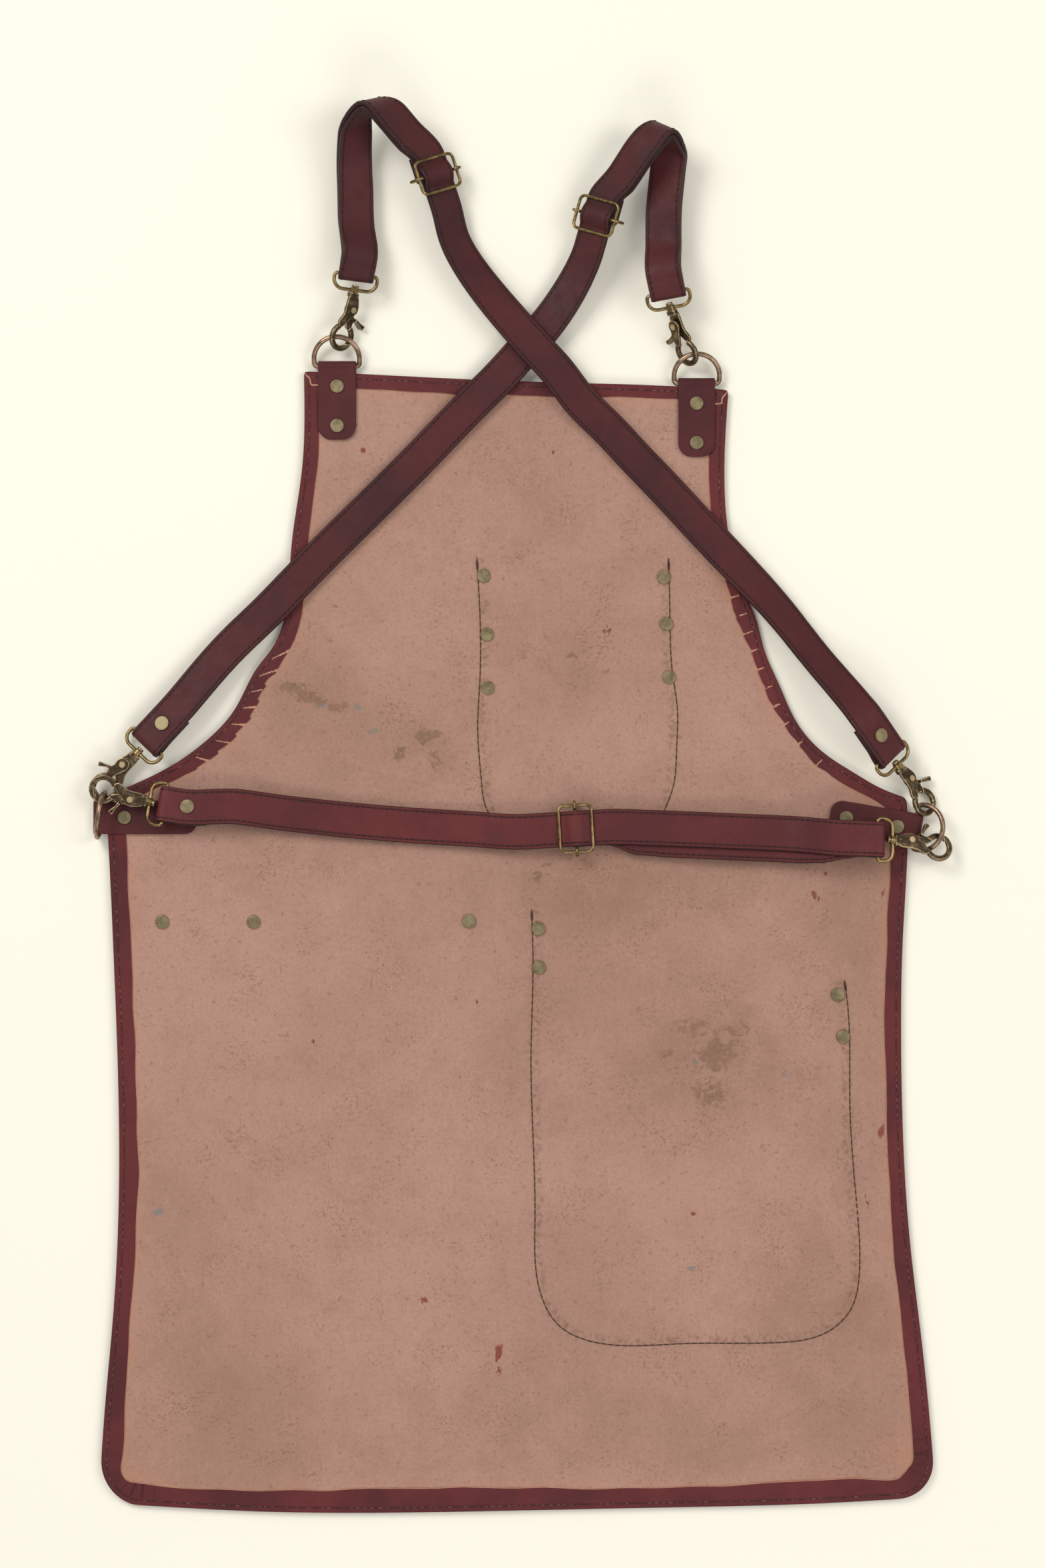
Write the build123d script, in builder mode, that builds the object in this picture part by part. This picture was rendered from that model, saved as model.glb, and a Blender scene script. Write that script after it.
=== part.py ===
from build123d import *
import os

os.makedirs("parts", exist_ok=True)

# ---------------------------------------------------------------------------
# Leather work apron laid flat on a table, front side down.
# +Z is up (the flesh side of the hide), +Y runs from the hem to the bib,
# the origin lies under the middle of the whole laid-out apron.
# All lengths are millimetres.
# ---------------------------------------------------------------------------

# hide and layers
PATCH_Z = 0.8            # underside of pockets, tool loop and front tab ply
PATCH_T = 1.8            # thickness of pockets, tool loop and tab plies
PANEL_Z = 2.6            # underside of the body panel
PANEL_T = 2.0            # thickness of the body panel
HEM_T = 1.0              # skived edge turned over onto the panel
# rivets
CAP_R = 5.0
POST_R = 1.5
HOLE_R = 1.6
FRONT_CAP_T = 0.8
BACK_CAP_T = 1.4
# straps
STRAP_W = 26.0
STRAP_T = 3.4
SNIP_W = 0.8             # relief cuts in the turned edge at the armholes
SNIP_L = 9.0
# D-rings
D_WIRE_R = 1.85
D_BAR = 13.65            # half length of the straight bar
D_CORNER = 3.0
D_HALF = 16.65           # half width between wire centres
D_SIDE = 5.55            # height at which the bow starts
# tab eye
EYE_Z = 4.1
EYE_BORE_R = 2.05
EYE_OUT_R = 3.85
# snap hooks
HOOK_REACH = 35.0        # swivel centre to the centre of the hook's ring
RING_R = 8.6
RING_W = 4.2
RING_T = 3.4
PIVOT = (14.2, -2.0)
PIN_R = 1.2
PIN_HOLE_R = 1.3
PLATE_T = 2.0
PLATE_GAP = 0.3
GATE_CUT_R = 26.1
SWIVEL_R = 1.5
SWIVEL_HEAD_R = 2.6
# swivel loops
LOOP_WIRE_R = 1.3
LOOP_W = 31.4
LOOP_H = 11.2
LOOP_R = 7.0             # corner radius on the swivel side
LOOP_BAR_R = 2.6         # corner radius at the strap bar
BOSS_R = 3.2
BOSS_HALF = 1.8
BOSS_BORE_R = 1.65
# slides
SLIDE_WIRE_R = 1.15
SLIDE_W = 34.0
SLIDE_L = 24.0
SLIDE_R = 4.0
SLIDE_LIFT = 3.0         # frame wire centre above the running ply
BAR_DROP = 5.25          # centre bar below the running ply
END_T = 2.0              # skived strap end folded round the centre bar
END_TOP = 6.0
END_TAIL = 16.0

# panel outline, corner to corner
LEFT_ARMHOLE = [(-159.03, 319.61), (-160.49, 246.85), (-168.31, 189.72), (-183.44, 115.0), (-192.72, 103.28), (-209.32, 72.52), (-222.51, 56.41), (-239.6, 41.76), (-256.2, 30.52), (-284.04, 16.85), (-302.11, 8.55)]
LEFT_SIDE = [(-302.59, -18.31), (-300.15, -67.63), (-298.2, -113.04), (-294.78, -212.17), (-294.78, -294.7), (-299.18, -377.23), (-305.04, -443.15), (-307.48, -477.82)]
BOTTOM_EDGE = [(-283.55, -510.54), (-191.26, -515.42), (-36.95, -515.42), (106.62, -512.49), (228.7, -509.07), (279.0, -506.14)]
RIGHT_SIDE = [(301.95, -478.31), (299.51, -448.52), (293.65, -391.39), (284.86, -316.67), (279.98, -241.96), (278.51, -152.6), (279.49, -101.81), (282.91, -38.33), (283.39, -13.91), (282.42, 7.08)]
RIGHT_ARMHOLE = [(282.42, 7.08), (264.35, 13.92), (243.84, 25.64), (222.84, 39.31), (202.33, 61.78), (188.66, 91.08), (178.41, 115.0), (172.54, 136.98), (163.27, 159.44), (152.03, 200.46), (149.59, 223.9), (152.03, 305.94)]
TOP_EDGE = [(152.03, 305.94), (106.62, 308.87), (48.02, 310.82), (-39.88, 313.75), (-108.24, 317.17), (-159.03, 319.61)]
# inner edge of the turned hem
IN_LEFT_ARMHOLE = [(-147.31, 308.38), (-147.31, 273.22), (-156.1, 186.3), (-171.72, 110.61), (-181.0, 98.4), (-197.6, 67.64), (-211.76, 49.57), (-230.32, 32.97), (-248.88, 21.73), (-278.18, 7.57), (-287.94, -1.71)]
IN_LEFT_SIDE = [(-287.94, -23.68), (-283.55, -145.76), (-281.11, -228.29), (-280.13, -264.91), (-283.55, -344.02), (-288.43, -426.55), (-290.87, -466.1), (-293.8, -485.63)]
IN_BOTTOM = [(-288.92, -493.45), (-257.18, -497.35), (-124.84, -498.33), (48.02, -497.84), (178.41, -494.91), (235.54, -491.49), (275.09, -491.49)]
IN_RIGHT_SIDE = [(288.28, -477.82), (287.3, -469.52), (285.35, -448.52), (281.93, -412.38), (275.58, -346.95), (269.72, -272.24), (266.3, -182.38), (267.28, -92.53), (270.21, -42.73), (269.72, -13.91), (268.74, -1.71)]
IN_RIGHT_ARMHOLE = [(260.93, 3.67), (238.47, 16.36), (217.96, 30.04), (197.45, 54.94), (185.24, 72.03), (168.15, 115.0), (156.43, 142.35), (146.66, 178.0), (138.85, 220.48), (139.83, 298.61)]
IN_TOP = [(139.83, 298.61), (48.02, 300.57), (-39.88, 302.52), (-147.31, 308.38)]
# relief cuts: x, y, direction
SNIPS = [(155.84, 168.72, 197.9), (160.0, 155.53, 197.9), (165.44, 142.35, 198.8), (169.75, 129.16, 198.8), (173.26, 115.98, 199.3), (178.75, 102.8, 199.3), (184.46, 89.61, 204.2), (190.61, 76.43, 204.2), (196.77, 63.24, 213.4), (208.15, 50.06, 213.4), (221.71, 36.87, 229.0), (-183.97, 108.17, -15.8), (-191.53, 96.45, -31.3), (-197.85, 84.73, -32.4), (-204.18, 73.01, -32.4), (-213.63, 61.29, -44.5), (-225.6, 49.57, -44.5), (-240.49, 37.85, -52.5)]

CHEST_OUTLINE = [(-35.97, 180.44), (-33.53, 132.09), (-34.02, 90.1), (-35.48, 58.85), (-32.55, 17.34), (-29.13, -1.22), (-19.37, -13.91), (4.07, -18.8), (42.16, -19.77), (82.2, -18.8), (101.74, -13.91), (109.55, -1.22), (115.41, 15.39), (117.85, 43.22), (118.34, 73.01), (114.92, 97.91), (112.97, 138.44), (111.99, 180.44)]
LOWER_OUTLINE = [(4.07, -76.42), (5.05, -113.53), (3.58, -182.38), (6.51, -302.02), (9.45, -351.83), (26.54, -383.09), (51.93, -394.81), (118.83, -396.27), (191.59, -395.29), (222.84, -388.95), (244.82, -369.41), (251.65, -341.09), (249.7, -289.82), (244.82, -218.03), (242.38, -137.46), (240.91, -127.2)]
CHEST_HOLES = [(-27.18, 169.7), (-24.74, 126.72), (-24.25, 87.66), (104.67, 168.72), (106.62, 134.54), (108.58, 95.47)]
LOWER_HOLES = [(12.86, -88.63), (13.35, -116.95), (232.12, -136.97), (236.03, -167.74)]
LOOP_HOLES = [(-262.55, -83.74), (-195.65, -83.74), (-37.92, -83.26)]
LOOP_CENTRE, LOOP_LEN, LOOP_WIDE = [(-150.33, -83.81), 238.0, 20.0]

# tabs: bar position, direction into the panel, width, length, extra eye length, rivet distances
TABS = {'bib_left': ((-134.58, 323.26), (0, -1), 28.0, 54.0, 0.0, (15.0, 43.8)),
    'bib_right': ((128.57, 310.81), (0, -1), 27.0, 54.0, 0.0, (15.0, 43.8)),
    'waist_left': ((-307.17, -7.07), (1, 0), 24.5, 70.0, 2.3, (17.0, 54.0)),
    'waist_right': ((289.2, -16.2), (-0.9856, 0.169), 24.0, 64.0, 0.3, (14.0, 52.0))}
# D-rings: bar centre, bar direction, direction across the ring
D_RINGS = {
 "bib_left": (
  (
   -134.828,
   323.263,
   4.1
  ),
  (
   -1.0,
   0.0,
   0.0
  ),
  (
   0.0,
   0.93295,
   0.36
  )
 ),
 "bib_right": (
  (
   128.718,
   310.813,
   4.1
  ),
  (
   -1.0,
   0.0,
   0.0
  ),
  (
   0.0,
   0.92587,
   0.37784
  )
 ),
 "waist_left": (
  (
   -307.173,
   -5.12,
   4.1
  ),
  (
   -0.15299,
   -0.98823,
   0.0
  ),
  (
   0.01035,
   -0.0016,
   0.99995
  )
 ),
 "waist_right": (
  (
   289.199,
   -13.908,
   4.1
  ),
  (
   0.15596,
   0.98776,
   0.0
  ),
  (
   0.82273,
   -0.1299,
   0.55339
  )
 )
}
# swivel loops: swivel centre, strap width direction, direction towards the hook
LOOPS = {
 "bib_left": (
  (
   -121.33,
   377.212,
   16.998
  ),
  (
   0.99148,
   -0.12564,
   -0.03442
  ),
  (
   -0.12939,
   -0.98041,
   -0.14853
  )
 ),
 "bib_right": (
  (
   108.836,
   363.81,
   21.996
  ),
  (
   0.98122,
   0.18136,
   0.06565
  ),
  (
   0.19246,
   -0.94305,
   -0.27133
  )
 ),
 "left_shoulder": (
  (
   -279.951,
   40.468,
   11.1
  ),
  (
   0.71216,
   -0.67054,
   0.20789
  ),
  (
   -0.6837,
   -0.72968,
   -0.01143
  )
 ),
 "left_waist": (
  (
   -270.824,
   4.014,
   15.7
  ),
  (
   0.14998,
   0.97332,
   -0.17364
  ),
  (
   -0.98847,
   0.1513,
   -0.00572
  )
 ),
 "right_shoulder": (
  (
   274.409,
   30.805,
   17.805
  ),
  (
   0.67784,
   0.63067,
   -0.37787
  ),
  (
   0.56705,
   -0.77561,
   -0.27729
  )
 ),
 "right_waist": (
  (
   270.654,
   -23.568,
   19.9
  ),
  (
   0.01387,
   0.99085,
   -0.13428
  ),
  (
   0.98127,
   -0.03929,
   -0.18858
  )
 )
}
# snap hooks: swivel centre, swivel axis, hook-arm side
HOOKS = {
 "bib_left": (
  (
   -121.33,
   377.212,
   16.998
  ),
  (
   -0.27539,
   -0.94979,
   -0.14853
  ),
  (
   -0.72294,
   0.10277,
   0.68322
  )
 ),
 "bib_right": (
  (
   108.836,
   363.81,
   21.996
  ),
  (
   0.35464,
   -0.89477,
   -0.27133
  ),
  (
   0.63093,
   0.01485,
   0.7757
  )
 ),
 "left_shoulder": (
  (
   -279.951,
   40.468,
   11.1
  ),
  (
   -0.68442,
   -0.729,
   -0.01143
  ),
  (
   0.72908,
   -0.68439,
   -0.00698
  )
 ),
 "left_waist": (
  (
   -270.824,
   4.014,
   15.7
  ),
  (
   -0.96098,
   0.27655,
   -0.00572
  ),
  (
   0.27592,
   0.95985,
   0.05059
  )
 ),
 "right_shoulder": (
  (
   274.409,
   30.805,
   17.805
  ),
  (
   0.58675,
   -0.76081,
   -0.27729
  ),
  (
   -0.57884,
   -0.63353,
   0.5134
  )
 ),
 "right_waist": (
  (
   270.654,
   -23.568,
   19.9
  ),
  (
   0.97048,
   -0.15033,
   -0.18858
  ),
  (
   -0.07971,
   -0.93795,
   0.33749
  )
 )
}
# slides: centre on the running ply, strap width, direction of travel, outward normal
SLIDES = {'shoulder_left': ((-62.098, 460.433, 22.329), (0.78533, 0.33229, -0.52234), (0.31328, -0.94104, -0.12764), (0.53396, 0.0634, 0.84313)),
    'shoulder_right': ((56.088, 429.994, 23.18), (0.79654, -0.31234, 0.51766), (-0.27126, -0.94983, -0.15569), (-0.54032, 0.0164, 0.8413)),
    'waist': ((40.035, -15.272, 14.906), (-0.05906, 0.99678, -0.05423), (-0.99811, -0.05991, -0.01404), (-0.01724, 0.0533, 0.99843))}
# rivets through the folded strap ends: centre on the outer ply, width, outward normal, ply spacing
END_RIVETS = {'shoulder_left': ((260.076, 52.609, 28.484), (0.69187, 0.63118, -0.35061), (0.44695, 0.00696, 0.89453), 4.6),
    'shoulder_right': ((-261.333, 61.341, 14.648), (0.71233, -0.67068, 0.20681), (-0.15857, 0.13326, 0.97831), 4.6),
    'waist': ((-243.054, 0.543, 19.04), (0.06788, 0.98289, -0.17123), (0.03503, 0.16917, 0.98496), 4.6)}

# strap stations: centre, width direction, run direction
SHOULDER_LEFT = [
    ((-66.046, 466.127, 20.013), (0.78548, 0.33231, -0.5221), (-0.31328, 0.94104, 0.12764)),
    ((-69.001, 474.419, 21.314), (0.70643, 0.50839, -0.49243), (-0.43687, 0.8606, 0.26176)),
    ((-81.939, 486.44, 31.255), (0.46288, 0.79445, -0.39317), (-0.6439, 0.60619, 0.46682)),
    ((-89.371, 494.377, 35.829), (0.56749, 0.68963, -0.44985), (-0.62797, 0.71587, 0.30525)),
    ((-94.365, 499.857, 37.548), (0.59485, 0.6519, -0.47029), (-0.68845, 0.71519, 0.12059)),
    ((-98.319, 503.106, 37.954), (0.56418, 0.59015, -0.57742), (-0.75077, 0.65771, -0.06135)),
    ((-102.31, 505.514, 37.787), (0.50506, 0.47134, -0.72302), (-0.81318, 0.54059, -0.21563)),
    ((-105.153, 506.763, 37.334), (0.46653, 0.37013, -0.80334), (-0.86429, 0.38384, -0.32507)),
    ((-106.99, 507.268, 36.84), (0.45208, 0.3087, -0.83686), (-0.89049, 0.21034, -0.40346)),
    ((-108.378, 507.393, 36.332), (0.44767, 0.26899, -0.85278), (-0.88653, 0.0089, -0.46258)),
    ((-109.462, 507.265, 35.833), (0.44928, 0.2455, -0.859), (-0.84971, -0.17956, -0.49574)),
    ((-110.768, 506.818, 35.092), (0.4586, 0.23115, -0.85805), (-0.77905, -0.35995, -0.51334)),
    ((-112.477, 505.756, 33.928), (0.47486, 0.22744, -0.85016), (-0.67334, -0.52814, -0.51739)),
    ((-114.63, 503.599, 32.177), (0.50659, 0.23152, -0.83052), (-0.53233, -0.67375, -0.51253)),
    ((-116.7, 500.397, 30.175), (0.58094, 0.23653, -0.77882), (-0.36517, -0.7794, -0.5091)),
    ((-118.356, 496.336, 28.154), (0.70846, 0.22974, -0.66731), (-0.18653, -0.85095, -0.491)),
    ((-119.569, 490.775, 25.658), (0.8292, 0.20313, -0.52073), (-0.05989, -0.89398, -0.44409)),
    ((-120.622, 474.26, 19.403), (0.88935, 0.11401, -0.44279), (-0.01103, -0.96278, -0.27006)),
    ((-120.502, 458.2, 16.806), (0.93241, 0.08161, -0.35207), (0.05243, -0.99441, -0.09165)),
    ((-120.165, 432.397, 15.571), (0.97626, 0.02663, -0.21497), (0.02978, -0.99949, 0.01145)),
    ((-120.089, 429.845, 15.646), (0.97698, 0.03192, -0.21094), (0.04261, -0.99802, 0.0463)),
    ((-119.507, 422.57, 16.917), (0.97614, 0.06472, -0.20726), (0.10443, -0.97683, 0.18681)),
    ((-118.273, 415.578, 19.25), (0.96765, 0.08229, -0.2385), (0.15366, -0.94198, 0.29844)),
    ((-116.836, 408.286, 21.138), (0.94561, 0.01323, -0.32504), (0.08107, -0.97723, 0.19607)),
    ((-116.711, 403.487, 21.721), (0.94916, -0.0312, -0.31323), (-0.02369, -0.99933, 0.02775)),
    ((-117.267, 399.646, 21.572), (0.96171, -0.08759, -0.25969), (-0.12939, -0.98041, -0.14853)),
    ((-117.837, 396.661, 21.572), (0.97401, -0.09759, -0.20439), (-0.12939, -0.98041, -0.14853)),
    ((-118.303, 394.123, 21.903), (0.98185, -0.10573, -0.15748), (-0.12939, -0.98041, -0.14853)),
    ((-118.838, 391.598, 22.2), (0.9874, -0.11363, -0.11016), (-0.12939, -0.98041, -0.14853)),
    ((-119.45, 389.139, 22.137), (0.99064, -0.12124, -0.06276), (-0.12939, -0.98041, -0.14853)),
    ((-119.831, 387.691, 21.923), (0.99148, -0.12564, -0.03442), (-0.12939, -0.98041, -0.14853)),
    ((-119.98, 386.615, 21.559), (0.99148, -0.12564, -0.03442), (-0.12675, -0.86939, -0.47759)),
    ((-120.117, 385.729, 20.845), (0.99148, -0.12564, -0.03442), (-0.10881, -0.65352, -0.74905)),
    ((-120.226, 385.14, 19.868), (0.99148, -0.12564, -0.03442), (-0.07776, -0.35882, -0.93016)),
    ((-120.293, 384.919, 18.746), (0.99148, -0.12564, -0.03442), (-0.03732, -0.02084, -0.99909)),
    ((-120.31, 385.093, 17.613), (0.99148, -0.12564, -0.03442), (0.00762, 0.31965, -0.9475)),
    ((-120.276, 385.641, 16.607), (0.99148, -0.12564, -0.03442), (0.05164, 0.62159, -0.78164)),
    ((-120.194, 386.496, 15.848), (0.99148, -0.12564, -0.03442), (0.08943, 0.84855, -0.5215)),
    ((-120.074, 387.556, 15.43), (0.99148, -0.12564, -0.03442), (0.11643, 0.97317, -0.19845)),
    ((-119.931, 388.693, 15.4), (0.99148, -0.12564, -0.03442), (0.12939, 0.98041, 0.14853)),
    ((-118.378, 400.458, 17.183), (0.96171, -0.08759, -0.25969), (0.12939, 0.98041, 0.14853)),
    ((-118.155, 403.399, 17.355), (0.94916, -0.0312, -0.31323), (0.02369, 0.99933, -0.02775)),
    ((-118.285, 407.312, 16.883), (0.94561, 0.01323, -0.32504), (-0.08107, 0.97723, -0.19607)),
    ((-120.959, 432.332, 11.957), (0.97626, 0.02663, -0.21497), (-0.02978, 0.99949, -0.01145)),
    ((-121.825, 458.447, 13.36), (0.93241, 0.08161, -0.35207), (-0.05243, 0.99441, 0.09165)),
    ((-122.313, 475.166, 16.24), (0.88935, 0.11401, -0.44279), (0.01103, 0.96278, 0.27006)),
    ((-121.625, 492.253, 22.96), (0.8292, 0.20313, -0.52073), (0.05989, 0.89398, 0.44409)),
    ((-120.874, 498.084, 26.082), (0.70846, 0.22974, -0.66731), (0.18653, 0.85095, 0.491)),
    ((-119.391, 502.544, 28.819), (0.58094, 0.23653, -0.77882), (0.36517, 0.7794, 0.5091)),
    ((-117.14, 506.195, 31.37), (0.50659, 0.23152, -0.83052), (0.53233, 0.67375, 0.51253)),
    ((-114.574, 508.783, 33.566), (0.47486, 0.22744, -0.85016), (0.67334, 0.52814, 0.51739)),
    ((-112.349, 510.162, 35.148), (0.4586, 0.23115, -0.85805), (0.77905, 0.35995, 0.51334)),
    ((-110.483, 510.789, 36.306), (0.44928, 0.2455, -0.859), (0.84971, 0.17956, 0.49574)),
    ((-108.81, 510.957, 37.23), (0.44767, 0.26899, -0.85278), (0.88653, -0.0089, 0.46258)),
    ((-106.799, 510.7, 38.209), (0.45208, 0.3087, -0.83686), (0.89049, -0.21034, 0.40346)),
    ((-104.457, 509.893, 39.18), (0.46653, 0.37013, -0.80334), (0.86429, -0.38384, 0.32507)),
    ((-101.24, 508.093, 40.215), (0.50506, 0.47134, -0.72302), (0.81318, -0.54059, 0.21563)),
    ((-97.048, 504.838, 40.967), (0.56418, 0.59015, -0.57742), (0.75077, -0.65771, 0.06135)),
    ((-92.83, 500.789, 40.782), (0.59485, 0.6519, -0.47029), (0.68845, -0.71519, -0.12059)),
    ((-87.4, 494.781, 38.935), (0.56749, 0.68963, -0.44985), (0.62797, -0.71587, -0.30525)),
    ((-79.685, 486.578, 34.186), (0.46288, 0.79445, -0.39317), (0.6439, -0.60619, -0.46682)),
    ((-66.2, 472.756, 24.0), (0.78565, 0.33232, -0.52184), (0.31328, -0.94104, -0.12764)),
    ((-55.155, 439.578, 19.5), (0.78479, 0.33222, -0.52319), (0.31328, -0.94104, -0.12764)),
    ((-48.499, 414.89, 14.897), (0.77023, 0.37053, -0.51908), (0.36106, -0.92426, -0.124)),
    ((-41.593, 401.198, 13.777), (0.75922, 0.47544, -0.44445), (0.51617, -0.85582, -0.03376)),
    ((-26.673, 379.757, 13.546), (0.7603, 0.58187, -0.28875), (0.6104, -0.79201, 0.01122)),
    ((-10.023, 359.4, 14.402), (0.7577, 0.6387, -0.13399), (0.64869, -0.75956, 0.04762)),
    ((7.07, 339.803, 15.446), (0.7474, 0.66386, -0.0261), (0.66436, -0.74706, 0.0232)),
    ((24.694, 320.645, 15.31), (0.74679, 0.66506, -0.00025), (0.66409, -0.74573, -0.05362)),
    ((40.607, 300.332, 12.096), (0.77729, 0.62911, -0.00649), (0.62125, -0.76912, -0.14999)),
    ((58.754, 281.938, 9.3), (0.68625, 0.72735, 0.00485), (0.72594, -0.68446, -0.06725)),
    ((76.803, 263.22, 8.287), (0.73625, 0.67671, -0.00013), (0.6766, -0.73613, -0.01803)),
    ((94.763, 244.399, 8.026), (0.71687, 0.69721, 0.00011), (0.6972, -0.71686, -0.00469)),
    ((112.678, 225.531, 7.969), (0.73274, 0.68051, 0.0), (0.68051, -0.73274, 0.00067)),
    ((130.32, 206.407, 8.103), (0.73457, 0.67853, -0.0002), (0.67849, -0.73453, 0.01041)),
    ((148.093, 187.416, 8.573), (0.72594, 0.6844, -0.06786), (0.6871, -0.72601, 0.02826)),
    ((165.985, 168.553, 9.728), (0.71671, 0.65773, -0.23176), (0.68574, -0.72515, 0.06265)),
    ((183.568, 149.436, 11.481), (0.70914, 0.59338, -0.38081), (0.65956, -0.74918, 0.06085)),
    ((200.271, 129.152, 12.679), (0.71419, 0.52208, -0.46622), (0.61379, -0.78729, 0.05864)),
    ((213.88, 111.587, 15.826), (0.76275, 0.44418, -0.47001), (0.59777, -0.76157, 0.25037)),
    ((229.294, 92.351, 24.52), (0.7941, 0.42889, -0.43066), (0.58697, -0.72504, 0.36026)),
    ((243.332, 74.847, 31.431), (0.76081, 0.50839, -0.40338), (0.60913, -0.77385, 0.17356)),
    ((249.464, 66.943, 32.253), (0.74365, 0.57729, -0.33723), (0.60651, -0.79474, -0.02304)),
    ((254.097, 60.778, 31.331), (0.71347, 0.61849, -0.32927), (0.5801, -0.78497, -0.21749)),
    ((255.426, 58.969, 30.758), (0.69849, 0.63121, -0.33718), (0.56705, -0.77561, -0.27729)),
    ((269.603, 39.579, 23.826), (0.67784, 0.63067, -0.37787), (0.56705, -0.77561, -0.27729)),
    ((270.149, 38.698, 23.337), (0.67784, 0.63067, -0.37787), (0.3728, -0.73783, -0.56269)),
    ((270.444, 37.914, 22.556), (0.67784, 0.63067, -0.37787), (0.13359, -0.61107, -0.78023)),
    ((270.451, 37.319, 21.576), (0.67784, 0.63067, -0.37787), (-0.12174, -0.41059, -0.90365)),
    ((270.169, 36.987, 20.516), (0.67784, 0.63067, -0.37787), (-0.36238, -0.1606, -0.91809)),
    ((269.633, 36.957, 19.503), (0.67784, 0.63067, -0.37787), (-0.55932, 0.10877, -0.82179)),
    ((268.907, 37.232, 18.661), (0.67784, 0.63067, -0.37787), (-0.68879, 0.36501, -0.62637)),
    ((268.078, 37.781, 18.089), (0.67784, 0.63067, -0.37787), (-0.73518, 0.57723, -0.3554)),
    ((267.247, 38.535, 17.858), (0.67784, 0.63067, -0.37787), (-0.6929, 0.71983, -0.04156)),
    ((266.514, 39.405, 17.996), (0.67784, 0.63067, -0.37787), (-0.56705, 0.77561, 0.27729)),
    ((265.676, 40.58, 18.405), (0.67912, 0.63074, -0.37545), (-0.56705, 0.77561, 0.27729)),
    ((264.411, 42.544, 19.34), (0.68124, 0.63084, -0.37141), (-0.56705, 0.77561, 0.27729)),
    ((263.309, 44.514, 20.593), (0.68335, 0.63093, -0.36737), (-0.56705, 0.77561, 0.27729)),
    ((262.217, 46.48, 21.877), (0.68544, 0.63101, -0.36331), (-0.56705, 0.77561, 0.27729)),
    ((260.714, 48.829, 23.053), (0.68793, 0.63109, -0.35843), (-0.56705, 0.77561, 0.27729)),
    ((256.224, 55.076, 25.247), (0.69447, 0.63121, -0.34538), (-0.56705, 0.77561, 0.27729)),
    ((250.931, 62.508, 27.523), (0.72757, 0.60473, -0.32394), (-0.59225, 0.79199, 0.14828)),
]
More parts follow.
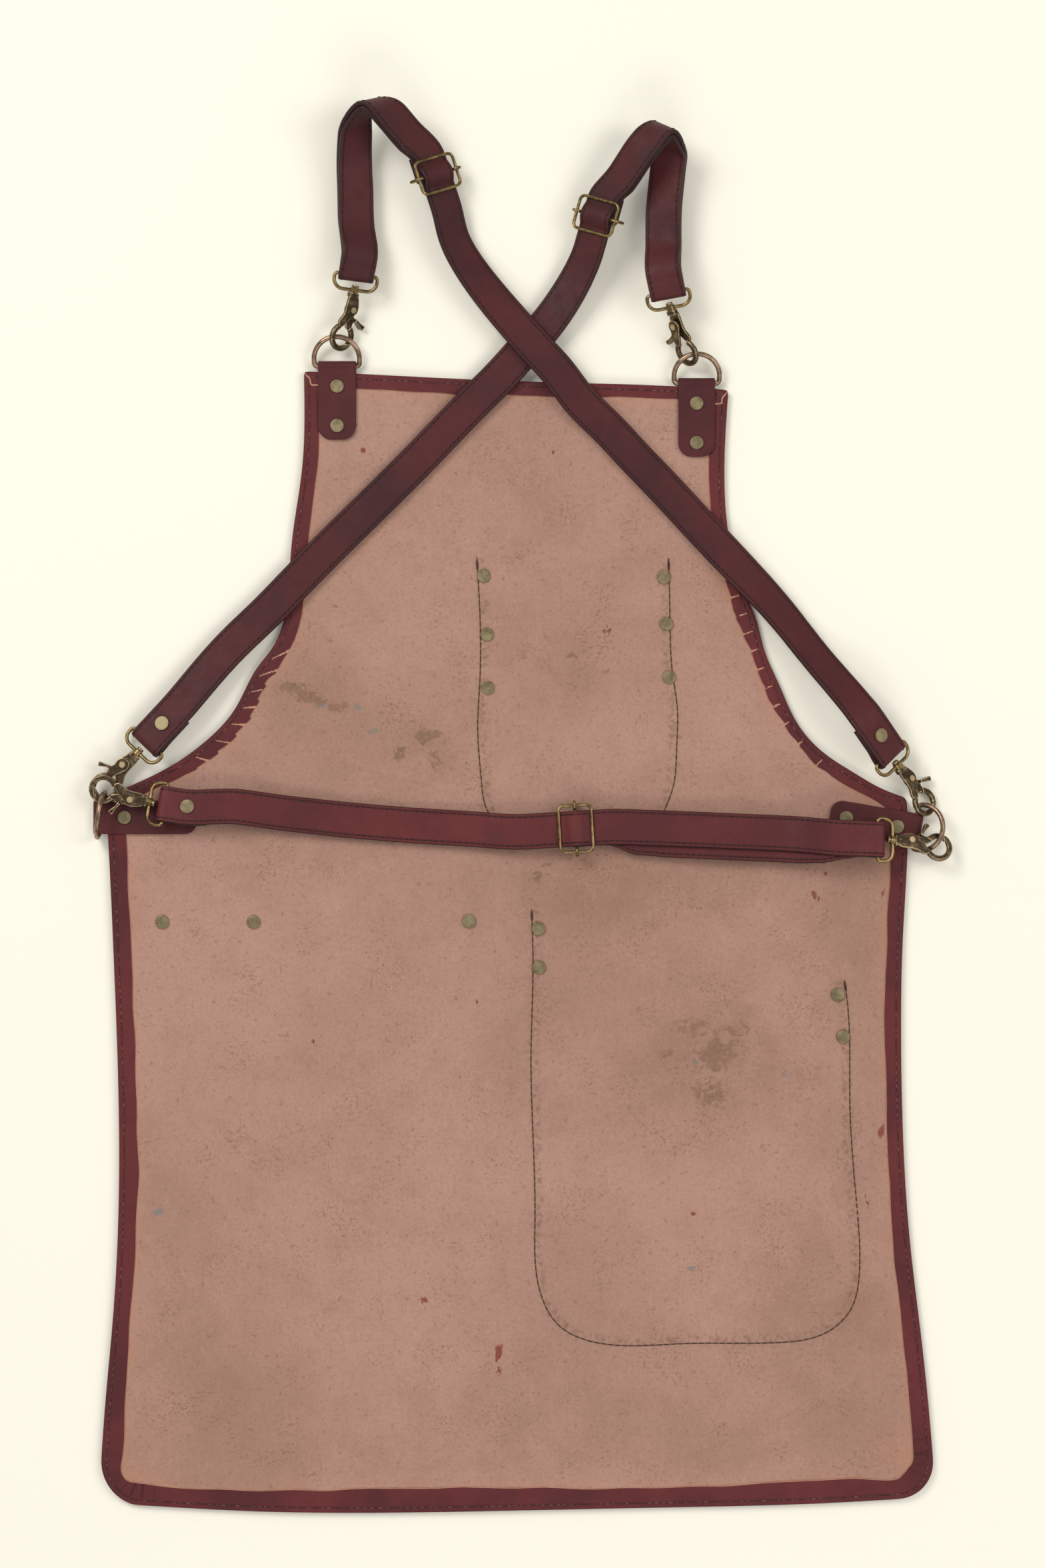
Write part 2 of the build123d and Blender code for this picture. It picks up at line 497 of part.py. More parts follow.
SHOULDER_RIGHT = [
    ((59.796, 435.917, 21.048), (0.79641, -0.31233, 0.51785), (0.27126, 0.94983, 0.15569)),
    ((61.26, 441.039, 21.888), (0.79631, -0.31233, 0.51802), (0.27126, 0.94983, 0.15569)),
    ((73.736, 455.7, 28.398), (0.59602, -0.64612, 0.47675), (0.57986, 0.75705, 0.30106)),
    ((87.924, 476.009, 35.461), (0.65462, -0.60302, 0.45589), (0.59935, 0.78154, 0.17315)),
    ((93.776, 483.018, 36.275), (0.6642, -0.56684, 0.48737), (0.65471, 0.75577, -0.01323)),
    ((98.308, 487.133, 36.074), (0.60911, -0.49638, 0.61854), (0.7233, 0.66759, -0.17652)),
    ((100.323, 488.493, 35.691), (0.57598, -0.45451, 0.67945), (0.78581, 0.5369, -0.30699)),
    ((101.374, 488.992, 35.361), (0.56045, -0.42962, 0.70804), (0.82343, 0.38053, -0.4209)),
    ((102.014, 489.164, 35.093), (0.55199, -0.41132, 0.72535), (0.83019, 0.18969, -0.52421)),
    ((103.346, 488.873, 34.129), (0.554, -0.38054, 0.74045), (0.64577, -0.36489, -0.6707)),
    ((104.274, 488.137, 33.059), (0.5641, -0.38443, 0.73076), (0.5151, -0.52785, -0.67531)),
    ((105.512, 486.407, 31.145), (0.58292, -0.40487, 0.70447), (0.34989, -0.65743, -0.66736)),
    ((106.477, 484.017, 29.035), (0.63322, -0.43257, 0.64181), (0.17013, -0.73117, -0.66064)),
    ((107.135, 480.907, 26.932), (0.74451, -0.41496, 0.52299), (-0.01053, -0.79057, -0.61228)),
    ((107.506, 477.771, 25.259), (0.86108, -0.34548, 0.37307), (-0.10701, -0.84042, -0.53127)),
    ((107.521, 473.157, 23.171), (0.94451, -0.2216, 0.24248), (-0.11729, -0.91703, -0.38118)),
    ((106.478, 465.881, 20.948), (0.92885, -0.1529, 0.33743), (-0.09161, -0.97736, -0.1907)),
    ((103.96, 441.583, 19.55), (0.92992, -0.08704, 0.35732), (-0.09325, -0.99564, 0.00014)),
    ((103.503, 415.74, 19.482), (0.97693, 0.01491, 0.21303), (-0.00673, -0.99492, 0.10045)),
    ((103.522, 414.985, 19.571), (0.97836, 0.01722, 0.20617), (-0.00748, -0.99294, 0.11838)),
    ((103.522, 409.287, 21.097), (0.98561, 0.02805, 0.16669), (-0.0221, -0.95629, 0.2916)),
    ((103.484, 408.15, 21.596), (0.98615, 0.02955, 0.16322), (-0.02701, -0.94227, 0.33376)),
    ((102.97, 401.902, 25.141), (0.98074, 0.05973, 0.18594), (-0.04258, -0.86376, 0.5021)),
    ((102.679, 398.442, 27.065), (0.97391, 0.0883, 0.20907), (-0.02114, -0.88191, 0.47095)),
    ((102.648, 393.532, 29.181), (0.97016, 0.11035, 0.21588), (0.04238, -0.95389, 0.29715)),
    ((102.914, 390.489, 29.855), (0.97197, 0.11894, 0.20279), (0.09672, -0.9885, 0.1162)),
    ((103.353, 387.662, 29.919), (0.974, 0.13224, 0.18395), (0.15021, -0.98479, -0.08738)),
    ((103.874, 385.244, 29.482), (0.97428, 0.1506, 0.16763), (0.19246, -0.94305, -0.27133)),
    ((104.535, 382.318, 29.065), (0.97706, 0.15846, 0.14229), (0.19246, -0.94305, -0.27133)),
    ((105.078, 379.784, 29.045), (0.97885, 0.16493, 0.12106), (0.19246, -0.94305, -0.27133)),
    ((105.652, 377.264, 28.996), (0.98015, 0.17133, 0.09977), (0.19246, -0.94305, -0.27133)),
    ((106.264, 374.851, 28.605), (0.98097, 0.17763, 0.07845), (0.19246, -0.94305, -0.27133)),
    ((106.639, 373.452, 28.204), (0.98122, 0.18136, 0.06565), (0.19246, -0.94305, -0.27133)),
    ((106.858, 372.443, 27.707), (0.98122, 0.18136, 0.06565), (0.1852, -0.7908, -0.58339)),
    ((107.057, 371.667, 26.887), (0.98122, 0.18136, 0.06565), (0.1556, -0.54317, -0.82508)),
    ((107.21, 371.217, 25.844), (0.98122, 0.18136, 0.06565), (0.10723, -0.23002, -0.96726)),
    ((107.299, 371.147, 24.704), (0.98122, 0.18136, 0.06565), (0.04593, 0.11087, -0.99277)),
    ((107.313, 371.467, 23.603), (0.98122, 0.18136, 0.06565), (-0.02091, 0.43839, -0.89854)),
    ((107.252, 372.137, 22.675), (0.98122, 0.18136, 0.06565), (-0.08523, 0.71303, -0.69593)),
    ((107.121, 373.077, 22.032), (0.98122, 0.18136, 0.06565), (-0.13927, 0.90167, -0.40939)),
    ((106.937, 374.172, 21.751), (0.98122, 0.18136, 0.06565), (-0.17651, 0.98155, -0.07346)),
    ((106.722, 375.292, 21.866), (0.98122, 0.18136, 0.06565), (-0.19246, 0.94305, 0.27133)),
    ((104.413, 386.609, 25.122), (0.97428, 0.1506, 0.16763), (-0.19246, 0.94305, 0.27133)),
    ((104.133, 388.18, 25.415), (0.974, 0.13224, 0.18395), (-0.15021, 0.98479, 0.08738)),
    ((103.899, 390.06, 25.382), (0.97197, 0.11894, 0.20279), (-0.09672, 0.9885, -0.1162)),
    ((103.746, 392.248, 24.903), (0.97016, 0.11035, 0.21588), (-0.04238, 0.95389, -0.29715)),
    ((103.718, 396.312, 23.123), (0.97391, 0.0883, 0.20907), (0.02114, 0.88191, -0.47095)),
    ((104.198, 408.113, 17.299), (0.98561, 0.02805, 0.16669), (0.0221, 0.95629, -0.2916)),
    ((104.293, 415.371, 15.886), (0.97693, 0.01491, 0.21303), (0.00673, 0.99492, -0.10045)),
    ((105.276, 441.459, 16.094), (0.92992, -0.08704, 0.35732), (0.09325, 0.99564, -0.00014)),
    ((107.806, 466.422, 17.537), (0.92885, -0.1529, 0.33743), (0.09161, 0.97736, 0.1907)),
    ((108.656, 474.383, 19.87), (0.94451, -0.2216, 0.24248), (0.11729, 0.91703, 0.38118)),
    ((109.345, 479.316, 22.444), (0.86108, -0.34548, 0.37307), (0.10701, 0.84042, 0.53127)),
    ((109.605, 482.573, 24.738), (0.74451, -0.41496, 0.52299), (0.01053, 0.79057, 0.61228)),
    ((109.271, 485.969, 27.595), (0.63322, -0.43257, 0.64181), (-0.17013, 0.73117, 0.66064)),
    ((108.225, 488.758, 30.251), (0.58292, -0.40487, 0.70447), (-0.34989, 0.65743, 0.66736)),
    ((106.662, 490.939, 32.69), (0.5641, -0.38443, 0.73076), (-0.5151, 0.52785, 0.67531)),
    ((105.29, 492.017, 34.29), (0.554, -0.38054, 0.74045), (-0.64577, 0.36489, 0.6707)),
    ((104.199, 492.461, 35.33), (0.54833, -0.38704, 0.74131), (-0.7407, 0.18672, 0.64536)),
    ((103.271, 492.577, 36.079), (0.54809, -0.39804, 0.73563), (-0.80191, -4e-05, 0.59745)),
    ((102.302, 492.462, 36.744), (0.55199, -0.41132, 0.72535), (-0.83019, -0.18969, 0.52421)),
    ((101.046, 492.022, 37.459), (0.56045, -0.42962, 0.70804), (-0.82343, -0.38053, 0.4209)),
    ((99.49, 491.122, 38.157), (0.57598, -0.45451, 0.67945), (-0.78581, -0.5369, 0.30699)),
    ((97.104, 489.186, 38.907), (0.60911, -0.49638, 0.61854), (-0.7233, -0.66759, 0.17652)),
    ((92.441, 484.231, 39.505), (0.6642, -0.56684, 0.48737), (-0.65471, -0.75577, 0.01323)),
    ((86.219, 476.6, 38.691), (0.65462, -0.60302, 0.45589), (-0.59935, -0.78154, -0.17315)),
    ((71.681, 456.059, 31.453), (0.59602, -0.64612, 0.47675), (-0.57986, -0.75705, -0.30106)),
    ((59.259, 441.1, 25.0), (0.79631, -0.31233, 0.51802), (-0.27126, -0.94983, -0.15569)),
    ((49.677, 407.546, 19.5), (0.79701, -0.31235, 0.51692), (-0.27126, -0.94983, -0.15569)),
    ((43.703, 392.494, 15.474), (0.76832, -0.47876, 0.42483), (-0.42384, -0.8779, -0.22282)),
    ((31.456, 370.922, 12.023), (0.80077, -0.54575, 0.24682), (-0.54118, -0.83582, -0.09231)),
    ((16.71, 350.773, 10.101), (0.76287, -0.64123, 0.08279), (-0.63955, -0.76719, -0.0489)),
    ((-0.699, 331.426, 9.558), (0.74577, -0.6662, 0.00127), (-0.66613, -0.74572, -0.01312)),
    ((-18.299, 312.263, 8.994), (0.70996, -0.70424, 4e-05), (-0.70392, -0.70964, -0.03016)),
    ((-36.849, 294.0, 8.275), (0.70806, -0.70615, 0.00013), (-0.70602, -0.70794, -0.01897)),
    ((-54.991, 275.329, 8.013), (0.7227, -0.69116, 0.0001), (-0.69115, -0.7227, -0.00321)),
    ((-73.028, 256.553, 8.002), (0.71626, -0.69784, -1e-05), (-0.69784, -0.71626, 0.00041)),
    ((-91.352, 238.06, 8.004), (0.70536, -0.70885, 0.0), (-0.70884, -0.70536, -0.00013)),
    ((-109.887, 219.775, 8.0), (0.70019, -0.71395, -0.0), (-0.71395, -0.70019, -8e-05)),
    ((-128.476, 201.543, 8.022), (0.7014, -0.71277, 0.0), (-0.71277, -0.7014, 0.00254)),
    ((-146.942, 183.194, 8.171), (0.70944, -0.70476, 5e-05), (-0.70473, -0.70941, 0.00957)),
    ((-165.133, 164.573, 8.528), (0.72112, -0.69268, 0.01346), (-0.69281, -0.72092, 0.01705)),
    ((-183.188, 145.819, 9.057), (0.71032, -0.70247, 0.04456), (-0.70375, -0.71, 0.02543)),
    ((-201.94, 127.782, 9.906), (0.69047, -0.7175, 0.09192), (-0.72246, -0.69035, 0.03821)),
    ((-220.08, 109.149, 11.057), (0.74136, -0.65625, 0.14044), (-0.66784, -0.74204, 0.05795)),
    ((-236.868, 89.322, 13.188), (0.7719, -0.61154, 0.17374), (-0.63096, -0.77038, 0.09163)),
    ((-253.688, 69.528, 14.748), (0.72374, -0.65896, 0.20485), (-0.67425, -0.73847, 0.00666)),
    ((-255.727, 67.324, 14.741), (0.71241, -0.67075, 0.20629), (-0.6837, -0.72968, -0.01143)),
    ((-272.819, 49.082, 14.456), (0.71216, -0.67054, 0.20789), (-0.6837, -0.72968, -0.01143)),
    ((-273.559, 48.232, 14.248), (0.71216, -0.67054, 0.20789), (-0.58796, -0.7315, -0.34526)),
    ((-274.146, 47.431, 13.676), (0.71216, -0.67054, 0.20789), (-0.42131, -0.64509, -0.63746)),
    ((-274.51, 46.776, 12.809), (0.71216, -0.67054, 0.20789), (-0.20385, -0.48088, -0.85276)),
    ((-274.607, 46.345, 11.751), (0.71216, -0.67054, 0.20789), (0.03821, -0.25866, -0.96521)),
    ((-274.424, 46.192, 10.63), (0.71216, -0.67054, 0.20789), (0.27565, -0.00525, -0.96124)),
    ((-273.984, 46.334, 9.582), (0.71216, -0.67054, 0.20789), (0.47985, 0.2488, -0.84133)),
    ((-273.341, 46.753, 8.731), (0.71216, -0.67054, 0.20789), (0.62617, 0.47284, -0.61995)),
    ((-272.571, 47.401, 8.182), (0.71216, -0.67054, 0.20789), (0.69697, 0.63984, -0.32379)),
    ((-271.767, 48.198, 8.0), (0.71216, -0.67054, 0.20789), (0.6837, 0.72968, 0.01143)),
    ((-270.742, 49.293, 8.017), (0.71217, -0.67055, 0.20779), (0.6837, 0.72968, 0.01143)),
    ((-269.079, 51.156, 8.326), (0.7122, -0.67057, 0.20763), (0.6837, 0.72968, 0.01143)),
    ((-267.473, 53.067, 8.982), (0.71222, -0.67059, 0.20747), (0.6837, 0.72968, 0.01143)),
    ((-265.872, 54.982, 9.671), (0.71225, -0.67061, 0.20731), (0.6837, 0.72968, 0.01143)),
    ((-263.884, 57.224, 10.093), (0.71228, -0.67064, 0.20712), (0.6837, 0.72968, 0.01143)),
    ((-258.417, 63.063, 10.184), (0.71236, -0.67071, 0.20661), (0.6837, 0.72968, 0.01143)),
    ((-251.705, 70.324, 10.221), (0.73061, -0.6518, 0.20338), (0.66836, 0.74362, -0.01776)),
]
WAIST = [
    ((-230.219, -0.229, 13.792), (-0.05665, 0.9858, -0.15806), (-0.99572, -0.04421, 0.08113)),
    ((-240.065, -0.392, 14.408), (0.02372, 0.98539, -0.16864), (-0.99873, 0.03087, 0.0399)),
    ((-247.918, 0.283, 14.552), (0.15, 0.97344, -0.17297), (-0.98847, 0.1513, -0.00572)),
    ((-250.891, 0.668, 14.145), (0.14999, 0.97341, -0.17314), (-0.98847, 0.1513, -0.00572)),
    ((-253.376, 0.929, 13.466), (0.14999, 0.97338, -0.17328), (-0.98847, 0.1513, -0.00572)),
    ((-255.861, 1.196, 12.819), (0.14999, 0.97336, -0.17342), (-0.98847, 0.1513, -0.00572)),
    ((-258.338, 1.524, 12.523), (0.14998, 0.97334, -0.17356), (-0.98847, 0.1513, -0.00572)),
    ((-259.821, 1.75, 12.514), (0.14998, 0.97332, -0.17364), (-0.98847, 0.1513, -0.00572)),
    ((-260.933, 1.955, 12.704), (0.14998, 0.97332, -0.17364), (-0.92178, 0.20117, 0.33145)),
    ((-261.902, 2.204, 13.263), (0.14998, 0.97332, -0.17364), (-0.7439, 0.22678, 0.62863)),
    ((-262.612, 2.467, 14.123), (0.14998, 0.97332, -0.17364), (-0.4763, 0.22504, 0.85)),
    ((-262.977, 2.712, 15.181), (0.14998, 0.97332, -0.17364), (-0.15126, 0.19615, 0.96884)),
    ((-262.953, 2.91, 16.31), (0.14998, 0.97332, -0.17364), (0.19204, 0.14361, 0.97082)),
    ((-262.544, 3.037, 17.373), (0.14998, 0.97332, -0.17364), (0.51217, 0.07374, 0.85571)),
    ((-261.797, 3.077, 18.242), (0.14998, 0.97332, -0.17364), (0.77052, -0.00502, 0.63739)),
    ((-260.804, 3.025, 18.812), (0.14998, 0.97332, -0.17364), (0.93594, -0.08317, 0.34219)),
    ((-259.684, 2.889, 19.014), (0.14998, 0.97332, -0.17364), (0.98847, -0.1513, 0.00572)),
    ((-247.823, 1.073, 19.083), (0.15, 0.97344, -0.17297), (0.98847, -0.1513, 0.00572)),
    ((-233.523, 0.383, 18.592), (-0.03733, 0.98609, -0.16198), (0.99733, 0.02657, -0.06808)),
    ((-207.518, 0.82, 15.959), (0.05653, 0.98694, -0.15083), (0.99045, -0.07446, -0.116)),
    ((-181.825, -2.682, 13.123), (0.12886, 0.9844, -0.11977), (0.98561, -0.14046, -0.09407)),
    ((-156.029, -5.853, 11.167), (0.10504, 0.9906, -0.08757), (0.99231, -0.1102, -0.05628)),
    ((-130.132, -8.591, 10.1), (0.09702, 0.9925, -0.07444), (0.99464, -0.09937, -0.02848)),
    ((-104.174, -11.006, 9.53), (0.08382, 0.99403, -0.06991), (0.9962, -0.08525, -0.0177)),
    ((-78.18, -13.009, 9.296), (0.06799, 0.99525, -0.0697), (0.99769, -0.06785, 0.00438)),
    ((-52.186, -14.566, 9.977), (0.06, 0.99579, -0.06923), (0.99714, -0.0566, 0.05015)),
    ((-26.224, -16.314, 11.982), (0.08864, 0.99396, -0.06475), (0.99134, -0.08171, 0.1028)),
    ((-0.273, -17.604, 14.276), (-0.01843, 0.99824, -0.05634), (0.99889, 0.02082, 0.0422)),
    ((4.061, -17.431, 14.4), (-0.05906, 0.99678, -0.05418), (0.99811, 0.05991, 0.01404)),
    ((60.939, -14.017, 15.2), (-0.05906, 0.99678, -0.05426), (0.99811, 0.05991, 0.01404)),
    ((86.995, -14.274, 14.995), (0.03919, 0.99543, -0.08705), (0.99901, -0.04085, -0.01742)),
    ((113.058, -15.246, 14.77), (0.03681, 0.99435, -0.09957), (0.99932, -0.03635, 0.00648)),
    ((139.353, -16.305, 15.569), (0.0488, 0.9927, -0.11031), (0.99803, -0.04411, 0.04453)),
    ((165.437, -17.451, 15.966), (0.03668, 0.99181, -0.12231), (0.99849, -0.04138, -0.03604)),
    ((191.67, -18.607, 15.792), (0.06605, 0.99134, -0.11352), (0.99192, -0.05288, 0.11528)),
    ((201.133, -19.178, 17.8), (0.09526, 0.99189, -0.08408), (0.94917, -0.06506, 0.30798)),
    ((224.586, -21.064, 28.833), (0.08207, 0.99634, -0.02386), (0.94328, -0.06993, 0.32454)),
    ((229.634, -21.407, 30.072), (0.06153, 0.9981, -0.00418), (0.98904, -0.06041, 0.1347)),
    ((233.486, -21.619, 30.225), (0.04686, 0.99861, -0.02423), (0.99693, -0.04828, -0.06169)),
    ((235.766, -21.72, 29.937), (0.03112, 0.99845, -0.0461), (0.98127, -0.03929, -0.18858)),
    ((260.298, -22.702, 25.223), (0.01387, 0.99085, -0.13428), (0.98127, -0.03929, -0.18858)),
    ((261.367, -22.772, 24.816), (0.01387, 0.99085, -0.13428), (0.85638, -0.08109, -0.50993)),
    ((262.231, -22.885, 24.072), (0.01387, 0.99085, -0.13428), (0.6282, -0.11311, -0.76978)),
    ((262.786, -23.027, 23.079), (0.01387, 0.99085, -0.13428), (0.32425, -0.13149, -0.93679)),
    ((262.963, -23.182, 21.957), (0.01387, 0.99085, -0.13428), (-0.01881, -0.13401, -0.9908)),
    ((262.743, -23.33, 20.842), (0.01387, 0.99085, -0.13428), (-0.3596, -0.12036, -0.92531)),
    ((262.151, -23.453, 19.868), (0.01387, 0.99085, -0.13428), (-0.65702, -0.0922, -0.74821)),
    ((261.26, -23.538, 19.153), (0.01387, 0.99085, -0.13428), (-0.87519, -0.05292, -0.48087)),
    ((260.176, -23.573, 18.783), (0.01387, 0.99085, -0.13428), (-0.98781, -0.00725, -0.15552)),
    ((259.03, -23.554, 18.802), (0.01387, 0.99085, -0.13428), (-0.98127, 0.03929, 0.18858)),
    ((257.559, -23.46, 19.08), (0.01491, 0.99153, -0.12902), (-0.98127, 0.03929, 0.18858)),
    ((255.161, -23.27, 19.823), (0.01664, 0.99261, -0.12023), (-0.98127, 0.03929, 0.18858)),
    ((252.832, -23.047, 20.915), (0.01837, 0.9936, -0.11144), (-0.98127, 0.03929, 0.18858)),
    ((250.51, -22.832, 22.04), (0.0201, 0.99452, -0.10263), (-0.98127, 0.03929, 0.18858)),
    ((247.641, -22.713, 22.996), (0.02217, 0.99551, -0.09204), (-0.98127, 0.03929, 0.18858)),
    ((234.824, -24.094, 25.526), (0.03112, 0.99845, -0.0461), (-0.98127, 0.03929, 0.18858)),
    ((234.065, -24.254, 25.631), (0.03878, 0.99859, -0.03632), (-0.9901, 0.0433, 0.13348)),
    ((233.068, -24.475, 25.719), (0.04686, 0.99861, -0.02423), (-0.99693, 0.04828, 0.06169)),
    ((229.989, -25.226, 25.749), (0.06153, 0.9981, -0.00418), (-0.98904, 0.06041, -0.1347)),
    ((227.574, -25.837, 25.546), (0.07111, 0.99742, -0.00968), (-0.9661, 0.06645, -0.24946)),
    ((225.44, -26.345, 25.215), (0.08207, 0.99634, -0.02386), (-0.94328, 0.06993, -0.32454)),
    ((220.294, -27.342, 23.734), (0.11195, 0.99176, -0.06222), (-0.89778, 0.0741, -0.43416)),
    ((201.481, -27.517, 14.966), (0.09526, 0.99189, -0.08408), (-0.94917, 0.06506, -0.30798)),
    ((191.543, -26.982, 13.049), (0.06605, 0.99134, -0.11352), (-0.99192, 0.05288, -0.11528)),
    ((164.992, -25.832, 13.275), (0.03668, 0.99181, -0.12231), (-0.99849, 0.04138, 0.03604)),
    ((139.108, -24.662, 12.778), (0.0488, 0.9927, -0.11031), (-0.99803, 0.04411, -0.04453)),
    ((112.774, -23.57, 11.885), (0.03681, 0.99435, -0.09957), (-0.99932, 0.03635, -0.00648)),
    ((86.642, -21.618, 11.924), (0.03919, 0.99543, -0.08705), (-0.99901, 0.04085, 0.01742)),
    ((61.016, -14.438, 11.518), (-0.05906, 0.99678, -0.05426), (-0.99811, -0.05991, -0.01404)),
    ((46.387, -15.092, 11.3), (-0.05906, 0.99678, -0.05424), (-0.99811, -0.05991, -0.01404)),
]


def vec(*a):
    return Vector(*a)


def tab_rivet_points():
    pts = []
    for (bx, by), (ex, ey), wide, length, extra, dist in TABS.values():
        for d in dist:
            pts.append((bx + ex * d, by + ey * d))
    return pts


ALL_TAB_HOLES = tab_rivet_points()

# ------------------------------------------------------------------ panel
with BuildPart() as apron_panel:
    with BuildSketch(Plane.XY.offset(PANEL_Z)):
        with BuildLine():
            a = Spline(*LEFT_ARMHOLE)
            b = Line(LEFT_ARMHOLE[-1], LEFT_SIDE[0])
            c = Spline(*LEFT_SIDE)
            d = SagittaArc(LEFT_SIDE[-1], BOTTOM_EDGE[0], -7.0)
            e = Spline(*BOTTOM_EDGE)
            f = SagittaArc(BOTTOM_EDGE[-1], RIGHT_SIDE[0], -7.0)
            g = Spline(*RIGHT_SIDE)
            h = Spline(*RIGHT_ARMHOLE)
            i = Spline(*TOP_EDGE)
        make_face()
    extrude(amount=PANEL_T)
    with BuildSketch(Plane.XY.offset(PANEL_Z + PANEL_T)):
        with BuildLine():
            a = Spline(*LEFT_ARMHOLE)
            b = Line(LEFT_ARMHOLE[-1], LEFT_SIDE[0])
            c = Spline(*LEFT_SIDE)
            d = SagittaArc(LEFT_SIDE[-1], BOTTOM_EDGE[0], -7.0)
            e = Spline(*BOTTOM_EDGE)
            f = SagittaArc(BOTTOM_EDGE[-1], RIGHT_SIDE[0], -7.0)
            g = Spline(*RIGHT_SIDE)
            h = Spline(*RIGHT_ARMHOLE)
            i = Spline(*TOP_EDGE)
        make_face()
        with BuildLine():
            a = Spline(*IN_LEFT_ARMHOLE)
            b = Line(IN_LEFT_ARMHOLE[-1], IN_LEFT_SIDE[0])
            c = Spline(*IN_LEFT_SIDE)
            d = Line(IN_LEFT_SIDE[-1], IN_BOTTOM[0])
            e = Spline(*IN_BOTTOM)
            f = Line(IN_BOTTOM[-1], IN_RIGHT_SIDE[0])
            g = Spline(*IN_RIGHT_SIDE)
            h = Line(IN_RIGHT_SIDE[-1], IN_RIGHT_ARMHOLE[0])
            i = Spline(*IN_RIGHT_ARMHOLE)
            j = Spline(*IN_TOP)
        make_face(mode=Mode.SUBTRACT)
    extrude(amount=HEM_T)
    with BuildSketch(Plane.XY.offset(PANEL_Z + PANEL_T)):
        for x, y, ang in SNIPS:
            with Locations(Location((x, y, 0), (0, 0, ang))):
                Rectangle(SNIP_L, SNIP_W)
    extrude(amount=HEM_T, mode=Mode.SUBTRACT)
    with BuildSketch(Plane.XY):
        with Locations(*ALL_TAB_HOLES, *CHEST_HOLES, *LOWER_HOLES, *LOOP_HOLES):
            Circle(HOLE_R)
    extrude(amount=12, mode=Mode.SUBTRACT)
apron_panel.part.label = "apron_panel"
export_step(apron_panel.part, "parts/apron_panel.step")

# ------------------------------------------------------------------ front pieces
with BuildPart() as chest_pocket:
    with BuildSketch(Plane.XY.offset(PATCH_Z)):
        with BuildLine():
            Spline(*CHEST_OUTLINE)
            Line(CHEST_OUTLINE[-1], CHEST_OUTLINE[0])
        make_face()
        with Locations(*CHEST_HOLES):
            Circle(HOLE_R, mode=Mode.SUBTRACT)
    extrude(amount=PATCH_T)
chest_pocket.part.label = "chest_pocket"
export_step(chest_pocket.part, "parts/chest_pocket.step")

with BuildPart() as lower_pocket:
    with BuildSketch(Plane.XY.offset(PATCH_Z)):
        with BuildLine():
            Spline(*LOWER_OUTLINE)
            Line(LOWER_OUTLINE[-1], LOWER_OUTLINE[0])
        make_face()
        with Locations(*LOWER_HOLES):
            Circle(HOLE_R, mode=Mode.SUBTRACT)
    extrude(amount=PATCH_T)
lower_pocket.part.label = "lower_pocket"
export_step(lower_pocket.part, "parts/lower_pocket.step")

with BuildPart() as tool_loop:
    with BuildSketch(Plane.XY.offset(PATCH_Z)):
        with Locations(LOOP_CENTRE):
            RectangleRounded(LOOP_LEN, LOOP_WIDE, 6.0)
        with Locations(*LOOP_HOLES):
            Circle(HOLE_R, mode=Mode.SUBTRACT)
    extrude(amount=PATCH_T)
tool_loop.part.label = "tool_loop"
export_step(tool_loop.part, "parts/tool_loop.step")

# ------------------------------------------------------------------ D-ring tabs
for name, ((bx, by), (ex, ey), wide, length, extra, dist) in TABS.items():
    side = Plane(origin=(bx, by, 0), x_dir=(ex, ey, 0), z_dir=(ey, -ex, 0))
    flat = Plane(origin=(bx, by, -1), x_dir=(ex, ey, 0), z_dir=(0, 0, 1))
    with BuildPart() as tab:
        with BuildSketch(side):
            with Locations((-extra, EYE_Z), (extra, EYE_Z)):
                Circle(EYE_OUT_R)
            if extra > 0:
                with Locations((0, EYE_Z)):
                    Rectangle(2 * extra, 2 * EYE_OUT_R)
            with Locations((length / 2, PANEL_Z - PATCH_T / 2), (length / 2, PANEL_Z + PANEL_T + HEM_T + PATCH_T / 2)):
                Rectangle(length, PATCH_T)
            with Locations((-extra, EYE_Z), (extra, EYE_Z)):
                Circle(EYE_BORE_R, mode=Mode.SUBTRACT)
            if extra > 0:
                with Locations((0, EYE_Z)):
                    Rectangle(2 * extra, 2 * EYE_BORE_R, mode=Mode.SUBTRACT)
            with Locations((length / 2, EYE_Z)):
                Rectangle(length, PANEL_T + HEM_T, mode=Mode.SUBTRACT)
        extrude(amount=wide / 2, both=True)
        with BuildSketch(flat):
            with Locations((length / 2 - 5, 0)):
                Rectangle(length + 10, wide)
            r = wide * 0.36
            with Locations((length, wide / 2), (length, -wide / 2)):
                Rectangle(2 * r, 2 * r, mode=Mode.SUBTRACT)
            with Locations((length - r, wide / 2 - r), (length - r, r - wide / 2)):
                Circle(r)
        extrude(amount=12, mode=Mode.INTERSECT)
        with BuildSketch(flat):
            with Locations(*[(d, 0) for d in dist]):
                Circle(HOLE_R)
        extrude(amount=12, mode=Mode.SUBTRACT)
    if name.startswith("bib"):
        label = "bib_tab_" + name[4:]
    else:
        label = "waist_tab_" + name[6:]
    tab.part.label = label
    export_step(tab.part, "parts/" + label + ".step")

# ------------------------------------------------------------------ flat rivets
def rivet_heights(top):
    return top, top + BACK_CAP_T


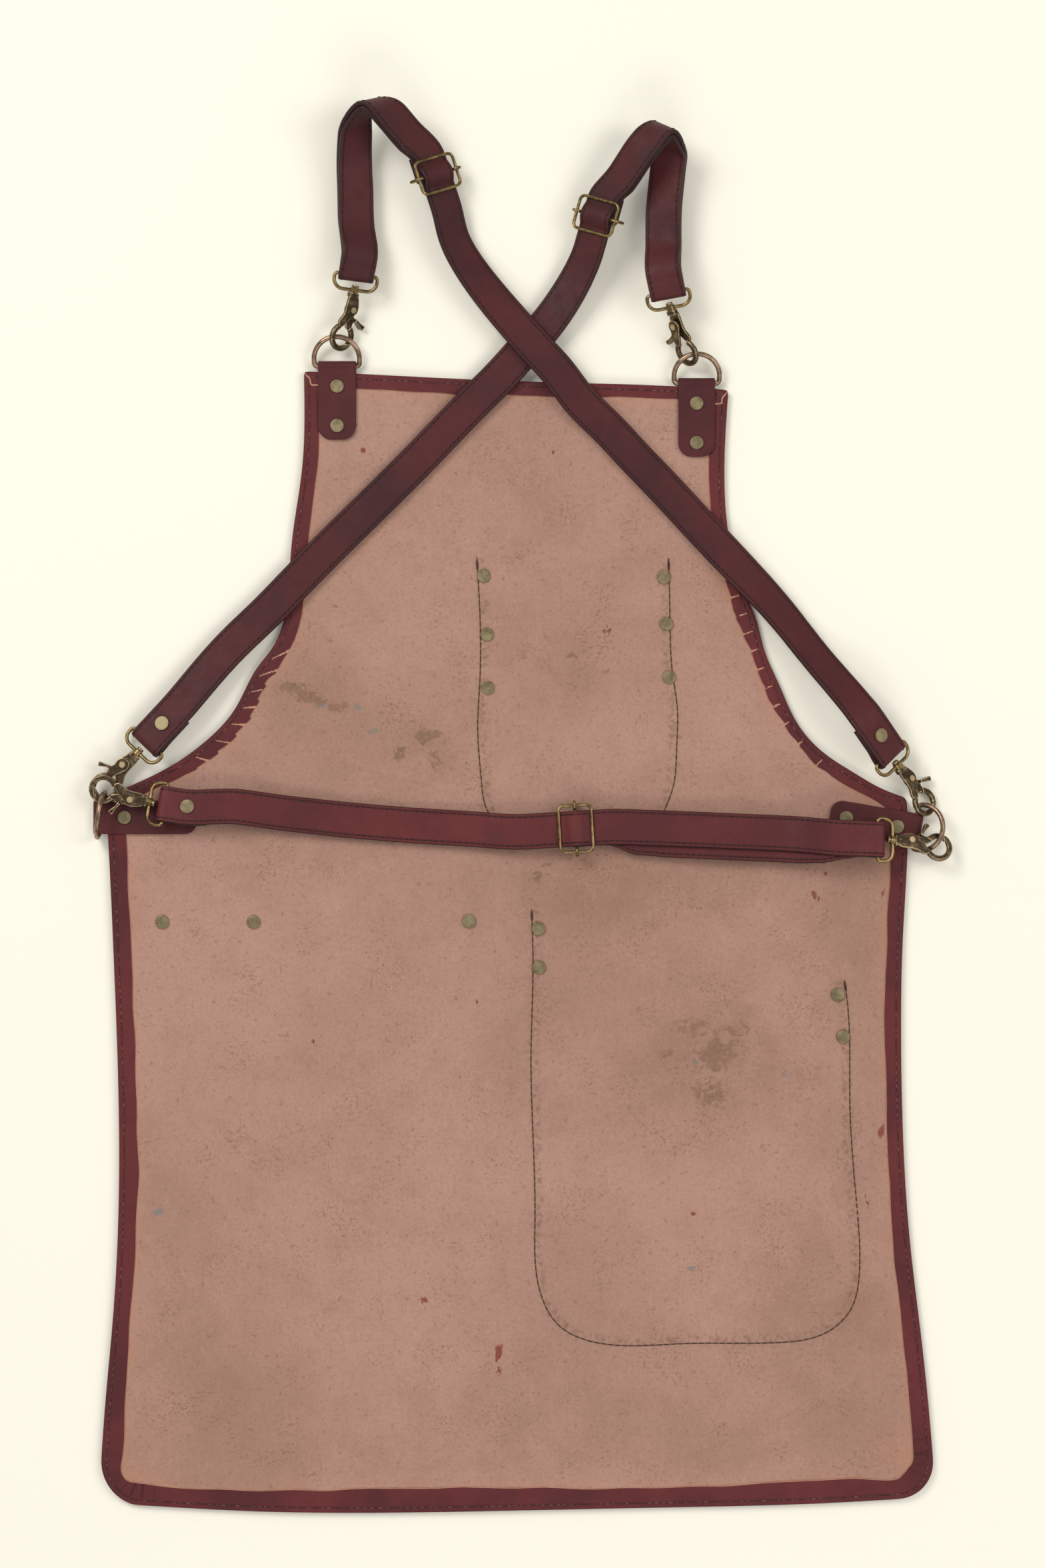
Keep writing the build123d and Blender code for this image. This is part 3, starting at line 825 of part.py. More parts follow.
with BuildPart() as tab_rivets:
    with BuildSketch(Plane.XY):
        with Locations(*ALL_TAB_HOLES):
            Circle(CAP_R)
    extrude(amount=FRONT_CAP_T)
    with BuildSketch(Plane.XY):
        with Locations(*ALL_TAB_HOLES):
            Circle(POST_R)
    extrude(amount=PANEL_Z + PANEL_T + HEM_T + PATCH_T + 0.6)
    with BuildSketch(Plane.XY.offset(PANEL_Z + PANEL_T + HEM_T + PATCH_T)):
        with Locations(*ALL_TAB_HOLES):
            Circle(CAP_R)
            Circle(HOLE_R, mode=Mode.SUBTRACT)
    extrude(amount=0.7)
    with BuildSketch(Plane.XY.offset(PANEL_Z + PANEL_T + HEM_T + PATCH_T + 0.7)):
        with Locations(*ALL_TAB_HOLES):
            Circle(CAP_R)
    extrude(amount=0.7)
    fillet(tab_rivets.edges().group_by(Axis.Z)[-1], 0.55)
tab_rivets.part.label = "tab_rivets"
export_step(tab_rivets.part, "parts/tab_rivets.step")

for label, pts in (("chest_pocket_rivets", CHEST_HOLES), ("lower_pocket_rivets", LOWER_HOLES), ("tool_loop_rivets", LOOP_HOLES)):
    with BuildPart() as patch_rivets:
        with BuildSketch(Plane.XY):
            with Locations(*pts):
                Circle(CAP_R)
        extrude(amount=FRONT_CAP_T)
        with BuildSketch(Plane.XY):
            with Locations(*pts):
                Circle(POST_R)
        extrude(amount=PANEL_Z + PANEL_T + 0.6)
        with BuildSketch(Plane.XY.offset(PANEL_Z + PANEL_T)):
            with Locations(*pts):
                Circle(CAP_R)
                Circle(HOLE_R, mode=Mode.SUBTRACT)
        extrude(amount=0.7)
        with BuildSketch(Plane.XY.offset(PANEL_Z + PANEL_T + 0.7)):
            with Locations(*pts):
                Circle(CAP_R)
        extrude(amount=0.7)
        fillet(patch_rivets.edges().group_by(Axis.Z)[-1], 0.55)
    patch_rivets.part.label = label
    export_step(patch_rivets.part, "parts/" + label + ".step")

# ------------------------------------------------------------------ D-rings
for name, (c, v, d) in D_RINGS.items():
    pl = Plane(origin=c, x_dir=v, z_dir=vec(*v).cross(vec(*d)))
    with BuildPart() as d_ring:
        with BuildLine(pl) as bow:
            Line((-D_BAR, 0), (D_BAR, 0))
            CenterArc((D_BAR, D_CORNER), D_CORNER, -90, 90)
            Line((D_HALF, D_CORNER), (D_HALF, D_SIDE))
            CenterArc((0, D_SIDE), D_HALF, 0, 180)
            Line((-D_HALF, D_SIDE), (-D_HALF, D_CORNER))
            CenterArc((-D_BAR, D_CORNER), D_CORNER, 180, 90)
        with BuildSketch(Plane(origin=bow.line @ 0, z_dir=bow.line % 0)):
            Circle(D_WIRE_R)
        sweep(path=bow.line)
    d_ring.part.label = "d_ring_" + name
    export_step(d_ring.part, "parts/d_ring_" + name + ".step")

# ------------------------------------------------------------------ swivel loops
for name, (o, w, l) in LOOPS.items():
    pl = Plane(origin=o, x_dir=w, z_dir=vec(*w).cross(vec(*l)))
    ax = HOOKS[name][1]
    with BuildPart() as loop:
        with BuildLine(pl) as oval:
            Line((LOOP_R - LOOP_W / 2, 0), (LOOP_W / 2 - LOOP_R, 0))
            CenterArc((LOOP_W / 2 - LOOP_R, -LOOP_R), LOOP_R, 90, -90)
            Line((LOOP_W / 2, -LOOP_R), (LOOP_W / 2, LOOP_BAR_R - LOOP_H))
            CenterArc((LOOP_W / 2 - LOOP_BAR_R, LOOP_BAR_R - LOOP_H), LOOP_BAR_R, 0, -90)
            Line((LOOP_W / 2 - LOOP_BAR_R, -LOOP_H), (LOOP_BAR_R - LOOP_W / 2, -LOOP_H))
            CenterArc((LOOP_BAR_R - LOOP_W / 2, LOOP_BAR_R - LOOP_H), LOOP_BAR_R, -90, -90)
            Line((-LOOP_W / 2, LOOP_BAR_R - LOOP_H), (-LOOP_W / 2, -LOOP_R))
            CenterArc((LOOP_R - LOOP_W / 2, -LOOP_R), LOOP_R, 180, -90)
        with BuildSketch(Plane(origin=oval.line @ 0, z_dir=oval.line % 0)):
            Circle(LOOP_WIRE_R)
        sweep(path=oval.line)
        with BuildSketch(Plane(origin=o, x_dir=HOOKS[name][2], z_dir=ax)):
            Circle(BOSS_R)
        extrude(amount=BOSS_HALF, both=True)
        with BuildSketch(Plane(origin=o, x_dir=HOOKS[name][2], z_dir=ax)):
            Circle(BOSS_BORE_R)
        extrude(amount=BOSS_HALF + 3, both=True, mode=Mode.SUBTRACT)
    loop.part.label = "swivel_loop_" + name
    export_step(loop.part, "parts/swivel_loop_" + name + ".step")

# ------------------------------------------------------------------ snap hooks
BODY_SHAPE = [(3.5, 0), (4.5, 3.9), (9, 4.7), (15, 4.5), (19.5, 5.3), (22.5, 7.0), (26.0, 7.3), (28.2, 4.7),
              (26.2, 1.9), (23.5, -0.4), (20, -2.6), (17.5, -5.2), (14, -6.8), (10, -6.2), (6.5, -5.0), (4.4, -3.9)]
LEVER_SHAPE = [(9.2, -2), (10.6, 1.6), (14.2, 3.0), (19, 1.6), (24, -0.4), (27.4, -1.9), (29.3, -4.1),
               (27.6, -6.4), (24.5, -7.2), (21.2, -7.6), (17.5, -6.6), (14.2, -7.0), (10.7, -5.5)]

for name, (o, x, y) in HOOKS.items():
    xv, yv, ov = vec(*x), vec(*y), vec(*o)
    zv = xv.cross(yv)
    ring = ov + xv * HOOK_REACH
    hk = Plane(origin=o, x_dir=x, z_dir=zv)
    start_arm = (xv * 0.25882 - yv * 0.96593)     # -75 degrees
    start_gate = (xv * -0.86603 - yv * 0.5)       # -150 degrees
    with BuildPart() as hook_body:
        # ring arm
        with BuildSketch(Plane(origin=ring, x_dir=start_arm, z_dir=start_arm.cross(zv))):
            with Locations((RING_R, 0)):
                RectangleRounded(RING_W, RING_T, 1.3)
        revolve(axis=Axis(ring, zv), revolution_arc=225)
        with BuildSketch(hk.offset(-3)):
            with Locations(PIVOT):
                Circle(GATE_CUT_R + 0.2)
            with Locations((37.5, -9.5)):
                Rectangle(15, 12, mode=Mode.INTERSECT)
        extrude(amount=6, mode=Mode.SUBTRACT)
        # plate
        with BuildSketch(hk.offset(-PLATE_GAP - PLATE_T)):
            with BuildLine():
                Spline(*BODY_SHAPE, periodic=True)
            make_face()
        extrude(amount=PLATE_T)
        # collar, swivel post and its riveted head
        with BuildSketch(Plane(origin=ov + xv * 2.0, x_dir=y, z_dir=x)):
            RectangleRounded(8.4, 5.2, 1.6)
        extrude(amount=3.6)
        with BuildSketch(Plane(origin=ov - xv * 2.4, x_dir=y, z_dir=x)):
            Circle(SWIVEL_R)
        extrude(amount=5.4)
        with BuildSketch(Plane(origin=ov - xv * 3.8, x_dir=y, z_dir=x)):
            Circle(SWIVEL_HEAD_R)
        extrude(amount=1.8)
        with BuildSketch(hk.offset(-5)):
            with Locations(PIVOT):
                Circle(PIN_HOLE_R)
        extrude(amount=10, mode=Mode.SUBTRACT)
    hook_body.part.label = "hook_body_" + name
    export_step(hook_body.part, "parts/hook_body_" + name + ".step")

    with BuildPart() as hook_lever:
        with BuildSketch(Plane(origin=ring, x_dir=start_gate, z_dir=start_gate.cross(zv))):
            with Locations((RING_R, 0)):
                RectangleRounded(RING_W, RING_T, 1.3)
        revolve(axis=Axis(ring, zv), revolution_arc=105)
        with BuildSketch(hk.offset(-6)):
            with Locations(PIVOT):
                Circle(GATE_CUT_R - 0.2)
        extrude(amount=12, mode=Mode.INTERSECT)
        with BuildSketch(hk.offset(PLATE_GAP)):
            with BuildLine():
                Spline(*LEVER_SHAPE, periodic=True)
            make_face()
        extrude(amount=PLATE_T)
        # thumb tab bent down past the body plate
        with BuildSketch(hk.offset(-3.5)):
            with BuildLine():
                Polyline((21.87, -6.08), (23.75, -9.85), (27.2, -14.4), (23.8, -16.2), (22.05, -10.75), (19.93, -7.12), (21.87, -6.08))
            make_face()
        extrude(amount=5.8)
        with BuildSketch(hk.offset(-5)):
            with Locations(PIVOT):
                Circle(PIN_HOLE_R)
        extrude(amount=10, mode=Mode.SUBTRACT)
    hook_lever.part.label = "hook_lever_" + name
    export_step(hook_lever.part, "parts/hook_lever_" + name + ".step")

    with BuildPart() as hook_pivot:
        with BuildSketch(hk.offset(-3.1)):
            with Locations(PIVOT):
                Circle(2.2)
        extrude(amount=0.75)
        with BuildSketch(hk.offset(-3.1)):
            with Locations(PIVOT):
                Circle(PIN_R)
        extrude(amount=6.2)
        with BuildSketch(hk.offset(2.35)):
            with Locations(PIVOT):
                Circle(2.2)
        extrude(amount=0.75)
    hook_pivot.part.label = "hook_pivot_" + name
    export_step(hook_pivot.part, "parts/hook_pivot_" + name + ".step")

    with BuildPart() as hook_spring:
        with BuildSketch(hk.offset(-0.2)):
            with BuildLine():
                Polyline((14.2, -2.8), (20.2, -4.0), (20.5, -2.8), (14.2, -1.2), (14.2, -2.8))
            make_face()
            with Locations(PIVOT):
                Circle(3.4)
                Circle(1.9, mode=Mode.SUBTRACT)
        extrude(amount=0.4)
    hook_spring.part.label = "hook_spring_" + name
    export_step(hook_spring.part, "parts/hook_spring_" + name + ".step")

# ------------------------------------------------------------------ slides
for name, (c, w, t, n) in SLIDES.items():
    cv, wv, tv, nv = vec(*c), vec(*w), vec(*t), vec(*n)
    up = Plane(origin=cv + nv * SLIDE_LIFT, x_dir=w, z_dir=nv)
    cross = Plane(origin=c, x_dir=w, z_dir=wv.cross(nv))
    along = Plane(origin=c, x_dir=-tv, z_dir=(-tv).cross(nv))
    with BuildPart() as slide_frame:
        with BuildLine(up) as rim:
            Line((SLIDE_R - SLIDE_W / 2, SLIDE_L / 2), (SLIDE_W / 2 - SLIDE_R, SLIDE_L / 2))
            CenterArc((SLIDE_W / 2 - SLIDE_R, SLIDE_L / 2 - SLIDE_R), SLIDE_R, 90, -90)
            Line((SLIDE_W / 2, SLIDE_L / 2 - SLIDE_R), (SLIDE_W / 2, SLIDE_R - SLIDE_L / 2))
            CenterArc((SLIDE_W / 2 - SLIDE_R, SLIDE_R - SLIDE_L / 2), SLIDE_R, 0, -90)
            Line((SLIDE_W / 2 - SLIDE_R, -SLIDE_L / 2), (SLIDE_R - SLIDE_W / 2, -SLIDE_L / 2))
            CenterArc((SLIDE_R - SLIDE_W / 2, SLIDE_R - SLIDE_L / 2), SLIDE_R, -90, -90)
            Line((-SLIDE_W / 2, SLIDE_R - SLIDE_L / 2), (-SLIDE_W / 2, SLIDE_L / 2 - SLIDE_R))
            CenterArc((SLIDE_R - SLIDE_W / 2, SLIDE_L / 2 - SLIDE_R), SLIDE_R, 180, -90)
        with BuildSketch(Plane(origin=rim.line @ 0, z_dir=rim.line % 0)):
            Circle(SLIDE_WIRE_R)
        sweep(path=rim.line)
    slide_frame.part.label = "slide_frame_" + name
    export_step(slide_frame.part, "parts/slide_frame_" + name + ".step")

    with BuildPart() as slide_bar:
        with BuildLine(cross) as rod:
            CenterArc((-SLIDE_W / 2, SLIDE_LIFT), 2.5, 0, 180)
            Line((-SLIDE_W / 2 - 2.5, SLIDE_LIFT), (-SLIDE_W / 2 - 2.5, -BAR_DROP + 2.0))
            CenterArc((-SLIDE_W / 2 - 0.5, -BAR_DROP + 2.0), 2.0, 180, 90)
            Line((-SLIDE_W / 2 - 0.5, -BAR_DROP), (SLIDE_W / 2 + 0.5, -BAR_DROP))
            CenterArc((SLIDE_W / 2 + 0.5, -BAR_DROP + 2.0), 2.0, -90, 90)
            Line((SLIDE_W / 2 + 2.5, -BAR_DROP + 2.0), (SLIDE_W / 2 + 2.5, SLIDE_LIFT))
            CenterArc((SLIDE_W / 2, SLIDE_LIFT), 2.5, 0, 180)
        with BuildSketch(Plane(origin=rod.line @ 0, z_dir=rod.line % 0)):
            Circle(SLIDE_WIRE_R)
        sweep(path=rod.line)
    slide_bar.part.label = "slide_bar_" + name
    export_step(slide_bar.part, "parts/slide_bar_" + name + ".step")

    with BuildPart() as strap_end:
        with BuildSketch(along):
            with Locations((0, -BAR_DROP)):
                Circle(END_T + SLIDE_WIRE_R + 0.2)
            with Locations((END_TOP / 2, -BAR_DROP + SLIDE_WIRE_R + 0.2 + END_T / 2)):
                Rectangle(END_TOP, END_T)
            with Locations((END_TAIL / 2, -BAR_DROP - SLIDE_WIRE_R - 0.2 - END_T / 2)):
                Rectangle(END_TAIL, END_T)
            with Locations((0, -BAR_DROP)):
                Circle(SLIDE_WIRE_R + 0.2, mode=Mode.SUBTRACT)
            with Locations((END_TAIL / 2, -BAR_DROP)):
                Rectangle(END_TAIL, 2 * SLIDE_WIRE_R + 0.4, mode=Mode.SUBTRACT)
        extrude(amount=STRAP_W / 2, both=True)
    strap_end.part.label = "strap_end_" + name
    export_step(strap_end.part, "parts/strap_end_" + name + ".step")

# ------------------------------------------------------------------ straps
with BuildPart() as shoulder_strap_left:
    for c, w, t in SHOULDER_LEFT:
        with BuildSketch(Plane(origin=c, x_dir=w, z_dir=t)):
            Rectangle(STRAP_W, STRAP_T)
    loft(ruled=True)
    with BuildSketch(Plane(origin=END_RIVETS["shoulder_left"][0], x_dir=END_RIVETS["shoulder_left"][1], z_dir=END_RIVETS["shoulder_left"][2])):
        Circle(HOLE_R)
    extrude(amount=10, both=True, mode=Mode.SUBTRACT)
shoulder_strap_left.part.label = "shoulder_strap_left"
export_step(shoulder_strap_left.part, "parts/shoulder_strap_left.step")

with BuildPart() as shoulder_strap_right:
    for c, w, t in SHOULDER_RIGHT:
        with BuildSketch(Plane(origin=c, x_dir=w, z_dir=t)):
            Rectangle(STRAP_W, STRAP_T)
    loft(ruled=True)
    with BuildSketch(Plane(origin=END_RIVETS["shoulder_right"][0], x_dir=END_RIVETS["shoulder_right"][1], z_dir=END_RIVETS["shoulder_right"][2])):
        Circle(HOLE_R)
    extrude(amount=10, both=True, mode=Mode.SUBTRACT)
shoulder_strap_right.part.label = "shoulder_strap_right"
export_step(shoulder_strap_right.part, "parts/shoulder_strap_right.step")

with BuildPart() as waist_strap:
    for c, w, t in WAIST:
        with BuildSketch(Plane(origin=c, x_dir=w, z_dir=t)):
            Rectangle(STRAP_W, STRAP_T)
    loft(ruled=True)
    with BuildSketch(Plane(origin=END_RIVETS["waist"][0], x_dir=END_RIVETS["waist"][1], z_dir=END_RIVETS["waist"][2])):
        Circle(HOLE_R)
    extrude(amount=10, both=True, mode=Mode.SUBTRACT)
waist_strap.part.label = "waist_strap"
export_step(waist_strap.part, "parts/waist_strap.step")

# ------------------------------------------------------------------ strap end rivets
with BuildPart() as strap_end_rivets:
    for c, w, n, gap in END_RIVETS.values():
        cv, nv = vec(*c), vec(*n)
        top = STRAP_T / 2 + 0.3
        low = -gap - STRAP_T / 2 - 0.3
        with BuildSketch(Plane(origin=cv + nv * (low - BACK_CAP_T), x_dir=w, z_dir=n)):
            Circle(CAP_R)
        extrude(amount=BACK_CAP_T)
        with BuildSketch(Plane(origin=cv + nv * (low - 0.5), x_dir=w, z_dir=n)):
            Circle(POST_R)
        extrude(amount=top - low + 1.0)
        with BuildSketch(Plane(origin=cv + nv * top, x_dir=w, z_dir=n)):
            Circle(CAP_R)
            Circle(HOLE_R, mode=Mode.SUBTRACT)
        extrude(amount=0.7)
        with BuildSketch(Plane(origin=cv + nv * (top + 0.6), x_dir=w, z_dir=n)):
            Circle(CAP_R)
        extrude(amount=0.6)
        with BuildSketch(Plane(origin=cv + nv * (top + 1.1), x_dir=w, z_dir=n)):
            Circle(CAP_R - 0.8)
        extrude(amount=0.4)
strap_end_rivets.part.label = "strap_end_rivets"
export_step(strap_end_rivets.part, "parts/strap_end_rivets.step")
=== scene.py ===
import bpy, math
import numpy as np
from mathutils import Vector, Matrix
from mathutils.geometry import delaunay_2d_cdt


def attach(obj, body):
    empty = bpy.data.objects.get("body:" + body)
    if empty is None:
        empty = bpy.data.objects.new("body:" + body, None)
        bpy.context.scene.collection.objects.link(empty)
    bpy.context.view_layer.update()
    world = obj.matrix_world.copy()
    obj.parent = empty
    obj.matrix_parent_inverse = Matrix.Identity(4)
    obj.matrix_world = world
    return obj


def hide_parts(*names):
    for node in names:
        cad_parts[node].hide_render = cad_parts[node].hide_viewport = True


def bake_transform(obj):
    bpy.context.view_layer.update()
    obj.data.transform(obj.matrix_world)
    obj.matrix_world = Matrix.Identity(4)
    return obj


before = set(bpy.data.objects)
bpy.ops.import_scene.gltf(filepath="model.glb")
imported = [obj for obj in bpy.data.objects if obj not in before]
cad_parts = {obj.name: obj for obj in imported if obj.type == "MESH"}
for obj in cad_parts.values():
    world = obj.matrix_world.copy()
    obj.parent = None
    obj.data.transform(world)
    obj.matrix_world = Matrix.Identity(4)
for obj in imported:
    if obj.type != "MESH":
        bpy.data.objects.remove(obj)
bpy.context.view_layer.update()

rng = np.random.default_rng(7)

# ------------------------------------------------------------------ data, mm
LEFT_ARMHOLE = [(-159.03, 319.61), (-160.49, 246.85), (-168.31, 189.72), (-183.44, 115.0), (-192.72, 103.28), (-209.32, 72.52), (-222.51, 56.41), (-239.6, 41.76), (-256.2, 30.52), (-284.04, 16.85), (-302.11, 8.55)]
LEFT_SIDE = [(-302.59, -18.31), (-300.15, -67.63), (-298.2, -113.04), (-294.78, -212.17), (-294.78, -294.7), (-299.18, -377.23), (-305.04, -443.15), (-307.48, -477.82)]
BOTTOM_EDGE = [(-283.55, -510.54), (-191.26, -515.42), (-36.95, -515.42), (106.62, -512.49), (228.7, -509.07), (279.0, -506.14)]
RIGHT_SIDE = [(301.95, -478.31), (299.51, -448.52), (293.65, -391.39), (284.86, -316.67), (279.98, -241.96), (278.51, -152.6), (279.49, -101.81), (282.91, -38.33), (283.39, -13.91), (282.42, 7.08)]
RIGHT_ARMHOLE = [(282.42, 7.08), (264.35, 13.92), (243.84, 25.64), (222.84, 39.31), (202.33, 61.78), (188.66, 91.08), (178.41, 115.0), (172.54, 136.98), (163.27, 159.44), (152.03, 200.46), (149.59, 223.9), (152.03, 305.94)]
TOP_EDGE = [(152.03, 305.94), (106.62, 308.87), (48.02, 310.82), (-39.88, 313.75), (-108.24, 317.17), (-159.03, 319.61)]
IN_LEFT_ARMHOLE = [(-147.31, 308.38), (-147.31, 273.22), (-156.1, 186.3), (-171.72, 110.61), (-181.0, 98.4), (-197.6, 67.64), (-211.76, 49.57), (-230.32, 32.97), (-248.88, 21.73), (-278.18, 7.57), (-287.94, -1.71)]
IN_LEFT_SIDE = [(-287.94, -23.68), (-283.55, -145.76), (-281.11, -228.29), (-280.13, -264.91), (-283.55, -344.02), (-288.43, -426.55), (-290.87, -466.1), (-293.8, -485.63)]
IN_BOTTOM = [(-288.92, -493.45), (-257.18, -497.35), (-124.84, -498.33), (48.02, -497.84), (178.41, -494.91), (235.54, -491.49), (275.09, -491.49)]
IN_RIGHT_SIDE = [(288.28, -477.82), (287.3, -469.52), (285.35, -448.52), (281.93, -412.38), (275.58, -346.95), (269.72, -272.24), (266.3, -182.38), (267.28, -92.53), (270.21, -42.73), (269.72, -13.91), (268.74, -1.71)]
IN_RIGHT_ARMHOLE = [(260.93, 3.67), (238.47, 16.36), (217.96, 30.04), (197.45, 54.94), (185.24, 72.03), (168.15, 115.0), (156.43, 142.35), (146.66, 178.0), (138.85, 220.48), (139.83, 298.61)]
IN_TOP = [(139.83, 298.61), (48.02, 300.57), (-39.88, 302.52), (-147.31, 308.38)]
SNIPS = [(155.84, 168.72, 197.9), (160.0, 155.53, 197.9), (165.44, 142.35, 198.8), (169.75, 129.16, 198.8), (173.26, 115.98, 199.3), (178.75, 102.8, 199.3), (184.46, 89.61, 204.2), (190.61, 76.43, 204.2), (196.77, 63.24, 213.4), (208.15, 50.06, 213.4), (221.71, 36.87, 229.0), (-183.97, 108.17, -15.8), (-191.53, 96.45, -31.3), (-197.85, 84.73, -32.4), (-204.18, 73.01, -32.4), (-213.63, 61.29, -44.5), (-225.6, 49.57, -44.5), (-240.49, 37.85, -52.5)]
CHEST_OUTLINE = [(-35.97, 180.44), (-33.53, 132.09), (-34.02, 90.1), (-35.48, 58.85), (-32.55, 17.34), (-29.13, -1.22), (-19.37, -13.91), (4.07, -18.8), (42.16, -19.77), (82.2, -18.8), (101.74, -13.91), (109.55, -1.22), (115.41, 15.39), (117.85, 43.22), (118.34, 73.01), (114.92, 97.91), (112.97, 138.44), (111.99, 180.44)]
LOWER_OUTLINE = [(4.07, -76.42), (5.05, -113.53), (3.58, -182.38), (6.51, -302.02), (9.45, -351.83), (26.54, -383.09), (51.93, -394.81), (118.83, -396.27), (191.59, -395.29), (222.84, -388.95), (244.82, -369.41), (251.65, -341.09), (249.7, -289.82), (244.82, -218.03), (242.38, -137.46), (240.91, -127.2)]
CHEST_HOLES = [(-27.18, 169.7), (-24.74, 126.72), (-24.25, 87.66), (104.67, 168.72), (106.62, 134.54), (108.58, 95.47)]
LOWER_HOLES = [(12.86, -88.63), (13.35, -116.95), (232.12, -136.97), (236.03, -167.74)]
LOOP_HOLES = [(-262.55, -83.74), (-195.65, -83.74), (-37.92, -83.26)]
LOOP_CENTRE, LOOP_LEN, LOOP_WIDE = [(-150.33, -83.81), 238.0, 20.0]
TABS = {'bib_left': ((-134.58, 323.26), (0, -1), 28.0, 54.0, 0.0, (15.0, 43.8)),
    'bib_right': ((128.57, 310.81), (0, -1), 27.0, 54.0, 0.0, (15.0, 43.8)),
    'waist_left': ((-307.17, -7.07), (1, 0), 24.5, 70.0, 2.3, (17.0, 54.0)),
    'waist_right': ((289.2, -16.2), (-0.9856, 0.169), 24.0, 64.0, 0.3, (14.0, 52.0))}
SLIDES = {'shoulder_left': ((-62.098, 460.433, 22.329), (0.78533, 0.33229, -0.52234), (0.31328, -0.94104, -0.12764), (0.53396, 0.0634, 0.84313)),
    'shoulder_right': ((56.088, 429.994, 23.18), (0.79654, -0.31234, 0.51766), (-0.27126, -0.94983, -0.15569), (-0.54032, 0.0164, 0.8413)),
    'waist': ((40.035, -15.272, 14.906), (-0.05906, 0.99678, -0.05423), (-0.99811, -0.05991, -0.01404), (-0.01724, 0.0533, 0.99843))}
END_RIVETS = {'shoulder_left': ((260.076, 52.609, 28.484), (0.69187, 0.63118, -0.35061), (0.44695, 0.00696, 0.89453), 4.6),
    'shoulder_right': ((-261.333, 61.341, 14.648), (0.71233, -0.67068, 0.20681), (-0.15857, 0.13326, 0.97831), 4.6),
    'waist': ((-243.054, 0.543, 19.04), (0.06788, 0.98289, -0.17123), (0.03503, 0.16917, 0.98496), 4.6)}
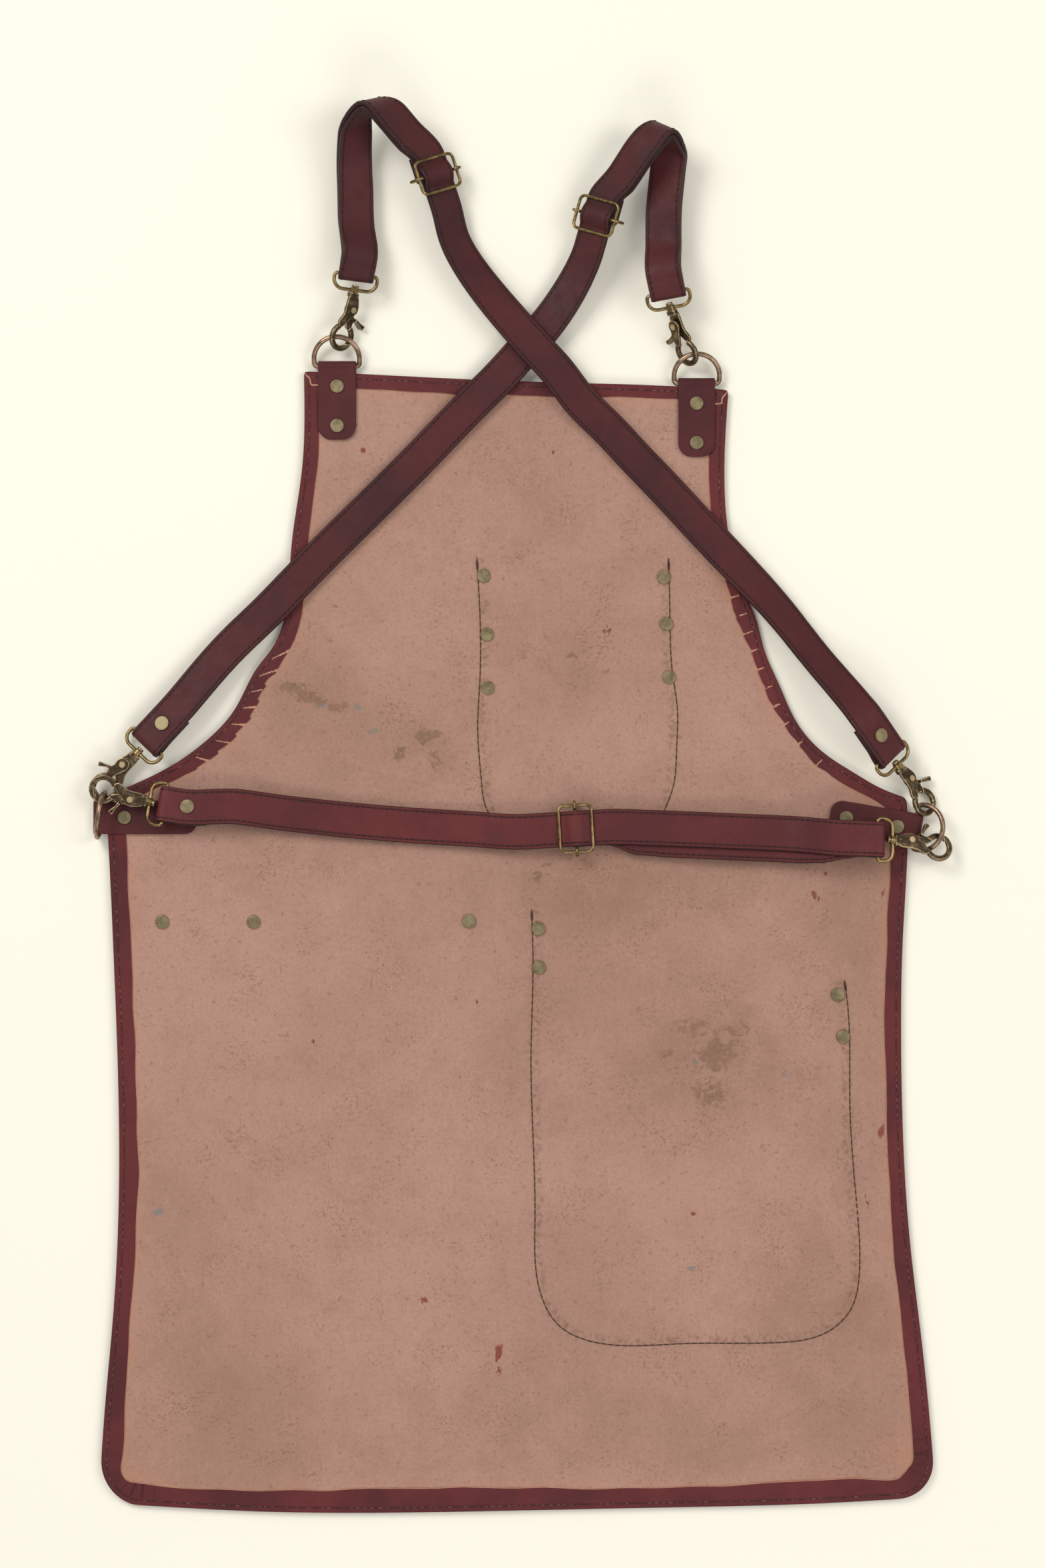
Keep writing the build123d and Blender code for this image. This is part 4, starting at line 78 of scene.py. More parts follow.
SHOULDER_LEFT = [
    ((-66.046, 466.127, 20.013), (0.78548, 0.33231, -0.5221), (-0.31328, 0.94104, 0.12764)),
    ((-69.001, 474.419, 21.314), (0.70643, 0.50839, -0.49243), (-0.43687, 0.8606, 0.26176)),
    ((-81.939, 486.44, 31.255), (0.46288, 0.79445, -0.39317), (-0.6439, 0.60619, 0.46682)),
    ((-89.371, 494.377, 35.829), (0.56749, 0.68963, -0.44985), (-0.62797, 0.71587, 0.30525)),
    ((-94.365, 499.857, 37.548), (0.59485, 0.6519, -0.47029), (-0.68845, 0.71519, 0.12059)),
    ((-98.319, 503.106, 37.954), (0.56418, 0.59015, -0.57742), (-0.75077, 0.65771, -0.06135)),
    ((-102.31, 505.514, 37.787), (0.50506, 0.47134, -0.72302), (-0.81318, 0.54059, -0.21563)),
    ((-105.153, 506.763, 37.334), (0.46653, 0.37013, -0.80334), (-0.86429, 0.38384, -0.32507)),
    ((-106.99, 507.268, 36.84), (0.45208, 0.3087, -0.83686), (-0.89049, 0.21034, -0.40346)),
    ((-108.378, 507.393, 36.332), (0.44767, 0.26899, -0.85278), (-0.88653, 0.0089, -0.46258)),
    ((-109.462, 507.265, 35.833), (0.44928, 0.2455, -0.859), (-0.84971, -0.17956, -0.49574)),
    ((-110.768, 506.818, 35.092), (0.4586, 0.23115, -0.85805), (-0.77905, -0.35995, -0.51334)),
    ((-112.477, 505.756, 33.928), (0.47486, 0.22744, -0.85016), (-0.67334, -0.52814, -0.51739)),
    ((-114.63, 503.599, 32.177), (0.50659, 0.23152, -0.83052), (-0.53233, -0.67375, -0.51253)),
    ((-116.7, 500.397, 30.175), (0.58094, 0.23653, -0.77882), (-0.36517, -0.7794, -0.5091)),
    ((-118.356, 496.336, 28.154), (0.70846, 0.22974, -0.66731), (-0.18653, -0.85095, -0.491)),
    ((-119.569, 490.775, 25.658), (0.8292, 0.20313, -0.52073), (-0.05989, -0.89398, -0.44409)),
    ((-120.622, 474.26, 19.403), (0.88935, 0.11401, -0.44279), (-0.01103, -0.96278, -0.27006)),
    ((-120.502, 458.2, 16.806), (0.93241, 0.08161, -0.35207), (0.05243, -0.99441, -0.09165)),
    ((-120.165, 432.397, 15.571), (0.97626, 0.02663, -0.21497), (0.02978, -0.99949, 0.01145)),
    ((-120.089, 429.845, 15.646), (0.97698, 0.03192, -0.21094), (0.04261, -0.99802, 0.0463)),
    ((-119.507, 422.57, 16.917), (0.97614, 0.06472, -0.20726), (0.10443, -0.97683, 0.18681)),
    ((-118.273, 415.578, 19.25), (0.96765, 0.08229, -0.2385), (0.15366, -0.94198, 0.29844)),
    ((-116.836, 408.286, 21.138), (0.94561, 0.01323, -0.32504), (0.08107, -0.97723, 0.19607)),
    ((-116.711, 403.487, 21.721), (0.94916, -0.0312, -0.31323), (-0.02369, -0.99933, 0.02775)),
    ((-117.267, 399.646, 21.572), (0.96171, -0.08759, -0.25969), (-0.12939, -0.98041, -0.14853)),
    ((-117.837, 396.661, 21.572), (0.97401, -0.09759, -0.20439), (-0.12939, -0.98041, -0.14853)),
    ((-118.303, 394.123, 21.903), (0.98185, -0.10573, -0.15748), (-0.12939, -0.98041, -0.14853)),
    ((-118.838, 391.598, 22.2), (0.9874, -0.11363, -0.11016), (-0.12939, -0.98041, -0.14853)),
    ((-119.45, 389.139, 22.137), (0.99064, -0.12124, -0.06276), (-0.12939, -0.98041, -0.14853)),
    ((-119.831, 387.691, 21.923), (0.99148, -0.12564, -0.03442), (-0.12939, -0.98041, -0.14853)),
    ((-119.98, 386.615, 21.559), (0.99148, -0.12564, -0.03442), (-0.12675, -0.86939, -0.47759)),
    ((-120.117, 385.729, 20.845), (0.99148, -0.12564, -0.03442), (-0.10881, -0.65352, -0.74905)),
    ((-120.226, 385.14, 19.868), (0.99148, -0.12564, -0.03442), (-0.07776, -0.35882, -0.93016)),
    ((-120.293, 384.919, 18.746), (0.99148, -0.12564, -0.03442), (-0.03732, -0.02084, -0.99909)),
    ((-120.31, 385.093, 17.613), (0.99148, -0.12564, -0.03442), (0.00762, 0.31965, -0.9475)),
    ((-120.276, 385.641, 16.607), (0.99148, -0.12564, -0.03442), (0.05164, 0.62159, -0.78164)),
    ((-120.194, 386.496, 15.848), (0.99148, -0.12564, -0.03442), (0.08943, 0.84855, -0.5215)),
    ((-120.074, 387.556, 15.43), (0.99148, -0.12564, -0.03442), (0.11643, 0.97317, -0.19845)),
    ((-119.931, 388.693, 15.4), (0.99148, -0.12564, -0.03442), (0.12939, 0.98041, 0.14853)),
    ((-118.378, 400.458, 17.183), (0.96171, -0.08759, -0.25969), (0.12939, 0.98041, 0.14853)),
    ((-118.155, 403.399, 17.355), (0.94916, -0.0312, -0.31323), (0.02369, 0.99933, -0.02775)),
    ((-118.285, 407.312, 16.883), (0.94561, 0.01323, -0.32504), (-0.08107, 0.97723, -0.19607)),
    ((-120.959, 432.332, 11.957), (0.97626, 0.02663, -0.21497), (-0.02978, 0.99949, -0.01145)),
    ((-121.825, 458.447, 13.36), (0.93241, 0.08161, -0.35207), (-0.05243, 0.99441, 0.09165)),
    ((-122.313, 475.166, 16.24), (0.88935, 0.11401, -0.44279), (0.01103, 0.96278, 0.27006)),
    ((-121.625, 492.253, 22.96), (0.8292, 0.20313, -0.52073), (0.05989, 0.89398, 0.44409)),
    ((-120.874, 498.084, 26.082), (0.70846, 0.22974, -0.66731), (0.18653, 0.85095, 0.491)),
    ((-119.391, 502.544, 28.819), (0.58094, 0.23653, -0.77882), (0.36517, 0.7794, 0.5091)),
    ((-117.14, 506.195, 31.37), (0.50659, 0.23152, -0.83052), (0.53233, 0.67375, 0.51253)),
    ((-114.574, 508.783, 33.566), (0.47486, 0.22744, -0.85016), (0.67334, 0.52814, 0.51739)),
    ((-112.349, 510.162, 35.148), (0.4586, 0.23115, -0.85805), (0.77905, 0.35995, 0.51334)),
    ((-110.483, 510.789, 36.306), (0.44928, 0.2455, -0.859), (0.84971, 0.17956, 0.49574)),
    ((-108.81, 510.957, 37.23), (0.44767, 0.26899, -0.85278), (0.88653, -0.0089, 0.46258)),
    ((-106.799, 510.7, 38.209), (0.45208, 0.3087, -0.83686), (0.89049, -0.21034, 0.40346)),
    ((-104.457, 509.893, 39.18), (0.46653, 0.37013, -0.80334), (0.86429, -0.38384, 0.32507)),
    ((-101.24, 508.093, 40.215), (0.50506, 0.47134, -0.72302), (0.81318, -0.54059, 0.21563)),
    ((-97.048, 504.838, 40.967), (0.56418, 0.59015, -0.57742), (0.75077, -0.65771, 0.06135)),
    ((-92.83, 500.789, 40.782), (0.59485, 0.6519, -0.47029), (0.68845, -0.71519, -0.12059)),
    ((-87.4, 494.781, 38.935), (0.56749, 0.68963, -0.44985), (0.62797, -0.71587, -0.30525)),
    ((-79.685, 486.578, 34.186), (0.46288, 0.79445, -0.39317), (0.6439, -0.60619, -0.46682)),
    ((-66.2, 472.756, 24.0), (0.78565, 0.33232, -0.52184), (0.31328, -0.94104, -0.12764)),
    ((-55.155, 439.578, 19.5), (0.78479, 0.33222, -0.52319), (0.31328, -0.94104, -0.12764)),
    ((-48.499, 414.89, 14.897), (0.77023, 0.37053, -0.51908), (0.36106, -0.92426, -0.124)),
    ((-41.593, 401.198, 13.777), (0.75922, 0.47544, -0.44445), (0.51617, -0.85582, -0.03376)),
    ((-26.673, 379.757, 13.546), (0.7603, 0.58187, -0.28875), (0.6104, -0.79201, 0.01122)),
    ((-10.023, 359.4, 14.402), (0.7577, 0.6387, -0.13399), (0.64869, -0.75956, 0.04762)),
    ((7.07, 339.803, 15.446), (0.7474, 0.66386, -0.0261), (0.66436, -0.74706, 0.0232)),
    ((24.694, 320.645, 15.31), (0.74679, 0.66506, -0.00025), (0.66409, -0.74573, -0.05362)),
    ((40.607, 300.332, 12.096), (0.77729, 0.62911, -0.00649), (0.62125, -0.76912, -0.14999)),
    ((58.754, 281.938, 9.3), (0.68625, 0.72735, 0.00485), (0.72594, -0.68446, -0.06725)),
    ((76.803, 263.22, 8.287), (0.73625, 0.67671, -0.00013), (0.6766, -0.73613, -0.01803)),
    ((94.763, 244.399, 8.026), (0.71687, 0.69721, 0.00011), (0.6972, -0.71686, -0.00469)),
    ((112.678, 225.531, 7.969), (0.73274, 0.68051, 0.0), (0.68051, -0.73274, 0.00067)),
    ((130.32, 206.407, 8.103), (0.73457, 0.67853, -0.0002), (0.67849, -0.73453, 0.01041)),
    ((148.093, 187.416, 8.573), (0.72594, 0.6844, -0.06786), (0.6871, -0.72601, 0.02826)),
    ((165.985, 168.553, 9.728), (0.71671, 0.65773, -0.23176), (0.68574, -0.72515, 0.06265)),
    ((183.568, 149.436, 11.481), (0.70914, 0.59338, -0.38081), (0.65956, -0.74918, 0.06085)),
    ((200.271, 129.152, 12.679), (0.71419, 0.52208, -0.46622), (0.61379, -0.78729, 0.05864)),
    ((213.88, 111.587, 15.826), (0.76275, 0.44418, -0.47001), (0.59777, -0.76157, 0.25037)),
    ((229.294, 92.351, 24.52), (0.7941, 0.42889, -0.43066), (0.58697, -0.72504, 0.36026)),
    ((243.332, 74.847, 31.431), (0.76081, 0.50839, -0.40338), (0.60913, -0.77385, 0.17356)),
    ((249.464, 66.943, 32.253), (0.74365, 0.57729, -0.33723), (0.60651, -0.79474, -0.02304)),
    ((254.097, 60.778, 31.331), (0.71347, 0.61849, -0.32927), (0.5801, -0.78497, -0.21749)),
    ((255.426, 58.969, 30.758), (0.69849, 0.63121, -0.33718), (0.56705, -0.77561, -0.27729)),
    ((269.603, 39.579, 23.826), (0.67784, 0.63067, -0.37787), (0.56705, -0.77561, -0.27729)),
    ((270.149, 38.698, 23.337), (0.67784, 0.63067, -0.37787), (0.3728, -0.73783, -0.56269)),
    ((270.444, 37.914, 22.556), (0.67784, 0.63067, -0.37787), (0.13359, -0.61107, -0.78023)),
    ((270.451, 37.319, 21.576), (0.67784, 0.63067, -0.37787), (-0.12174, -0.41059, -0.90365)),
    ((270.169, 36.987, 20.516), (0.67784, 0.63067, -0.37787), (-0.36238, -0.1606, -0.91809)),
    ((269.633, 36.957, 19.503), (0.67784, 0.63067, -0.37787), (-0.55932, 0.10877, -0.82179)),
    ((268.907, 37.232, 18.661), (0.67784, 0.63067, -0.37787), (-0.68879, 0.36501, -0.62637)),
    ((268.078, 37.781, 18.089), (0.67784, 0.63067, -0.37787), (-0.73518, 0.57723, -0.3554)),
    ((267.247, 38.535, 17.858), (0.67784, 0.63067, -0.37787), (-0.6929, 0.71983, -0.04156)),
    ((266.514, 39.405, 17.996), (0.67784, 0.63067, -0.37787), (-0.56705, 0.77561, 0.27729)),
    ((265.676, 40.58, 18.405), (0.67912, 0.63074, -0.37545), (-0.56705, 0.77561, 0.27729)),
    ((264.411, 42.544, 19.34), (0.68124, 0.63084, -0.37141), (-0.56705, 0.77561, 0.27729)),
    ((263.309, 44.514, 20.593), (0.68335, 0.63093, -0.36737), (-0.56705, 0.77561, 0.27729)),
    ((262.217, 46.48, 21.877), (0.68544, 0.63101, -0.36331), (-0.56705, 0.77561, 0.27729)),
    ((260.714, 48.829, 23.053), (0.68793, 0.63109, -0.35843), (-0.56705, 0.77561, 0.27729)),
    ((256.224, 55.076, 25.247), (0.69447, 0.63121, -0.34538), (-0.56705, 0.77561, 0.27729)),
    ((250.931, 62.508, 27.523), (0.72757, 0.60473, -0.32394), (-0.59225, 0.79199, 0.14828)),
]
SHOULDER_RIGHT = [
    ((59.796, 435.917, 21.048), (0.79641, -0.31233, 0.51785), (0.27126, 0.94983, 0.15569)),
    ((61.26, 441.039, 21.888), (0.79631, -0.31233, 0.51802), (0.27126, 0.94983, 0.15569)),
    ((73.736, 455.7, 28.398), (0.59602, -0.64612, 0.47675), (0.57986, 0.75705, 0.30106)),
    ((87.924, 476.009, 35.461), (0.65462, -0.60302, 0.45589), (0.59935, 0.78154, 0.17315)),
    ((93.776, 483.018, 36.275), (0.6642, -0.56684, 0.48737), (0.65471, 0.75577, -0.01323)),
    ((98.308, 487.133, 36.074), (0.60911, -0.49638, 0.61854), (0.7233, 0.66759, -0.17652)),
    ((100.323, 488.493, 35.691), (0.57598, -0.45451, 0.67945), (0.78581, 0.5369, -0.30699)),
    ((101.374, 488.992, 35.361), (0.56045, -0.42962, 0.70804), (0.82343, 0.38053, -0.4209)),
    ((102.014, 489.164, 35.093), (0.55199, -0.41132, 0.72535), (0.83019, 0.18969, -0.52421)),
    ((103.346, 488.873, 34.129), (0.554, -0.38054, 0.74045), (0.64577, -0.36489, -0.6707)),
    ((104.274, 488.137, 33.059), (0.5641, -0.38443, 0.73076), (0.5151, -0.52785, -0.67531)),
    ((105.512, 486.407, 31.145), (0.58292, -0.40487, 0.70447), (0.34989, -0.65743, -0.66736)),
    ((106.477, 484.017, 29.035), (0.63322, -0.43257, 0.64181), (0.17013, -0.73117, -0.66064)),
    ((107.135, 480.907, 26.932), (0.74451, -0.41496, 0.52299), (-0.01053, -0.79057, -0.61228)),
    ((107.506, 477.771, 25.259), (0.86108, -0.34548, 0.37307), (-0.10701, -0.84042, -0.53127)),
    ((107.521, 473.157, 23.171), (0.94451, -0.2216, 0.24248), (-0.11729, -0.91703, -0.38118)),
    ((106.478, 465.881, 20.948), (0.92885, -0.1529, 0.33743), (-0.09161, -0.97736, -0.1907)),
    ((103.96, 441.583, 19.55), (0.92992, -0.08704, 0.35732), (-0.09325, -0.99564, 0.00014)),
    ((103.503, 415.74, 19.482), (0.97693, 0.01491, 0.21303), (-0.00673, -0.99492, 0.10045)),
    ((103.522, 414.985, 19.571), (0.97836, 0.01722, 0.20617), (-0.00748, -0.99294, 0.11838)),
    ((103.522, 409.287, 21.097), (0.98561, 0.02805, 0.16669), (-0.0221, -0.95629, 0.2916)),
    ((103.484, 408.15, 21.596), (0.98615, 0.02955, 0.16322), (-0.02701, -0.94227, 0.33376)),
    ((102.97, 401.902, 25.141), (0.98074, 0.05973, 0.18594), (-0.04258, -0.86376, 0.5021)),
    ((102.679, 398.442, 27.065), (0.97391, 0.0883, 0.20907), (-0.02114, -0.88191, 0.47095)),
    ((102.648, 393.532, 29.181), (0.97016, 0.11035, 0.21588), (0.04238, -0.95389, 0.29715)),
    ((102.914, 390.489, 29.855), (0.97197, 0.11894, 0.20279), (0.09672, -0.9885, 0.1162)),
    ((103.353, 387.662, 29.919), (0.974, 0.13224, 0.18395), (0.15021, -0.98479, -0.08738)),
    ((103.874, 385.244, 29.482), (0.97428, 0.1506, 0.16763), (0.19246, -0.94305, -0.27133)),
    ((104.535, 382.318, 29.065), (0.97706, 0.15846, 0.14229), (0.19246, -0.94305, -0.27133)),
    ((105.078, 379.784, 29.045), (0.97885, 0.16493, 0.12106), (0.19246, -0.94305, -0.27133)),
    ((105.652, 377.264, 28.996), (0.98015, 0.17133, 0.09977), (0.19246, -0.94305, -0.27133)),
    ((106.264, 374.851, 28.605), (0.98097, 0.17763, 0.07845), (0.19246, -0.94305, -0.27133)),
    ((106.639, 373.452, 28.204), (0.98122, 0.18136, 0.06565), (0.19246, -0.94305, -0.27133)),
    ((106.858, 372.443, 27.707), (0.98122, 0.18136, 0.06565), (0.1852, -0.7908, -0.58339)),
    ((107.057, 371.667, 26.887), (0.98122, 0.18136, 0.06565), (0.1556, -0.54317, -0.82508)),
    ((107.21, 371.217, 25.844), (0.98122, 0.18136, 0.06565), (0.10723, -0.23002, -0.96726)),
    ((107.299, 371.147, 24.704), (0.98122, 0.18136, 0.06565), (0.04593, 0.11087, -0.99277)),
    ((107.313, 371.467, 23.603), (0.98122, 0.18136, 0.06565), (-0.02091, 0.43839, -0.89854)),
    ((107.252, 372.137, 22.675), (0.98122, 0.18136, 0.06565), (-0.08523, 0.71303, -0.69593)),
    ((107.121, 373.077, 22.032), (0.98122, 0.18136, 0.06565), (-0.13927, 0.90167, -0.40939)),
    ((106.937, 374.172, 21.751), (0.98122, 0.18136, 0.06565), (-0.17651, 0.98155, -0.07346)),
    ((106.722, 375.292, 21.866), (0.98122, 0.18136, 0.06565), (-0.19246, 0.94305, 0.27133)),
    ((104.413, 386.609, 25.122), (0.97428, 0.1506, 0.16763), (-0.19246, 0.94305, 0.27133)),
    ((104.133, 388.18, 25.415), (0.974, 0.13224, 0.18395), (-0.15021, 0.98479, 0.08738)),
    ((103.899, 390.06, 25.382), (0.97197, 0.11894, 0.20279), (-0.09672, 0.9885, -0.1162)),
    ((103.746, 392.248, 24.903), (0.97016, 0.11035, 0.21588), (-0.04238, 0.95389, -0.29715)),
    ((103.718, 396.312, 23.123), (0.97391, 0.0883, 0.20907), (0.02114, 0.88191, -0.47095)),
    ((104.198, 408.113, 17.299), (0.98561, 0.02805, 0.16669), (0.0221, 0.95629, -0.2916)),
    ((104.293, 415.371, 15.886), (0.97693, 0.01491, 0.21303), (0.00673, 0.99492, -0.10045)),
    ((105.276, 441.459, 16.094), (0.92992, -0.08704, 0.35732), (0.09325, 0.99564, -0.00014)),
    ((107.806, 466.422, 17.537), (0.92885, -0.1529, 0.33743), (0.09161, 0.97736, 0.1907)),
    ((108.656, 474.383, 19.87), (0.94451, -0.2216, 0.24248), (0.11729, 0.91703, 0.38118)),
    ((109.345, 479.316, 22.444), (0.86108, -0.34548, 0.37307), (0.10701, 0.84042, 0.53127)),
    ((109.605, 482.573, 24.738), (0.74451, -0.41496, 0.52299), (0.01053, 0.79057, 0.61228)),
    ((109.271, 485.969, 27.595), (0.63322, -0.43257, 0.64181), (-0.17013, 0.73117, 0.66064)),
    ((108.225, 488.758, 30.251), (0.58292, -0.40487, 0.70447), (-0.34989, 0.65743, 0.66736)),
    ((106.662, 490.939, 32.69), (0.5641, -0.38443, 0.73076), (-0.5151, 0.52785, 0.67531)),
    ((105.29, 492.017, 34.29), (0.554, -0.38054, 0.74045), (-0.64577, 0.36489, 0.6707)),
    ((104.199, 492.461, 35.33), (0.54833, -0.38704, 0.74131), (-0.7407, 0.18672, 0.64536)),
    ((103.271, 492.577, 36.079), (0.54809, -0.39804, 0.73563), (-0.80191, -4e-05, 0.59745)),
    ((102.302, 492.462, 36.744), (0.55199, -0.41132, 0.72535), (-0.83019, -0.18969, 0.52421)),
    ((101.046, 492.022, 37.459), (0.56045, -0.42962, 0.70804), (-0.82343, -0.38053, 0.4209)),
    ((99.49, 491.122, 38.157), (0.57598, -0.45451, 0.67945), (-0.78581, -0.5369, 0.30699)),
    ((97.104, 489.186, 38.907), (0.60911, -0.49638, 0.61854), (-0.7233, -0.66759, 0.17652)),
    ((92.441, 484.231, 39.505), (0.6642, -0.56684, 0.48737), (-0.65471, -0.75577, 0.01323)),
    ((86.219, 476.6, 38.691), (0.65462, -0.60302, 0.45589), (-0.59935, -0.78154, -0.17315)),
    ((71.681, 456.059, 31.453), (0.59602, -0.64612, 0.47675), (-0.57986, -0.75705, -0.30106)),
    ((59.259, 441.1, 25.0), (0.79631, -0.31233, 0.51802), (-0.27126, -0.94983, -0.15569)),
    ((49.677, 407.546, 19.5), (0.79701, -0.31235, 0.51692), (-0.27126, -0.94983, -0.15569)),
    ((43.703, 392.494, 15.474), (0.76832, -0.47876, 0.42483), (-0.42384, -0.8779, -0.22282)),
    ((31.456, 370.922, 12.023), (0.80077, -0.54575, 0.24682), (-0.54118, -0.83582, -0.09231)),
    ((16.71, 350.773, 10.101), (0.76287, -0.64123, 0.08279), (-0.63955, -0.76719, -0.0489)),
    ((-0.699, 331.426, 9.558), (0.74577, -0.6662, 0.00127), (-0.66613, -0.74572, -0.01312)),
    ((-18.299, 312.263, 8.994), (0.70996, -0.70424, 4e-05), (-0.70392, -0.70964, -0.03016)),
    ((-36.849, 294.0, 8.275), (0.70806, -0.70615, 0.00013), (-0.70602, -0.70794, -0.01897)),
    ((-54.991, 275.329, 8.013), (0.7227, -0.69116, 0.0001), (-0.69115, -0.7227, -0.00321)),
    ((-73.028, 256.553, 8.002), (0.71626, -0.69784, -1e-05), (-0.69784, -0.71626, 0.00041)),
    ((-91.352, 238.06, 8.004), (0.70536, -0.70885, 0.0), (-0.70884, -0.70536, -0.00013)),
    ((-109.887, 219.775, 8.0), (0.70019, -0.71395, -0.0), (-0.71395, -0.70019, -8e-05)),
    ((-128.476, 201.543, 8.022), (0.7014, -0.71277, 0.0), (-0.71277, -0.7014, 0.00254)),
    ((-146.942, 183.194, 8.171), (0.70944, -0.70476, 5e-05), (-0.70473, -0.70941, 0.00957)),
    ((-165.133, 164.573, 8.528), (0.72112, -0.69268, 0.01346), (-0.69281, -0.72092, 0.01705)),
    ((-183.188, 145.819, 9.057), (0.71032, -0.70247, 0.04456), (-0.70375, -0.71, 0.02543)),
    ((-201.94, 127.782, 9.906), (0.69047, -0.7175, 0.09192), (-0.72246, -0.69035, 0.03821)),
    ((-220.08, 109.149, 11.057), (0.74136, -0.65625, 0.14044), (-0.66784, -0.74204, 0.05795)),
    ((-236.868, 89.322, 13.188), (0.7719, -0.61154, 0.17374), (-0.63096, -0.77038, 0.09163)),
    ((-253.688, 69.528, 14.748), (0.72374, -0.65896, 0.20485), (-0.67425, -0.73847, 0.00666)),
    ((-255.727, 67.324, 14.741), (0.71241, -0.67075, 0.20629), (-0.6837, -0.72968, -0.01143)),
    ((-272.819, 49.082, 14.456), (0.71216, -0.67054, 0.20789), (-0.6837, -0.72968, -0.01143)),
    ((-273.559, 48.232, 14.248), (0.71216, -0.67054, 0.20789), (-0.58796, -0.7315, -0.34526)),
    ((-274.146, 47.431, 13.676), (0.71216, -0.67054, 0.20789), (-0.42131, -0.64509, -0.63746)),
    ((-274.51, 46.776, 12.809), (0.71216, -0.67054, 0.20789), (-0.20385, -0.48088, -0.85276)),
    ((-274.607, 46.345, 11.751), (0.71216, -0.67054, 0.20789), (0.03821, -0.25866, -0.96521)),
    ((-274.424, 46.192, 10.63), (0.71216, -0.67054, 0.20789), (0.27565, -0.00525, -0.96124)),
    ((-273.984, 46.334, 9.582), (0.71216, -0.67054, 0.20789), (0.47985, 0.2488, -0.84133)),
    ((-273.341, 46.753, 8.731), (0.71216, -0.67054, 0.20789), (0.62617, 0.47284, -0.61995)),
    ((-272.571, 47.401, 8.182), (0.71216, -0.67054, 0.20789), (0.69697, 0.63984, -0.32379)),
    ((-271.767, 48.198, 8.0), (0.71216, -0.67054, 0.20789), (0.6837, 0.72968, 0.01143)),
    ((-270.742, 49.293, 8.017), (0.71217, -0.67055, 0.20779), (0.6837, 0.72968, 0.01143)),
    ((-269.079, 51.156, 8.326), (0.7122, -0.67057, 0.20763), (0.6837, 0.72968, 0.01143)),
    ((-267.473, 53.067, 8.982), (0.71222, -0.67059, 0.20747), (0.6837, 0.72968, 0.01143)),
    ((-265.872, 54.982, 9.671), (0.71225, -0.67061, 0.20731), (0.6837, 0.72968, 0.01143)),
    ((-263.884, 57.224, 10.093), (0.71228, -0.67064, 0.20712), (0.6837, 0.72968, 0.01143)),
    ((-258.417, 63.063, 10.184), (0.71236, -0.67071, 0.20661), (0.6837, 0.72968, 0.01143)),
    ((-251.705, 70.324, 10.221), (0.73061, -0.6518, 0.20338), (0.66836, 0.74362, -0.01776)),
]
